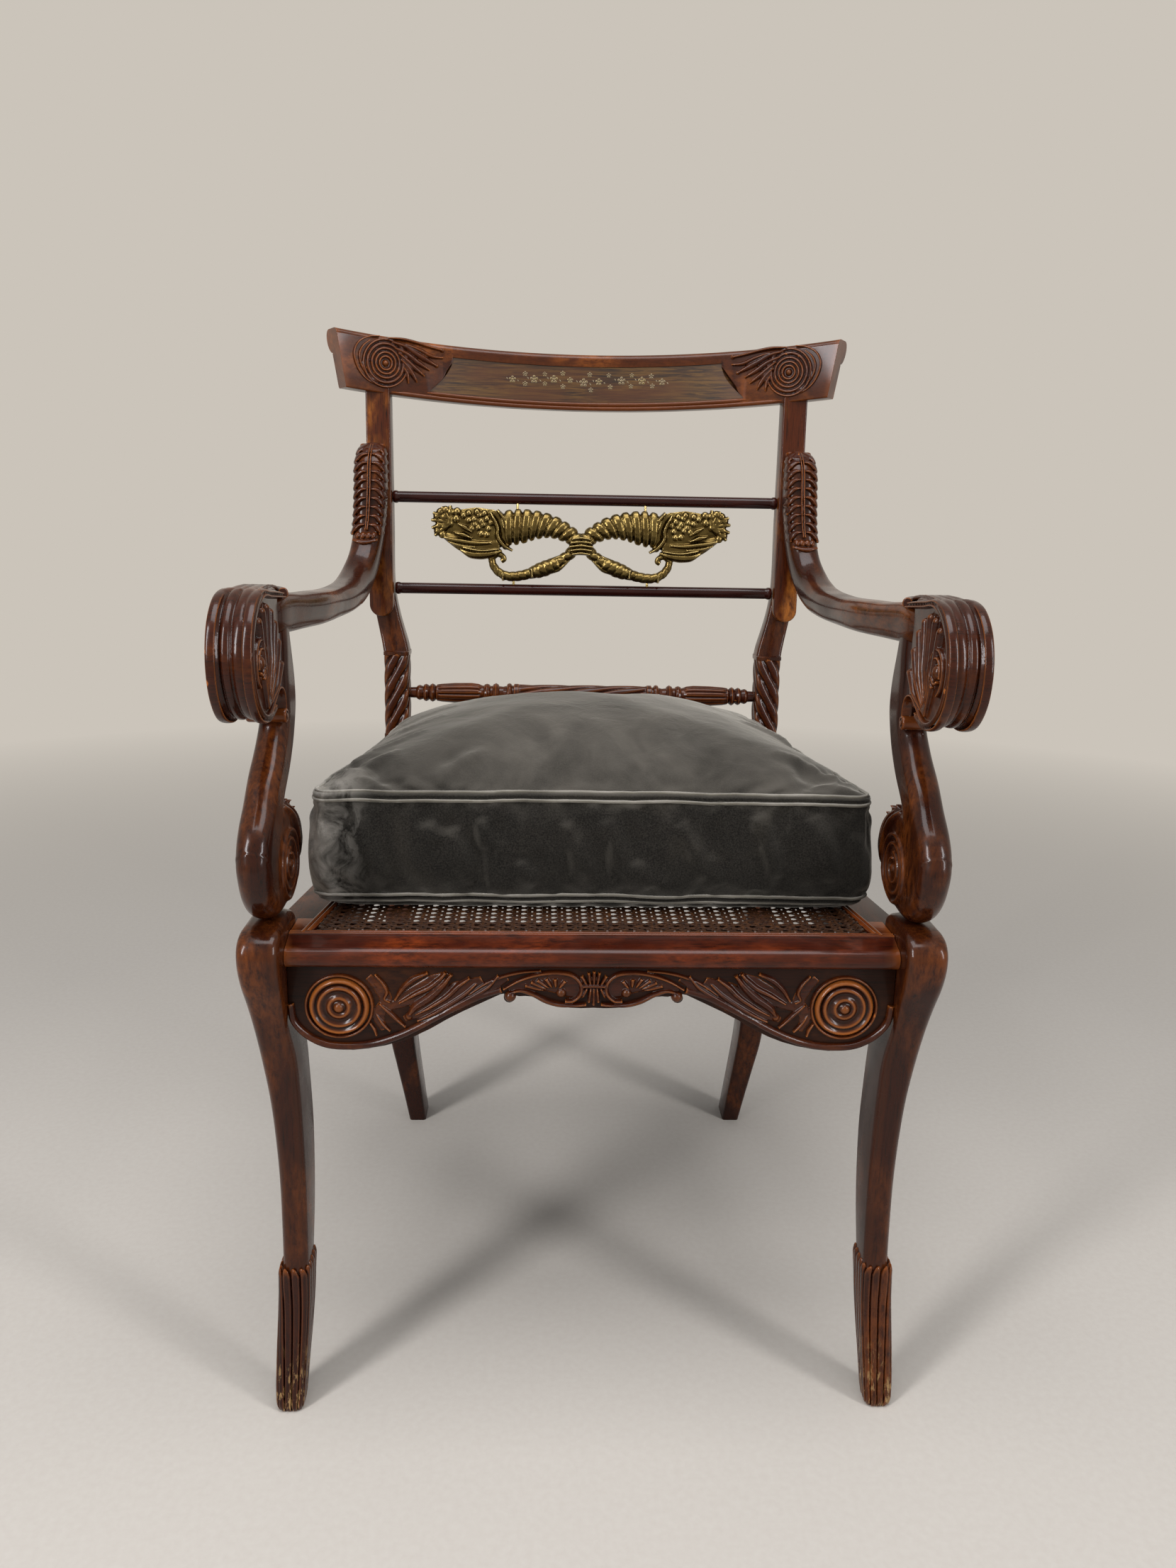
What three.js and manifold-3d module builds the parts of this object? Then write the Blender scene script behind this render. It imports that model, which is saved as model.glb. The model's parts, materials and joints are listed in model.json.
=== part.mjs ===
// Klismos armchair in mahogany: a curved crest rail on raked stiles, scrolled arms on S-shaped supports,
// sabre legs, a caned seat with a carved apron, a brass back ornament and a loose box cushion.
// Millimetres. X points to the right seen from the front, Y from front to back, Z up.
// Y zero is the front of the seat's nosing until the whole chair is centred at the end.

import * as THREE from 'three';
import { mergeVertices } from 'three/addons/utils/BufferGeometryUtils.js';
import Module from 'manifold-3d';

const wasm = await Module();
wasm.setup();

// Fits
const clearance = 0.3; // air between two pieces that touch on the real chair
const overrun = 5; // how far a cutting tool runs past the face it opens

// Rear legs and stiles, in plan
const rearLegFront = 408; // front face at seat height
const rearLegDepth = 30;
const rearLegInner = 186;
const rearLegWidth = 27;
const stileInset = 15.5; // from the leg's inner face at the seat to the stile's
const stileInner = rearLegInner + stileInset;
const stileWidth = 24.5;
const stileReach = 39; // from the leg's front at the seat to the stile's back
const stileBack = rearLegFront + stileReach;
const facingSetback = 7; // front of the stile's thicker upper layer, behind the leg's front
const facingFront = rearLegFront + facingSetback;
const facingDepth = 14;
const facingLean = 7; // how far the facing leans back over its height
const stileRounding = 3;

// Seat frame
const seatTop = 402; // top of the frame's ledge
const railThickness = 21.5;
const frontRailHalf = 234.7; // half the front rail's length, between the legs
const frontRailDepth = 55; // front to back, nosing included
const nosingRadius = 8.3;
const nosingSlope = 4; // how far the top falls from the ledge to the nosing
const ledgeStart = 24; // where the slope from the nosing meets the ledge
const caneSetback = 3.5; // from there to the front edge of the cane's rebate
const caneFront = ledgeStart + caneSetback;
const caneMarginRear = 13; // from the rebate's back edge to the rear legs
const caneBack = rearLegFront - caneMarginRear;
const caneMarginFront = 16.8; // beside the rebate's front edge, to the front rail's end
const caneMarginBack = 23.2; // beside its back edge, to the rear leg's inner face
const caneHalfFront = frontRailHalf - caneMarginFront; // half the rebate's width at its front edge
const caneHalfBack = rearLegInner - caneMarginBack;
const caneLap = 10; // how much cane border rests on the wood
const ledgeWidth = 7.5; // raised border outside the cane, at the sides
const rebateDepth = 3;
const shoulderDrop = 8; // how far the side rails' outer part lies under the ledge
const sideRailOverhang = 22.3; // how far the side rails stand out past the front rail's ends
const sideRailInset = 1; // how far they lie inside the rear legs' outer faces
const sideRailHalfFront = frontRailHalf + sideRailOverhang;
const sideRailHalfBack = rearLegInner + rearLegWidth - sideRailInset;
const rearRailHeight = 50;
const rearRailDepth = 26;
const tenonLength = 14;
const tenonWidth = 18;
const tenonThickness = 9;

// Front legs, all measured on the right-hand one
const kneeRise = 12; // above the seat frame
const kneeTop = seatTop + kneeRise;
const kneeInner = frontRailHalf + clearance;
const kneeWidth = 32;
const kneeFront = -18;
const kneeDepth = frontRailDepth - kneeFront;
const legRounding = 7;

// Heights of the back
const turnedRailHeight = 524;
const lowerRodRise = 111; // above the turned rail
const lowerRodHeight = turnedRailHeight + lowerRodRise;
const upperRodRise = 94; // above the lower rod
const upperRodHeight = lowerRodHeight + upperRodRise;
const stileStartRise = 0.36; // the straight stile begins this far above the lower rod
const stileStart = lowerRodHeight + stileStartRise;
const stileRise = 107; // from the upper rod to the stile's top
const stileTop = upperRodHeight + stileRise;
const facingDrop = 29; // how far the facing reaches below the lower rod
const facingBottom = lowerRodHeight - facingDrop;

// Crest rail
const crestRadius = 527;
const crestSetback = 3.7; // its front face at the stiles, behind the front of their facing
const stileMiddle = stileInner + stileWidth / 2;
const crestSagitta = crestRadius - Math.sqrt(crestRadius ** 2 - stileMiddle ** 2);
const crestMiddle = facingFront + crestSetback + crestSagitta; // front face in the middle of the back
const crestHalfTop = 250;
const crestHalfBottom = 242;
const crestHeight = 56;
const crestLap = 1.5; // how far its ends reach below the stiles' tops
const crestBottom = stileTop - crestLap; // at the ends
const crestDip = 13.5; // how much lower the middle hangs
const crestBoard = 24; // thickness of the board
const crestRoll = 34; // thickness over the rolled top edge
const crestTenonHeight = 24;
const panelBottom = 8; // above the crest rail's lower edge
const panelTop = 43.5;
const panelHalfBottom = 158.5;
const panelHalfTop = 136;
const panelThickness = 2;
const crestRoundelX = 205.4;
const crestRoundelRise = 29; // its centre above the crest rail's lower edge
const crestRoundelRadius = 20.4;
const crestRoundelRelief = 3;

// Rods and turned rail of the back
const rodRadius = 5.7;
const rodRing = 1; // how much the end rings stand proud
const rodRingLength = 3;
const rodTip = 4;
const rodTipLength = 11;
const upperRodSetback = 16; // its middle, behind the front of the facing
const upperRodY = facingFront + upperRodSetback;
const upperRodHalf = stileInner - clearance;
const lowerRodSetback = 15;
const lowerRodY = facingFront + lowerRodSetback;
const lowerRodInset = 1.1; // the leg still narrows a little at that height
const lowerRodHalf = stileInner - lowerRodInset;
const turnedRailSetback = 17; // its middle, behind the front of the legs
const turnedRailY = rearLegFront + turnedRailSetback;
const turnedRailHalf = rearLegInner - clearance;
const turnedRailRadius = 11;

// Arm supports
const supportRise = 210; // from the knee to the arm
const supportTop = kneeTop + supportRise; // under the arm
const supportBottom = kneeTop + clearance;
const supportFront = -20;
const supportDepth = 118.5;
const supportInset = 3; // inside face, outwards from the knee's
const supportInner = kneeInner + supportInset;
const supportWidth = 26;
const supportRounding = 9;
const scrollEdge = 4;
const scrollDepth = 116; // front to rear of the lower scroll
const scrollBack = supportFront + scrollDepth;
const scrollRise = 83;
const scrollTop = kneeTop + scrollRise;
const scrollRecess = 3;
const scrollEyeRadius = 27;
const scrollHub = 8;
const rollRadius = 5.5; // small roll under the arm's volute
const rollSetback = 73; // its middle, behind the support's front
const rollY = supportFront + rollSetback;
const rollDrop = 58; // its middle, below the arm
const rollZ = supportTop - rollDrop;
const rollOverhang = 2.5; // how far it stands out on each side of the support
const rollInner = supportInner - rollOverhang;
const rollLength = supportWidth + 2 * rollOverhang;
const dowelRadius = 4.5;
const dowelLength = 30;

// Arms
const armWidth = 33;
const armThickness = 28;
const armRise = 10.5; // lowest point of the arm's middle line, above the supports
const armLow = supportTop + armRise;
const armTipRise = 50; // from the upper rod to the arm's tip
const armTip = upperRodHeight + armTipRise;
const armSetback = 6; // middle line at the tip, behind the front of the facing
const armBack = facingFront + armSetback;
const armRearInset = 17.5; // middle line at the tip, outwards from the stile's inner face
const armRearX = stileInner + armRearInset;
const armRounding = 11;
const voluteInset = 1; // inside face, outwards from the knee's
const voluteInner = kneeInner + voluteInset;
const voluteWidth = 32.6;
const armFrontX = voluteInner + voluteWidth / 2;
const voluteY = 7;
const voluteDrop = 5.5; // its centre, below the top of the supports
const voluteZ = supportTop - voluteDrop;
const voluteRadius = 47;
const voluteRim = 10;
const voluteRecess = 4;
const voluteEye = 9;
const voluteHeel = 56.5; // rear face, against the support
const armEdge = 3;

// Fasteners
const screwRadius = 2.2;
const screwHead = 4.5;
const screwHeadHeight = 3;
const screwLength = 46;
const lowerScrewDrop = 17; // below the upper rod
const upperScrewRise = 19; // above it
const screwHeights = [upperRodHeight - lowerScrewDrop, upperRodHeight + upperScrewRise];
const screwInset = 15.5; // outwards from the stile's inner face
const screwX = stileInner + screwInset;

// Apron
const apronFront = 9;
const apronThickness = 18;
const apronDepth = 70; // from the front rail's underside to the lowest lobe
const apronBead = 4.3; // ball on the hook where the side lobes meet the middle
const apronRoundelInset = 37.9; // from the front rail's end
const apronRoundelX = frontRailHalf - apronRoundelInset;
const apronRoundelDrop = 32.3;
const apronRoundelRadius = 22.4;
const apronRoundelThickness = 6;
const blockSide = 38;
const blockHeight = 34;

// Cane
const caneThickness = 2;
const netColumns = 12;
const netRows = 10;
const netStrap = 5;
const bindingWidth = 4.5;
const bindingHeight = 2.2;

// Brass ornament between the rods
const ornamentX = -4.4; // it was fixed a little off the middle
const ornamentSetback = 13; // behind the front of the facing
const ornamentY = facingFront + ornamentSetback;
const ornamentHalf = 156;
const ornamentGapAbove = 9.5; // from its top to the middle of the upper rod
const ornamentGapBelow = 8;
const ornamentTop = upperRodHeight - ornamentGapAbove;
const ornamentBottom = lowerRodHeight + ornamentGapBelow;
const ornamentThickness = 14;
const pinRadius = 1.4;
const pinBite = 3; // how deep a pin sits in the rod and in the ornament
const upperPinReach = 12; // down from the upper rod into the horns

// Cushion
const cushionGapFront = 10; // from the front rail's back to the cushion
const cushionGapBack = 12; // to the rear legs
const cushionFront = frontRailDepth + cushionGapFront;
const cushionBack = rearLegFront - cushionGapBack;
const cushionMarginFront = 7.7; // from the front rail's end to the cushion's side
const cushionMarginBack = 6; // past the rear legs' inner faces
const cushionHalfFront = frontRailHalf - cushionMarginFront;
const cushionHalfBack = rearLegInner + cushionMarginBack;
const cushionRest = seatTop - rebateDepth + caneThickness + 2 * clearance;
const cushionBelly = 12.4; // from its underside to the lower welt
const cushionBox = 85; // between the welts
const cushionBottomWelt = cushionRest + cushionBelly;
const cushionTopWelt = cushionBottomWelt + cushionBox;
const cushionCrown = 55; // from the upper welt to the top
const cushionDrawIn = 5; // how much the sides pull in between the corners
const cushionFrontRadius = 16;
const cushionBackRadius = 40;

const roundSteps = 2; // segments in each rounded corner of a lofted section
const crestSteps = 16; // segments along the crest rail
const turn = 2 * Math.PI;

// Finishes
function finish(color, roughness, metalness = 0) {
  return new THREE.MeshStandardMaterial({ color, roughness, metalness });
}
const mahogany = finish('#43200f', 0.3);
const rosewood = finish('#4d331a', 0.32);
const ebonised = finish('#2a130c', 0.3);
const glueBlockWood = finish('#8a5f3a', 0.75);
const beech = finish('#b98b57', 0.7);
const brass = finish('#8b7030', 0.38, 1);
const steel = finish('#6d6a66', 0.45, 1);
const rattan = finish('#3a2315', 0.6);
const velvet = finish('#4b4743', 0.95);

// Solids
function toSolid(geometry) {
  const plain = geometry.index ? geometry.toNonIndexed() : geometry.clone();
  plain.deleteAttribute('normal');
  plain.deleteAttribute('uv');
  const merged = mergeVertices(plain, 1e-4);
  const kept = [];
  const index = merged.index.array;
  for (let i = 0; i < index.length; i += 3) {
    const [a, b, c] = [index[i], index[i + 1], index[i + 2]];
    if (a !== b && b !== c && c !== a) kept.push(a, b, c);
  }
  const vertProperties = new Float32Array(merged.attributes.position.array);
  const triVerts = new Uint32Array(kept);
  return new wasm.Manifold(new wasm.Mesh({ numProp: 3, vertProperties, triVerts }));
}

function toGeometry(solid) {
  const mesh = solid.getMesh();
  const geometry = new THREE.BufferGeometry();
  geometry.setAttribute('position', new THREE.BufferAttribute(mesh.vertProperties.slice(), 3));
  geometry.setIndex(new THREE.BufferAttribute(mesh.triVerts.slice(), 1));
  return geometry;
}

function join(first, ...others) {
  return toGeometry(others.reduce((sum, part) => sum.add(toSolid(part)), toSolid(first)));
}

function cut(body, ...tools) {
  return toGeometry(tools.reduce((rest, tool) => rest.subtract(toSolid(tool)), toSolid(body)));
}

function moved(geometry, x, y, z) {
  return geometry.clone().translate(x, y, z);
}

// A box between two corners, given as ranges
function block({ x, y, z }) {
  const box = new THREE.BoxGeometry(x[1] - x[0], y[1] - y[0], z[1] - z[0]);
  return box.translate((x[0] + x[1]) / 2, (y[0] + y[1]) / 2, (z[0] + z[1]) / 2);
}

function centred(middle, length) {
  return [middle - length / 2, middle + length / 2];
}

function grown(ranges, by = clearance) {
  const wider = {};
  for (const axis of ['x', 'y', 'z']) wider[axis] = [ranges[axis][0] - by, ranges[axis][1] + by];
  return wider;
}

// A closed skin through rings of points that have the same count, with a fan over each end
function loft(rings) {
  const count = rings[0].length;
  const positions = rings.flat().flatMap((p) => [p.x, p.y, p.z]);
  const index = [];
  for (let r = 0; r + 1 < rings.length; r++) {
    for (let i = 0; i < count; i++) {
      const j = (i + 1) % count;
      const [a, b, c, d] = [r * count + i, r * count + j, (r + 1) * count + j, (r + 1) * count + i];
      index.push(a, b, c, a, c, d);
    }
  }
  for (const r of [0, rings.length - 1]) {
    const middle = new THREE.Vector3();
    rings[r].forEach((p) => middle.add(p));
    middle.divideScalar(count);
    const hub = positions.length / 3;
    positions.push(middle.x, middle.y, middle.z);
    for (let i = 0; i < count; i++) {
      const [a, b] = [r * count + i, r * count + ((i + 1) % count)];
      if (r === 0) index.push(hub, b, a);
      else index.push(hub, a, b);
    }
  }
  const geometry = new THREE.BufferGeometry();
  geometry.setAttribute('position', new THREE.Float32BufferAttribute(positions, 3));
  geometry.setIndex(index);
  return facingOut(geometry);
}

// Turns a closed skin inside out where its faces point inwards
function facingOut(geometry) {
  const position = geometry.attributes.position;
  const index = geometry.index.array;
  const [a, b, c] = [new THREE.Vector3(), new THREE.Vector3(), new THREE.Vector3()];
  let volume = 0;
  for (let i = 0; i < index.length; i += 3) {
    a.fromBufferAttribute(position, index[i]);
    b.fromBufferAttribute(position, index[i + 1]);
    c.fromBufferAttribute(position, index[i + 2]);
    volume += a.dot(b.cross(c));
  }
  if (volume < 0) {
    for (let i = 0; i < index.length; i += 3) [index[i], index[i + 1]] = [index[i + 1], index[i]];
  }
  return geometry;
}

// Points of a rectangle with rounded corners, as pairs round its centre
function roundedRing(halfWidth, halfDepth, rounding) {
  const roundestShare = 0.97;
  const radius = Math.min(rounding, roundestShare * halfWidth, roundestShare * halfDepth);
  const corners = [[1, 1], [-1, 1], [-1, -1], [1, -1]];
  const ring = [];
  corners.forEach(([sideX, sideY], quarter) => {
    for (let i = 0; i <= roundSteps; i++) {
      const angle = ((quarter + i / roundSteps) * turn) / 4;
      const across = sideX * (halfWidth - radius) + radius * Math.cos(angle);
      const along = sideY * (halfDepth - radius) + radius * Math.sin(angle);
      ring.push([across, along]);
    }
  });
  return ring;
}

// A member cut in level slices: each has its height and its ranges in X and Y
function levelMember(slices, rounding) {
  return loft(slices.map(({ z, x, y }) => {
    const ring = roundedRing((x[1] - x[0]) / 2, (y[1] - y[0]) / 2, rounding);
    return ring.map(([u, v]) => new THREE.Vector3((x[0] + x[1]) / 2 + u, (y[0] + y[1]) / 2 + v, z));
  }));
}

// A member swept along a smooth line: each station has a centre, a width across X and a thickness
function sweptMember(stations, rounding, stepsBetween = 1.5) {
  const line = new THREE.CatmullRomCurve3(stations.map(({ at }) => new THREE.Vector3(...at)));
  const sizes = new THREE.CatmullRomCurve3(
    stations.map(({ width, thickness }) => new THREE.Vector3(width, thickness, 0)));
  const steps = Math.round((stations.length - 1) * stepsBetween);
  const across = new THREE.Vector3(1, 0, 0);
  const rings = [];
  for (let i = 0; i <= steps; i++) {
    const centre = line.getPoint(i / steps);
    const size = sizes.getPoint(i / steps);
    const up = new THREE.Vector3().crossVectors(line.getTangent(i / steps), across).normalize();
    const ring = roundedRing(size.x / 2, size.y / 2, rounding);
    rings.push(ring.map(([u, v]) => centre.clone().addScaledVector(across, u).addScaledVector(up, v)));
  }
  return loft(rings);
}

// A side-view outline in Y and Z, given its thickness across X
function sideBoard(outline, inner, width, edge) {
  const board = new THREE.ExtrudeGeometry(outline, {
    depth: width - 2 * edge,
    bevelEnabled: true,
    bevelThickness: edge,
    bevelSize: edge,
    bevelOffset: -edge,
    bevelSegments: 2,
    curveSegments: 7,
  });
  board.rotateX(turn / 4).rotateZ(turn / 4);
  return board.translate(inner + edge, 0, 0);
}

// A plan outline in X and Y, given its height
function levelBoard(outline, bottom, height) {
  const board = new THREE.ExtrudeGeometry(outline, { depth: height, bevelEnabled: false });
  return board.translate(0, 0, bottom);
}

function polygon(points) {
  return new THREE.Shape(points.map(([x, y]) => new THREE.Vector2(x, y)));
}

// A round bar along X
function barAcross(radius, from, to, y, z, sides = 12) {
  const bar = new THREE.CylinderGeometry(radius, radius, to - from, sides).rotateZ(turn / 4);
  return bar.translate((from + to) / 2, y, z);
}

// A round bar along Y
function barBack(radius, from, to, x, z, sides = 12) {
  return new THREE.CylinderGeometry(radius, radius, to - from, sides).translate(x, (from + to) / 2, z);
}

// A round bar along Z
function barUp(radius, from, to, x, y, sides = 10) {
  const bar = new THREE.CylinderGeometry(radius, radius, to - from, sides).rotateX(turn / 4);
  return bar.translate(x, y, (from + to) / 2);
}

// A turned piece along X, from half its profile: distance from the middle and radius
function turnedAcross(halfProfile, y, z, sides) {
  const left = halfProfile.map(([x, r]) => [-x, r]).reverse();
  const seen = left[left.length - 1][0] === halfProfile[0][0] ? left.slice(0, -1) : left;
  const points = [...seen, ...halfProfile].map(([x, r]) => new THREE.Vector2(r, x));
  return new THREE.LatheGeometry(points, sides).rotateZ(-turn / 4).translate(0, y, z);
}

const chair = new THREE.Group();

function add(name, geometry, material) {
  const mesh = new THREE.Mesh(geometry, material);
  mesh.name = name;
  chair.add(mesh);
}

// The right-hand piece and its mirror image on the left
function addPair(name, geometry, material) {
  add(`${name}_right`, geometry, material);
  add(`${name}_left`, geometry, material);
  chair.children.at(-1).scale.x = -1;
}

// Seat frame
const frameBottom = seatTop - railThickness;
const rebateFloor = seatTop - rebateDepth;
const sideRailFront = frontRailDepth + clearance;
const sideRailBack = rearLegFront - clearance;

function between(y, y0, y1, v0, v1) {
  return v0 + ((v1 - v0) * (y - y0)) / (y1 - y0);
}
const caneHalf = (y) => between(y, caneFront, caneBack, caneHalfFront, caneHalfBack);
const ledgeHalf = (y) => caneHalf(y) + ledgeWidth;
const sideRailHalf = (y) => between(y, sideRailFront, sideRailBack, sideRailHalfFront, sideRailHalfBack);

const rebate = levelBoard(polygon([
  [-caneHalf(caneFront), caneFront],
  [caneHalf(caneFront), caneFront],
  [caneHalf(caneBack), caneBack],
  [-caneHalf(caneBack), caneBack],
]), rebateFloor, rebateDepth + overrun);

const frontTenon = {
  x: [frontRailHalf - overrun, frontRailHalf + tenonLength],
  y: [frontRailDepth / 2 - tenonWidth, frontRailDepth / 2],
  z: centred(frameBottom + railThickness / 2, tenonThickness),
};
const sideFrontTenon = {
  x: [kneeInner + overrun, kneeInner + overrun + tenonThickness],
  y: [sideRailFront - tenonLength, sideRailFront + overrun],
  z: [frameBottom + clearance, frameBottom + clearance + tenonThickness],
};
const rearTenonInset = 6;
const sideRearTenon = {
  x: [rearLegInner + rearTenonInset, rearLegInner + rearTenonInset + tenonThickness],
  y: [sideRailBack - overrun, sideRailBack + tenonThickness],
  z: [frameBottom + clearance, frameBottom + clearance + tenonThickness],
};
const rearRailHalf = rearLegInner - clearance;
const rearRailFront = rearLegFront;
const rearRailBottom = seatTop - rearRailHeight;
const rearTenon = {
  x: [rearRailHalf - overrun, rearRailHalf + tenonLength],
  y: centred(rearRailFront + rearRailDepth / 2, tenonThickness),
  z: [rearRailBottom + overrun, frameBottom - overrun],
};

function mirrorX(geometry) {
  const copy = geometry.index ? geometry.clone() : mergeVertices(geometry);
  copy.scale(-1, 1, 1);
  return facingOut(copy);
}

function frontRail() {
  const nosingCentre = frameBottom + nosingRadius;
  const profile = new THREE.Shape();
  profile.moveTo(frontRailDepth, frameBottom);
  profile.lineTo(frontRailDepth, seatTop);
  profile.lineTo(ledgeStart, seatTop);
  profile.lineTo(nosingRadius, seatTop - nosingSlope);
  profile.absarc(nosingRadius, nosingCentre, nosingRadius, turn / 4, (3 * turn) / 4, false);
  const rail = sideBoardPlain(profile, -frontRailHalf, 2 * frontRailHalf);
  const tenon = block(frontTenon);
  return cut(join(rail, tenon, mirrorX(tenon)), rebate);
}

// A side-view outline without rounded edges
function sideBoardPlain(outline, inner, width) {
  const board = new THREE.ExtrudeGeometry(outline, { depth: width, bevelEnabled: false, curveSegments: 8 });
  return board.rotateX(turn / 4).rotateZ(turn / 4).translate(inner, 0, 0);
}

function sideRail() {
  const innerHalf = (y) => caneHalf(y) - caneLap;
  const whole = levelBoard(polygon([
    [innerHalf(sideRailFront), sideRailFront],
    [sideRailHalf(sideRailFront), sideRailFront],
    [sideRailHalf(sideRailBack), sideRailBack],
    [innerHalf(sideRailBack), sideRailBack],
  ]), frameBottom, railThickness);
  const shoulder = levelBoard(polygon([
    [ledgeHalf(sideRailFront - overrun), sideRailFront - overrun],
    [sideRailHalf(sideRailFront) + overrun, sideRailFront - overrun],
    [sideRailHalf(sideRailBack) + overrun, sideRailBack + overrun],
    [ledgeHalf(sideRailBack + overrun), sideRailBack + overrun],
  ]), seatTop - shoulderDrop, shoulderDrop + overrun);
  return join(cut(whole, shoulder, rebate), block(sideFrontTenon), block(sideRearTenon));
}

function rearRail() {
  const flangeFront = caneBack - caneLap;
  const flangeHalf = (y) => caneHalf(y) - caneLap - clearance;
  const flange = levelBoard(polygon([
    [-flangeHalf(flangeFront), flangeFront],
    [flangeHalf(flangeFront), flangeFront],
    [flangeHalf(rearRailFront + overrun), rearRailFront + overrun],
    [-flangeHalf(rearRailFront + overrun), rearRailFront + overrun],
  ]), frameBottom, railThickness);
  const beam = block({
    x: [-rearRailHalf, rearRailHalf],
    y: [rearRailFront, rearRailFront + rearRailDepth],
    z: [rearRailBottom, seatTop],
  });
  const tenon = block(rearTenon);
  return cut(join(beam, flange, tenon, mirrorX(tenon)), rebate);
}

// Front legs. Each row: height as a share of the knee's height, front and back as shares of the
// knee's depth, inner and outer face as shares of the knee's width
const frontLegShares = [
  [0, 0.01, 0.37, -0.09, 0.59],
  [0.036, 0.03, 0.405, -0.13, 0.62],
  [0.097, 0.09, 0.5, -0.18, 0.605],
  [0.16, 0.15, 0.61, -0.235, 0.57],
  [0.217, 0.2, 0.7, -0.27, 0.545],
  [0.272, 0.24, 0.79, -0.28, 0.53],
  [0.276, 0.27, 0.76, -0.22, 0.415],
  [0.31, 0.295, 0.815, -0.22, 0.415],
  [0.375, 0.33, 0.94, -0.215, 0.425],
  [0.459, 0.365, 1.045, -0.205, 0.447],
  [0.543, 0.384, 1.1, -0.19, 0.5],
  [0.64, 0.384, 1.09, -0.16, 0.6],
  [0.725, 0.35, 1.07, -0.115, 0.735],
  [0.8, 0.26, 1.05, 0, 0.84],
  [0.845, 0.18, 1.03, 0, 0.905],
  [0.899, 0.055, 1, 0, 0.975],
  [0.937, 0, 1, 0, 1],
  [0.966, 0.007, 1, 0, 1],
  [0.983, 0.07, 0.985, 0.01, 0.985],
  [0.994, 0.165, 0.93, 0.05, 0.94],
  [1, 0.3, 0.85, 0.13, 0.85],
];
const kneeDowelShare = 0.62;
const kneeDowel = { x: supportInner + supportWidth / 2, y: kneeFront + kneeDepth * kneeDowelShare };

function frontLeg() {
  const slices = frontLegShares.map(([heightShare, frontShare, backShare, innerShare, outerShare]) => ({
    z: kneeTop * heightShare,
    x: [kneeInner + kneeWidth * innerShare, kneeInner + kneeWidth * outerShare],
    y: [kneeFront + kneeDepth * frontShare, kneeFront + kneeDepth * backShare],
  }));
  const dowelHole = barUp(dowelRadius + clearance, kneeTop - dowelLength / 2 - clearance, kneeTop + overrun,
    kneeDowel.x, kneeDowel.y);
  const leg = levelMember(slices, legRounding);
  return cut(leg, block(grown(frontTenon)), block(grown(sideFrontTenon)), dowelHole);
}

// Rear legs. Each row: height as a share of the seat's height, front and back as shares of the leg's
// depth, inner and outer face as shares of its width
const sabreShares = [
  [0, 1.317, 2.5, -0.248, 0.47],
  [0.0998, 0.967, 2.183, -0.137, 0.667],
  [0.1996, 0.6, 1.867, -0.026, 0.874],
  [0.2932, 0.267, 1.6, 0.067, 1.06],
  [0.3743, 0.067, 1.433, 0.111, 1.119],
  [0.4721, -0.1, 1.267, 0.137, 1.148],
  [0.5969, -0.183, 1.1, 0.13, 1.137],
  [0.7216, -0.183, 1, 0.093, 1.093],
  [0.8464, -0.1, 0.967, 0.037, 1.037],
  [0.94, 0, 1, 0, 1],
];
// The same from the seat up: height as a share of the rise from the seat to the straight stile
const neckShares = [
  [0.0148, 0, 1, 0, 1],
  [0.3373, 0.067, 1.033, 0, 1],
  [0.5056, 0.167, 1.1, 0, 1],
  [0.6131, 0.267, 1.167, 0, 1],
  [0.7098, 0.45, 1.267, 0.02, 1.01],
  [0.8065, 0.55, 1.3, 0.24, 1.185],
  [0.8925, 0.6, 1.3, 0.43, 1.33],
];
const crestMortise = {
  x: centred(stileInner + stileWidth / 2, tenonWidth),
  y: centred(facingFront + facingLean + facingDepth, tenonThickness),
  z: [stileTop - overrun, stileTop - overrun + crestTenonHeight],
};

function rodSocket(half, y, z) {
  return barAcross(rodTip + clearance, half - overrun, half + rodTipLength + clearance, y, z);
}

function screw(height, looseness, beyond) {
  const back = stileBack - clearance;
  const shank = barBack(screwRadius + looseness, back - screwLength - looseness, back, screwX, height, 8);
  const head = barBack(screwHead + looseness, back - screwHeadHeight - looseness, back + beyond,
    screwX, height, 10);
  return join(shank, head);
}

function stileFacing() {
  const radius = stileWidth / 2;
  const outline = new THREE.Shape();
  outline.moveTo(stileInner, -stileTop);
  outline.lineTo(stileInner + stileWidth, -stileTop);
  outline.lineTo(stileInner + stileWidth, -facingBottom - radius);
  outline.absarc(stileInner + radius, -facingBottom - radius, radius, 0, turn / 2, false);
  const options = { depth: facingDepth, bevelEnabled: false, curveSegments: 4 };
  const board = new THREE.ExtrudeGeometry(outline, options);
  board.rotateX(-turn / 4);
  const lean = Math.atan2(facingLean, stileTop - facingBottom);
  board.translate(0, 0, -facingBottom).rotateX(-lean);
  return board.translate(0, facingFront, facingBottom);
}

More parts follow.
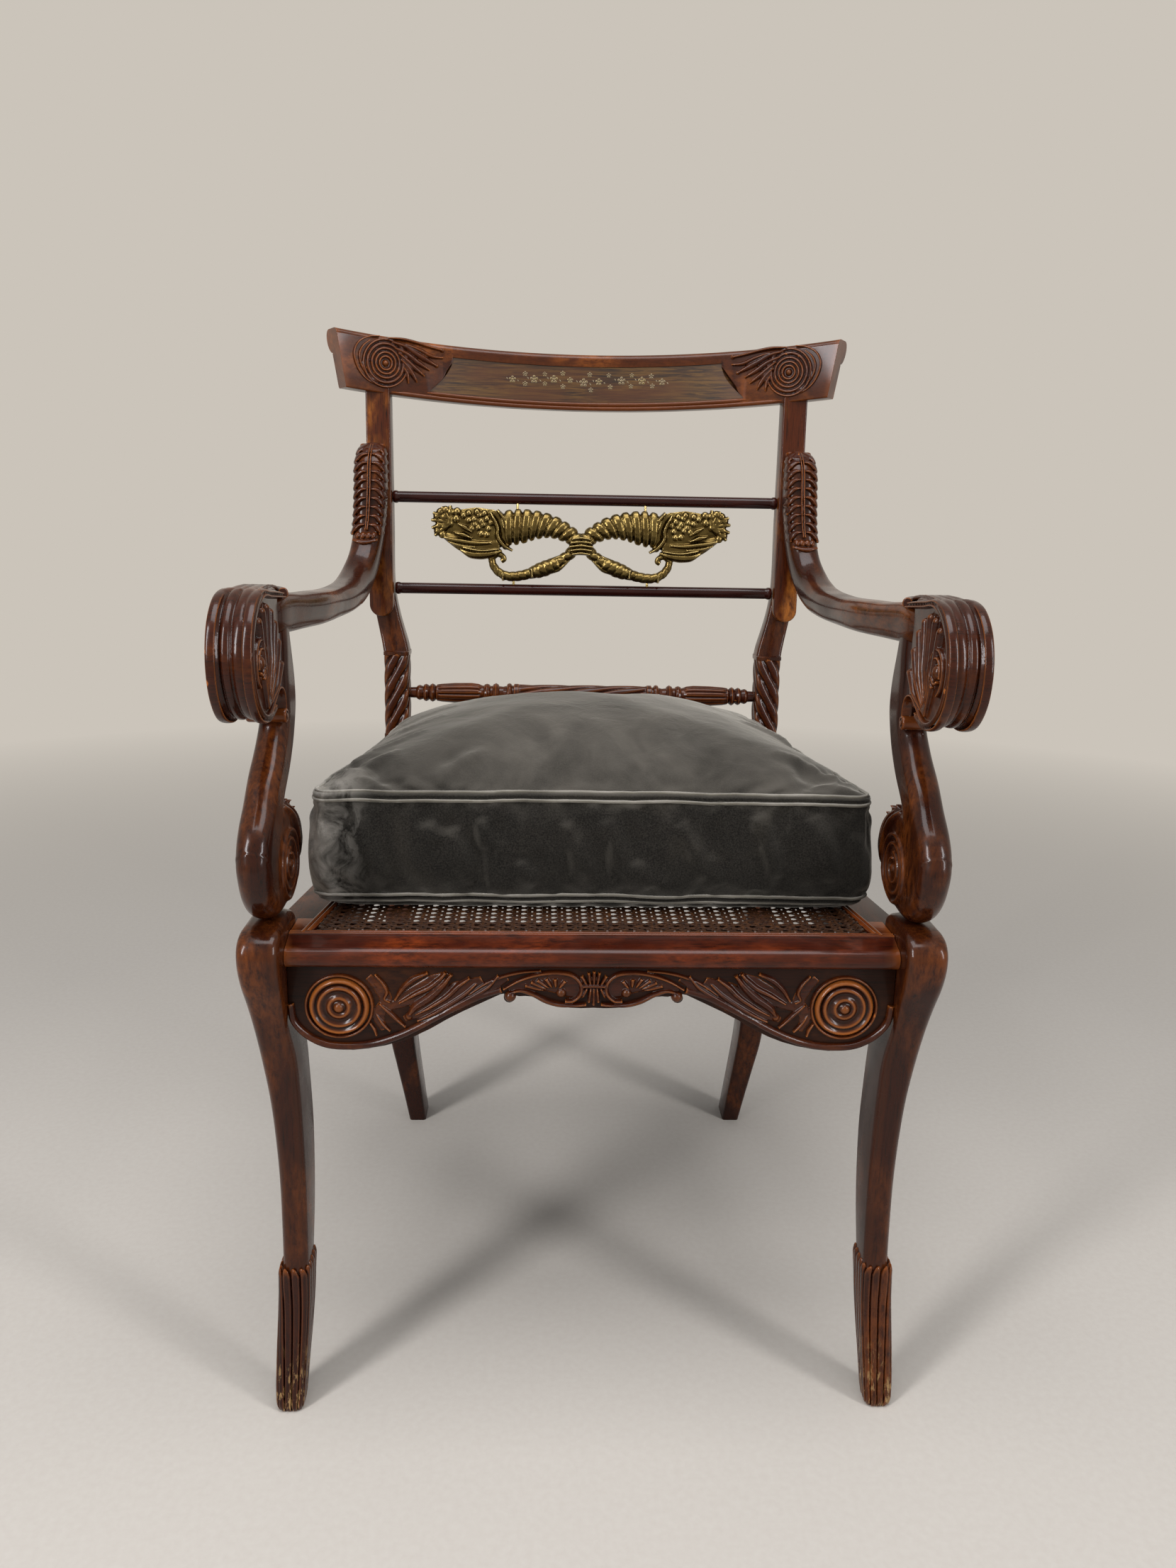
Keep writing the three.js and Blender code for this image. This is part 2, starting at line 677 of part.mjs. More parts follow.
function rearLeg(crestSolid) {
  const slice = (z, [, frontShare, backShare, innerShare, outerShare]) => ({
    z,
    x: [rearLegInner + rearLegWidth * innerShare, rearLegInner + rearLegWidth * outerShare],
    y: [rearLegFront + rearLegDepth * frontShare, rearLegFront + rearLegDepth * backShare],
  });
  const sabre = sabreShares.map((row) => slice(seatTop * row[0], row));
  const neck = neckShares.map((row) => slice(seatTop + (stileStart - seatTop) * row[0], row));
  const upper = [stileStart, stileTop].map((z) => ({
    z,
    x: [stileInner, stileInner + stileWidth],
    y: [facingFront + facingDepth / 2, stileBack],
  }));
  const leg = join(levelMember([...sabre, ...neck, ...upper], stileRounding), stileFacing());
  const shouldered = cut(leg, moved(crestSolid, 0, 0, -clearance));
  const holes = [
    block(grown(sideRearTenon)),
    block(grown(rearTenon)),
    rodSocket(upperRodHalf, upperRodY, upperRodHeight),
    rodSocket(lowerRodHalf, lowerRodY, lowerRodHeight),
    rodSocket(turnedRailHalf, turnedRailY, turnedRailHeight),
    ...screwHeights.map((height) => screw(height, clearance, overrun)),
  ];
  return cut(join(shouldered, block(crestMortise)), ...holes);
}

// Crest rail: a section swept round an arc, its middle lower than its ends
function crestSweep(section, halfBottom, halfTop, steps) {
  const rings = [];
  for (let i = 0; i <= steps; i++) {
    const u = (2 * i) / steps - 1;
    const drop = crestDip * (1 - (u * halfBottom / crestHalfBottom) ** 2);
    rings.push(section.map(([depth, height]) => {
      const half = halfBottom + ((halfTop - halfBottom) * height) / crestHeight;
      const angle = u * Math.asin(half / crestRadius);
      const radius = crestRadius + depth;
      return new THREE.Vector3(radius * Math.sin(angle), crestMiddle - crestRadius + radius * Math.cos(angle),
        crestBottom - drop + height);
    }));
  }
  return loft(rings);
}

function crestRail() {
  const rollShare = 0.38;
  const rollHeight = rollShare * crestHeight;
  const rollMiddle = crestHeight - rollHeight / 2;
  const body = crestSweep([
    [0, 0],
    [0, crestHeight - armEdge],
    [armEdge, crestHeight],
    [crestBoard, crestHeight],
    [crestRoll - armEdge, crestHeight - armEdge],
    [crestRoll, rollMiddle],
    [crestRoll - armEdge, crestHeight - rollHeight + armEdge],
    [crestBoard, crestHeight - rollHeight],
    [crestBoard, armEdge],
    [crestBoard - armEdge, 0],
  ], crestHalfBottom, crestHalfTop, crestSteps);
  const angle = Math.asin(crestRoundelX / crestRadius);
  const roundelDrop = crestDip * (1 - (crestRoundelX / crestHalfBottom) ** 2);
  const roundel = new THREE.CylinderGeometry(crestRoundelRadius, crestRoundelRadius,
    2 * crestRoundelRelief, 24);
  roundel.rotateZ(-angle).translate(crestRoundelX, crestMiddle - crestRadius + crestRadius * Math.cos(angle),
    crestBottom - roundelDrop + crestRoundelRise);
  return join(body, roundel, mirrorX(roundel));
}

function panelSection(front, back, looseness) {
  return [
    [front, panelBottom - looseness],
    [front, panelTop + looseness],
    [back, panelTop + looseness],
    [back, panelBottom - looseness],
  ];
}

// The panel's half length at any height, carried on to the crest rail's edges
const panelTaper = (panelHalfTop - panelHalfBottom) / (panelTop - panelBottom);
const panelFoot = panelHalfBottom - panelTaper * panelBottom;
const panelHead = panelFoot + panelTaper * crestHeight;

// Arms. Each row: shares of the run from volute to tip, of the rise, of the spread, of the arm's width
// and of its thickness
const armShares = [
  [0.1, 0.043, 1, 0.985, 1.12],
  [0.2, 0.038, 0.93, 0.96, 1.13],
  [0.297, 0.023, 0.78, 1, 1.03],
  [0.418, 0.011, 0.61, 1.03, 1],
  [0.563, 0, 0.537, 1.02, 0.93],
  [0.66, 0.005, 0.447, 1.03, 0.93],
  [0.732, 0.014, 0.42, 1, 0.96],
  [0.792, 0.032, 0.4, 0.98, 1.02],
  [0.87, 0.1, 0.34, 0.94, 1.1],
  [0.927, 0.24, 0.2, 0.9, 1.18],
  [0.956, 0.43, 0.09, 0.93, 1.22],
  [0.966, 0.66, 0.03, 0.98, 1.18],
  [0.976, 0.87, 0.02, 0.95, 0.95],
  [1, 1, 0, 0.8, 0.3],
];

function voluteOutline() {
  const top = voluteZ + voluteRadius;
  const heelShare = 0.64;
  const chinShare = 0.87;
  const outline = new THREE.Shape();
  outline.moveTo(voluteHeel, voluteZ - heelShare * voluteRadius);
  outline.lineTo(voluteHeel, top - voluteRim);
  outline.quadraticCurveTo(voluteHeel, top, voluteHeel - voluteRim, top);
  outline.lineTo(voluteY, top);
  outline.absarc(voluteY, voluteZ, voluteRadius, turn / 4, (5 / 6) * turn, false);
  outline.quadraticCurveTo(voluteHeel - voluteRim, voluteZ - chinShare * voluteRadius,
    voluteHeel, voluteZ - heelShare * voluteRadius);
  return outline;
}

function arm(stileSolid) {
  const limb = sweptMember(armShares.map(([run, rise, spread, widthShare, thicknessShare]) => ({
    at: [
      armRearX + (armFrontX - armRearX) * spread,
      voluteY + (armBack - voluteY) * run,
      armLow + (armTip - armLow) * rise,
    ],
    width: armWidth * widthShare,
    thickness: armThickness * thicknessShare,
  })), armRounding);
  const volute = sideBoard(voluteOutline(), voluteInner, voluteWidth, armEdge);
  const recessRadius = voluteRadius - voluteRim;
  const recess = (from, to) => barAcross(recessRadius, from, to, voluteY, voluteZ, 24);
  const eye = barAcross(voluteEye, voluteInner, voluteInner + voluteWidth, voluteY, voluteZ, 12);
  const outer = voluteInner + voluteWidth;
  const hollowed = cut(volute, recess(voluteInner - overrun, voluteInner + voluteRecess),
    recess(outer - voluteRecess, outer + overrun));
  const whole = join(hollowed, eye, limb);
  return cut(whole, moved(stileSolid, 0, -clearance, 0), armDowel(clearance),
    ...screwHeights.map((height) => screw(height, clearance, overrun)));
}

const armDowelShares = { across: 0.4, along: 0.8 };
const armDowelPlace = {
  x: supportInner + supportWidth * armDowelShares.across,
  y: supportFront + supportDepth * armDowelShares.along,
};

function armDowel(looseness) {
  return barUp(dowelRadius + looseness, supportTop - dowelLength / 2 - looseness,
    supportTop + dowelLength / 3 + looseness, armDowelPlace.x, armDowelPlace.y);
}

// Arm supports. Each row: height as a share of the support's height, front and back as shares of
// its depth, inner and outer face as shares of its width
const supportShares = [
  [0.155, 0.05, 0.55, 0, 1],
  [0.24, 0.005, 0.5, 0, 1],
  [0.305, 0.03, 0.48, 0, 1],
  [0.365, 0.1, 0.535, 0, 0.99],
  [0.432, 0.22, 0.62, 0, 0.97],
  [0.52, 0.355, 0.785, -0.02, 0.94],
  [0.605, 0.507, 0.895, -0.04, 0.885],
  [0.695, 0.625, 0.966, -0.058, 0.838],
  [0.752, 0.651, 0.996, -0.058, 0.83],
  [0.814, 0.662, 1, -0.05, 0.83],
  [0.886, 0.671, 0.979, -0.04, 0.83],
  [0.957, 0.684, 0.937, -0.04, 0.83],
  [1, 0.692, 0.895, -0.02, 0.81],
];

function scrollOutline() {
  const height = scrollTop - supportBottom;
  const depth = scrollBack - supportFront;
  const yAt = (share) => supportFront + depth * share;
  const zAt = (share) => supportBottom + height * share;
  const outlineShares = [
    [0.02, 0.76], [0, 0.6], [0.03, 0.42], [0.1, 0.23], [0.21, 0.08], [0.35, 0], [0.53, 0],
    [0.7, 0.05], [0.86, 0.18], [0.97, 0.38], [1, 0.57], [0.95, 0.77], [0.84, 0.92], [0.69, 0.99], [0.5, 1],
  ];
  const points = outlineShares.map(([along, up]) => new THREE.Vector2(yAt(along), zAt(up)));
  return new THREE.Shape(points);
}

function armSupport(armSolid) {
  const height = supportTop + armThickness / 2 - supportBottom;
  const fullHeight = supportTop - supportBottom;
  const slices = supportShares.map(([heightShare, frontShare, backShare, innerShare, outerShare]) => ({
    z: supportBottom + (heightShare < 1 ? fullHeight * heightShare : height),
    x: [supportInner + supportWidth * innerShare, supportInner + supportWidth * outerShare],
    y: [supportFront + supportDepth * frontShare, supportFront + supportDepth * backShare],
  }));
  const shaft = levelMember(slices, supportRounding);
  const scroll = sideBoard(scrollOutline(), supportInner, supportWidth, scrollEdge);
  const eyeY = scrollBack - scrollEyeRadius - scrollHub - scrollRecess;
  const eyeZ = (scrollTop + supportBottom) / 2;
  const recess = (from, to) => barAcross(scrollEyeRadius, from, to, eyeY, eyeZ, 18);
  const outer = supportInner + supportWidth;
  const body = cut(join(shaft, scroll), recess(supportInner - overrun, supportInner + scrollRecess),
    recess(outer - scrollRecess, outer + overrun));
  const hub = barAcross(scrollHub, supportInner, outer, eyeY, eyeZ);
  const kneeHole = barUp(dowelRadius + clearance, supportBottom - overrun,
    kneeTop + dowelLength / 2 + clearance, kneeDowel.x, kneeDowel.y);
  const roll = barAcross(rollRadius + clearance, rollInner - overrun, rollInner + rollLength + overrun,
    rollY, rollZ, 14);
  return cut(join(body, hub), moved(armSolid, 0, 0, -clearance), moved(armSolid, 0, clearance, 0),
    armDowel(clearance), kneeHole, roll);
}

// Apron outline, right half from the middle outwards: shares of the half length and of the depth
const apronShares = [
  [0, 0.48], [0.045, 0.486], [0.117, 0.466], [0.165, 0.4], [0.21, 0.345], [0.252, 0.345],
];
const apronLobeShares = [
  [0.293, 0.31], [0.353, 0.4], [0.46, 0.58], [0.569, 0.795], [0.67, 0.925], [0.785, 0.995],
  [0.855, 0.965], [0.94, 0.83], [1, 0.59],
];

const apronBeadShares = [0.278, 0.36];

function apron() {
  const top = frameBottom - clearance;
  const at = ([along, down]) => new THREE.Vector2(frontRailHalf * along, -top + apronDepth * down);
  const bead = at(apronBeadShares);
  const rightSide = [...apronShares, ...apronLobeShares].map(at);
  const leftSide = rightSide.slice(1).reverse().map((p) => new THREE.Vector2(-p.x, p.y));
  const outline = new THREE.Shape();
  outline.moveTo(frontRailHalf, -top);
  outline.lineTo(-frontRailHalf, -top);
  outline.lineTo(leftSide[0].x, leftSide[0].y);
  outline.splineThru([...leftSide.slice(1), ...rightSide]);
  const board = frontBoard(outline, apronFront, apronThickness);
  const ball = barBack(apronBead, apronFront, apronFront + apronThickness, bead.x, -bead.y, 12);
  return join(board, ball, mirrorX(ball));
}

// A front-view outline, drawn in X and downwards, given its thickness towards the back
function frontBoard(outline, front, thickness) {
  const options = { depth: thickness, bevelEnabled: false, curveSegments: 2 };
  const board = new THREE.ExtrudeGeometry(outline, options);
  return board.rotateX(-turn / 4).translate(0, front, 0);
}

// A turned roundel of concentric rings, lying against the apron
function apronRoundel() {
  const profileShares = [
    [0, 1], [0.16, 1], [0.3, 0.5], [0.46, 0.85], [0.66, 0.4], [0.86, 0.6], [1, 0.2], [1, 0],
  ];
  const profile = profileShares.map(([out, up]) =>
    new THREE.Vector2(apronRoundelRadius * out, apronRoundelThickness * up));
  profile.push(new THREE.Vector2(0, 0));
  const disc = new THREE.LatheGeometry(profile.reverse(), 16);
  disc.rotateX(turn / 2);
  return disc.translate(apronRoundelX, apronFront - clearance, frameBottom - apronRoundelDrop);
}

// Cane net: a flat sheet with square gaps inside a plain border
function caneNet() {
  const bottom = rebateFloor + clearance;
  const [front, back] = [caneFront + clearance, caneBack - clearance];
  const sheet = levelBoard(polygon([
    [-caneHalf(front) + clearance, front],
    [caneHalf(front) - clearance, front],
    [caneHalf(back) - clearance, back],
    [-caneHalf(back) + clearance, back],
  ]), bottom, caneThickness);
  const border = caneLap + netStrap;
  const rowStep = (back - front - 2 * border + netStrap) / netRows;
  const middleLine = netColumns / 2;
  const edge = (y, line) => ((line - middleLine) / middleLine) * (caneHalf(y) - border);
  const gaps = [];
  for (let row = 0; row < netRows; row++) {
    const y0 = front + border + row * rowStep;
    const y1 = y0 + rowStep - netStrap;
    for (let column = 0; column < netColumns; column++) {
      gaps.push(levelBoard(polygon([
        [edge(y0, column) + netStrap / 2, y0],
        [edge(y0, column + 1) - netStrap / 2, y0],
        [edge(y1, column + 1) - netStrap / 2, y1],
        [edge(y1, column) + netStrap / 2, y1],
      ]), bottom - overrun, caneThickness + 2 * overrun));
    }
  }
  return cut(sheet, ...gaps);
}

function caneBinding() {
  const corners = (inset) => {
    const [front, back] = [caneFront + inset, caneBack - inset];
    return [
      [-caneHalf(front) + inset, front],
      [caneHalf(front) - inset, front],
      [caneHalf(back) - inset, back],
      [-caneHalf(back) + inset, back],
    ];
  };
  const ring = polygon(corners(clearance));
  ring.holes.push(new THREE.Path(corners(clearance + bindingWidth).reverse()
    .map(([x, y]) => new THREE.Vector2(x, y))));
  return levelBoard(ring, rebateFloor + 2 * clearance + caneThickness, bindingHeight);
}

// Triangular glue blocks in the frame's corners, under the rails
function cornerBlock(cornerX, cornerY, towardsBack) {
  const side = towardsBack * blockSide;
  return levelBoard(polygon([
    [cornerX, cornerY],
    [cornerX - blockSide, cornerY],
    [cornerX, cornerY + side],
  ]), frameBottom - clearance - blockHeight, blockHeight);
}

// Brass ornament: two crossed horns of plenty. Rows for one horn: shares of the half width, of the
// height and of the ornament's thickness for the horn's radius
const hornShares = [
  [-0.5, 0.7, 1.5],
  [-0.4, 0.73, 1.25],
  [-0.28, 0.74, 0.95],
  [-0.15, 0.68, 0.68],
  [0, 0.58, 0.5],
  [0.13, 0.42, 0.42],
  [0.24, 0.27, 0.46],
  [0.33, 0.15, 0.34],
  [0.42, 0.065, 0.28],
  [0.5, 0.055, 0.25],
  [0.56, 0.14, 0.24],
  [0.565, 0.26, 0.27],
];
// Fruit and leaves: place and size as shares of the half width and the height
const fruitShares = [
  [-0.57, 0.72, 0.13, 0.33],
  [-0.7, 0.6, 0.13, 0.3],
  [-0.73, 0.84, 0.14, 0.2],
  [-0.85, 0.58, 0.12, 0.27],
  [-0.9, 0.78, 0.11, 0.23],
];

function ornament() {
  const height = ornamentTop - ornamentBottom;
  const xAt = (share) => ornamentHalf * share;
  const zAt = (share) => ornamentBottom + height * share;
  const line = new THREE.CatmullRomCurve3(hornShares.map(([x, z]) => new THREE.Vector3(xAt(x), 0, zAt(z))));
  const radii = new THREE.CatmullRomCurve3(hornShares.map(([, , r]) => new THREE.Vector3(r, 0, 0)));
  const back = new THREE.Vector3(0, 1, 0);
  const steps = 16;
  const sides = 7;
  const rings = [];
  for (let i = 0; i <= steps; i++) {
    const centre = line.getPoint(i / steps);
    const radius = radii.getPoint(i / steps).x * ornamentThickness;
    const out = new THREE.Vector3().crossVectors(line.getTangent(i / steps), back).normalize();
    const thick = Math.min(radius, ornamentThickness / 2);
    rings.push(Array.from({ length: sides }, (_, k) => {
      const angle = (turn * k) / sides;
      const point = centre.clone().addScaledVector(out, radius * Math.cos(angle));
      return point.addScaledVector(back, thick * Math.sin(angle));
    }));
  }
  const horn = loft(rings);
  const fruits = fruitShares.map(([x, z, wide, tall]) => {
    const lump = new THREE.IcosahedronGeometry(1, 1);
    lump.scale(ornamentHalf * wide, ornamentThickness / 2, height * tall);
    return lump.translate(xAt(x), 0, zAt(z));
  });
  const half = join(horn, ...fruits);
  const whole = moved(join(half, mirrorX(half)), ornamentX, ornamentY, 0);
  return cut(whole, ...pinPlaces.map((place) => ornamentPin(place, clearance)),
    rodSleeve(upperRodY, upperRodHeight), rodSleeve(lowerRodY, lowerRodHeight));
}

function rodSleeve(y, z) {
  return barAcross(rodRadius + clearance, ornamentX - ornamentHalf, ornamentX + ornamentHalf, y, z, 14);
}

const upperPinShare = 0.43;
const lowerPinShare = 0.455;
const pinPlaces = [-1, 1].flatMap((side) => [
  { side, x: ornamentX + side * ornamentHalf * upperPinShare, z: upperRodHeight - rodRadius, level: 'upper' },
  { side, x: ornamentX + side * ornamentHalf * lowerPinShare, z: lowerRodHeight + rodRadius, level: 'lower' },
]);

function ornamentPin({ x, z, level }, looseness) {
  const [down, up] = level === 'upper' ? [upperPinReach, pinBite] : [pinBite, pinBite + overrun / 2];
  const y = (level === 'upper' ? upperRodY : lowerRodY);
  return barUp(pinRadius + looseness, z - down - looseness, z + up + looseness, x, (y + ornamentY) / 2, 8);
}

// Back rods and turned rail
function rod(half, y, z) {
  const profile = [
    [0, rodRadius],
    [half - 2 * rodRingLength, rodRadius],
    [half - rodRingLength, rodRadius + rodRing],
    [half, rodRadius],
    [half, rodTip],
    [half + rodTipLength, rodTip],
    [half + rodTipLength, 0],
  ];
  const pins = pinPlaces.filter((place) => (place.level === 'upper') === (z === upperRodHeight));
  return cut(turnedAcross(profile, y, z, 12), ...pins.map((place) => ornamentPin(place, clearance)));
}

// Turned rail, right half from the middle: shares of its half length and of its greatest radius
const turnedRailShares = [
  [0, 0.86], [0.36, 0.86], [0.375, 1.08], [0.4, 1.08], [0.415, 0.8], [0.44, 1.05], [0.5, 0.8], [0.53, 1.1],
  [0.555, 0.85], [0.58, 0.8], [0.68, 1], [0.8, 0.9], [0.83, 0.75], [0.845, 1.05], [0.87, 1.05], [0.89, 0.75],
  [0.91, 0.95], [0.935, 0.95], [0.95, 0.6], [1, 0.6],
];

function turnedRail() {
  const profile = turnedRailShares.map(([along, out]) => [turnedRailHalf * along, turnedRailRadius * out]);
  profile.push([turnedRailHalf, rodTip]);
  profile.push([turnedRailHalf + rodTipLength, rodTip]);
  profile.push([turnedRailHalf + rodTipLength, 0]);
  return turnedAcross(profile, turnedRailY, turnedRailHeight, 10);
}

// Loose cushion, in rows from the underside's middle to the crown: share of the plan, share of the height
const cushionUnderShares = [[0.25, 0], [0.6, 0], [0.8, 0.12], [0.93, 0.5], [0.985, 0.85]];
const cushionBoxShares = [[1, 0], [0.985, 0.06], [0.99, 0.35], [0.99, 0.65], [0.985, 0.94], [1, 1]];
const cushionCrownShares = [[0.98, 0.1], [0.92, 0.22], [0.81, 0.4], [0.66, 0.61], [0.5, 0.79], [0.33, 0.92],
  [0.15, 0.99]];

// Plan of the cushion: rounded corners, with sides that draw in between them
function cushionPlan() {
  const arcSteps = 4;
  const sideSteps = 6;
  const corners = [
    { x: cushionHalfFront, y: cushionFront, radius: cushionFrontRadius, outX: 1, outY: -1 },
    { x: cushionHalfBack, y: cushionBack, radius: cushionBackRadius, outX: 1, outY: 1 },
    { x: -cushionHalfBack, y: cushionBack, radius: cushionBackRadius, outX: -1, outY: 1 },
    { x: -cushionHalfFront, y: cushionFront, radius: cushionFrontRadius, outX: -1, outY: -1 },
  ];
  const arcs = corners.map(({ x, y, radius, outX, outY }, quarter) => {
    const centre = new THREE.Vector2(x - outX * radius, y - outY * radius);
    return Array.from({ length: arcSteps + 1 }, (_, i) => {
      const angle = ((quarter - 1 + i / arcSteps) * turn) / 4;
      return centre.clone().add(new THREE.Vector2(Math.cos(angle), Math.sin(angle)).multiplyScalar(radius));
    });
  });
  const plan = [];
  arcs.forEach((arc, i) => {
    const next = arcs[(i + 1) % arcs.length][0];
    const last = arc.at(-1);
    const inward = new THREE.Vector2(last.y - next.y, next.x - last.x).normalize();
    plan.push(...arc);
    for (let k = 1; k < sideSteps; k++) {
      const along = k / sideSteps;
      const pull = 4 * cushionDrawIn * along * (1 - along);
      plan.push(last.clone().lerp(next, along).addScaledVector(inward, pull));
    }
  });
  return plan;
}

function cushion() {
  const plan = cushionPlan();
  const middle = (cushionFront + cushionBack) / 2;
  const boxHeight = cushionTopWelt - cushionBottomWelt;
  const rows = [
    ...cushionUnderShares.map(([s, up]) => [s, cushionRest + (cushionBottomWelt - cushionRest) * up]),
    ...cushionBoxShares.map(([s, up]) => [s, cushionBottomWelt + boxHeight * up]),
    ...cushionCrownShares.map(([s, up]) => [s, cushionTopWelt + cushionCrown * up]),
  ];
  return loft(rows.map(([share, z]) =>
    plan.map((p) => new THREE.Vector3(p.x * share, middle + (p.y - middle) * share, z))));
}

// Assembly
const crestBody = crestRail();
const recess = crestSweep(panelSection(-overrun, panelThickness + 2 * clearance, clearance),
  panelFoot + clearance, panelHead + clearance, crestSteps);
const crestSolid = cut(crestBody, recess);
const stileSolid = rearLeg(crestBody);
const armSolid = arm(stileSolid);

add('crest_rail', cut(crestSolid, block(grown(crestMortise)), mirrorX(block(grown(crestMortise)))), mahogany);
add('crest_panel', crestSweep(panelSection(clearance, clearance + panelThickness, 0), panelFoot, panelHead,
  crestSteps), rosewood);
addPair('rear_leg', stileSolid, mahogany);
addPair('front_leg', frontLeg(), mahogany);
add('upper_rod', rod(upperRodHalf, upperRodY, upperRodHeight), ebonised);
add('lower_rod', rod(lowerRodHalf, lowerRodY, lowerRodHeight), ebonised);
add('turned_rail', turnedRail(), mahogany);
add('ornament', ornament(), brass);
for (const place of pinPlaces) {
  const side = place.side < 0 ? 'left' : 'right';
  add(`ornament_pin_${place.level}_${side}`, ornamentPin(place, 0), brass);
}
addPair('arm', armSolid, mahogany);
addPair('arm_support', armSupport(armSolid), mahogany);
addPair('arm_roll', barAcross(rollRadius, rollInner, rollInner + rollLength, rollY, rollZ, 14), mahogany);
addPair('arm_dowel', armDowel(0), beech);
addPair('knee_dowel', barUp(dowelRadius, kneeTop - dowelLength / 2, kneeTop + dowelLength / 2, kneeDowel.x,
  kneeDowel.y), beech);
screwHeights.forEach((height, i) => addPair(`arm_screw_${i + 1}`, screw(height, 0, 0), steel));
add('front_rail', frontRail(), mahogany);
addPair('side_rail', sideRail(), mahogany);
add('rear_rail', rearRail(), mahogany);
add('front_apron', apron(), mahogany);
addPair('apron_roundel', apronRoundel(), mahogany);
addPair('front_block', cornerBlock(frontRailHalf, apronFront + apronThickness + clearance, 1), glueBlockWood);
addPair('rear_block', cornerBlock(rearRailHalf, rearRailFront - clearance, -1), glueBlockWood);
add('cane_panel', caneNet(), rattan);
add('cane_binding', caneBinding(), rattan);
add('seat_cushion', cushion(), velvet);

// The origin is under the middle of the chair's box, on the floor
const box = new THREE.Box3().setFromObject(chair);
chair.position.y = -(box.min.y + box.max.y) / 2;
chair.updateMatrixWorld(true);

export default chair;
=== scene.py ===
# %% [markdown]
# # A Regency scroll-arm chair
# A klismos chair is a chair whose legs sweep out like sabres and whose crest rail wraps the shoulders.
# This one is French-polished mahogany with a caned seat, a cast brass back ornament and a loose box
# cushion in velvet. The joinery is already there as CAD. These cells light it, polish it and carve it.
# Every length below is in millimetres in the maker's own frame, and one function turns it to metres.

# %% Load the frame
import json
import math
import bpy
import numpy as np
from mathutils import Matrix, Vector, noise

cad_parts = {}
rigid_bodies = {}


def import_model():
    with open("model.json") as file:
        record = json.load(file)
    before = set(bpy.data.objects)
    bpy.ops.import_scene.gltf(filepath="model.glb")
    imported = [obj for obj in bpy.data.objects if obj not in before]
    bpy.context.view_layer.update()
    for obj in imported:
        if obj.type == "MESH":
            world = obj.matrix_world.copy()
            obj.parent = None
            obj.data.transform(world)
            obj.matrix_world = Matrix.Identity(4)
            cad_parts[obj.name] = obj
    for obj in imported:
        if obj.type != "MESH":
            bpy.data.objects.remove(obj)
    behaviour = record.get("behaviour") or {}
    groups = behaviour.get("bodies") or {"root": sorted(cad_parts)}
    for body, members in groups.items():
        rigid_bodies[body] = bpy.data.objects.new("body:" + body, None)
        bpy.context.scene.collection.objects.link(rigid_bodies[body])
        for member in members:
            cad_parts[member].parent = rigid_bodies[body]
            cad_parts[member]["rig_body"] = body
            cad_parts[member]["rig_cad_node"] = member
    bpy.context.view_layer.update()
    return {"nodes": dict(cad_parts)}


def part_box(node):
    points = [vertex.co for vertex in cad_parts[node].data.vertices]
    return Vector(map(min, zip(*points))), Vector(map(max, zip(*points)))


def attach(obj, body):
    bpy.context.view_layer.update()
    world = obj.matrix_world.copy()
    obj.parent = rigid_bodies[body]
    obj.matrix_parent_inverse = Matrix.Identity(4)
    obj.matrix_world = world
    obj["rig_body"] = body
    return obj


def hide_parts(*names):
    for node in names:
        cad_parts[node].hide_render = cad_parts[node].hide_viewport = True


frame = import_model()
nodes = frame["nodes"]
MM = 0.001
NOSING_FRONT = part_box("front_rail")[0].y
print("chair nodes:", len(nodes), "  seat nosing at y", round(NOSING_FRONT, 4))

# %% The maker's frame
# x runs to the right, y back from the front of the seat nosing, z up from the floor.
def place(x, y, z):
    return Vector((x * MM, y * MM + NOSING_FRONT, z * MM))


def deselect():
    bpy.ops.object.select_all(action="DESELECT")


def pick(piece):
    deselect()
    piece.select_set(True)
    bpy.context.view_layer.objects.active = piece
    return piece


def finish_modifier(piece, kind, **settings):
    pick(piece)
    modifier = piece.modifiers.new(kind.title(), kind)
    for key, value in settings.items():
        setattr(modifier, key, value)
    bpy.ops.object.modifier_apply(modifier=modifier.name)
    return piece


def soften(piece, degrees=40):
    pick(piece)
    bpy.ops.object.shade_smooth_by_angle(angle=math.radians(degrees))
    return piece


def report(piece):
    triangles = sum(len(face.vertices) - 2 for face in piece.data.polygons)
    print(f"{piece.name}: {triangles} triangles")
    return piece


deselect()

# %% [markdown]
# ## The view
# A photographer stood a little left of the middle, with the lens just above the arms, and tipped it down.
# The camera repeats that place, and its lens is worked out from the focal length in picture widths.

# %% Camera
PICTURE_WIDTH = 1659
FOCAL_PIXELS = 1650.3
SENSOR_WIDTH = 36.0
CAMERA_PLACE = (-38.0, -831.0, 730.0)
CAMERA_PITCH = 0.2388
CAMERA_YAW = -0.0363
CAMERA_ROLL = 0.0188


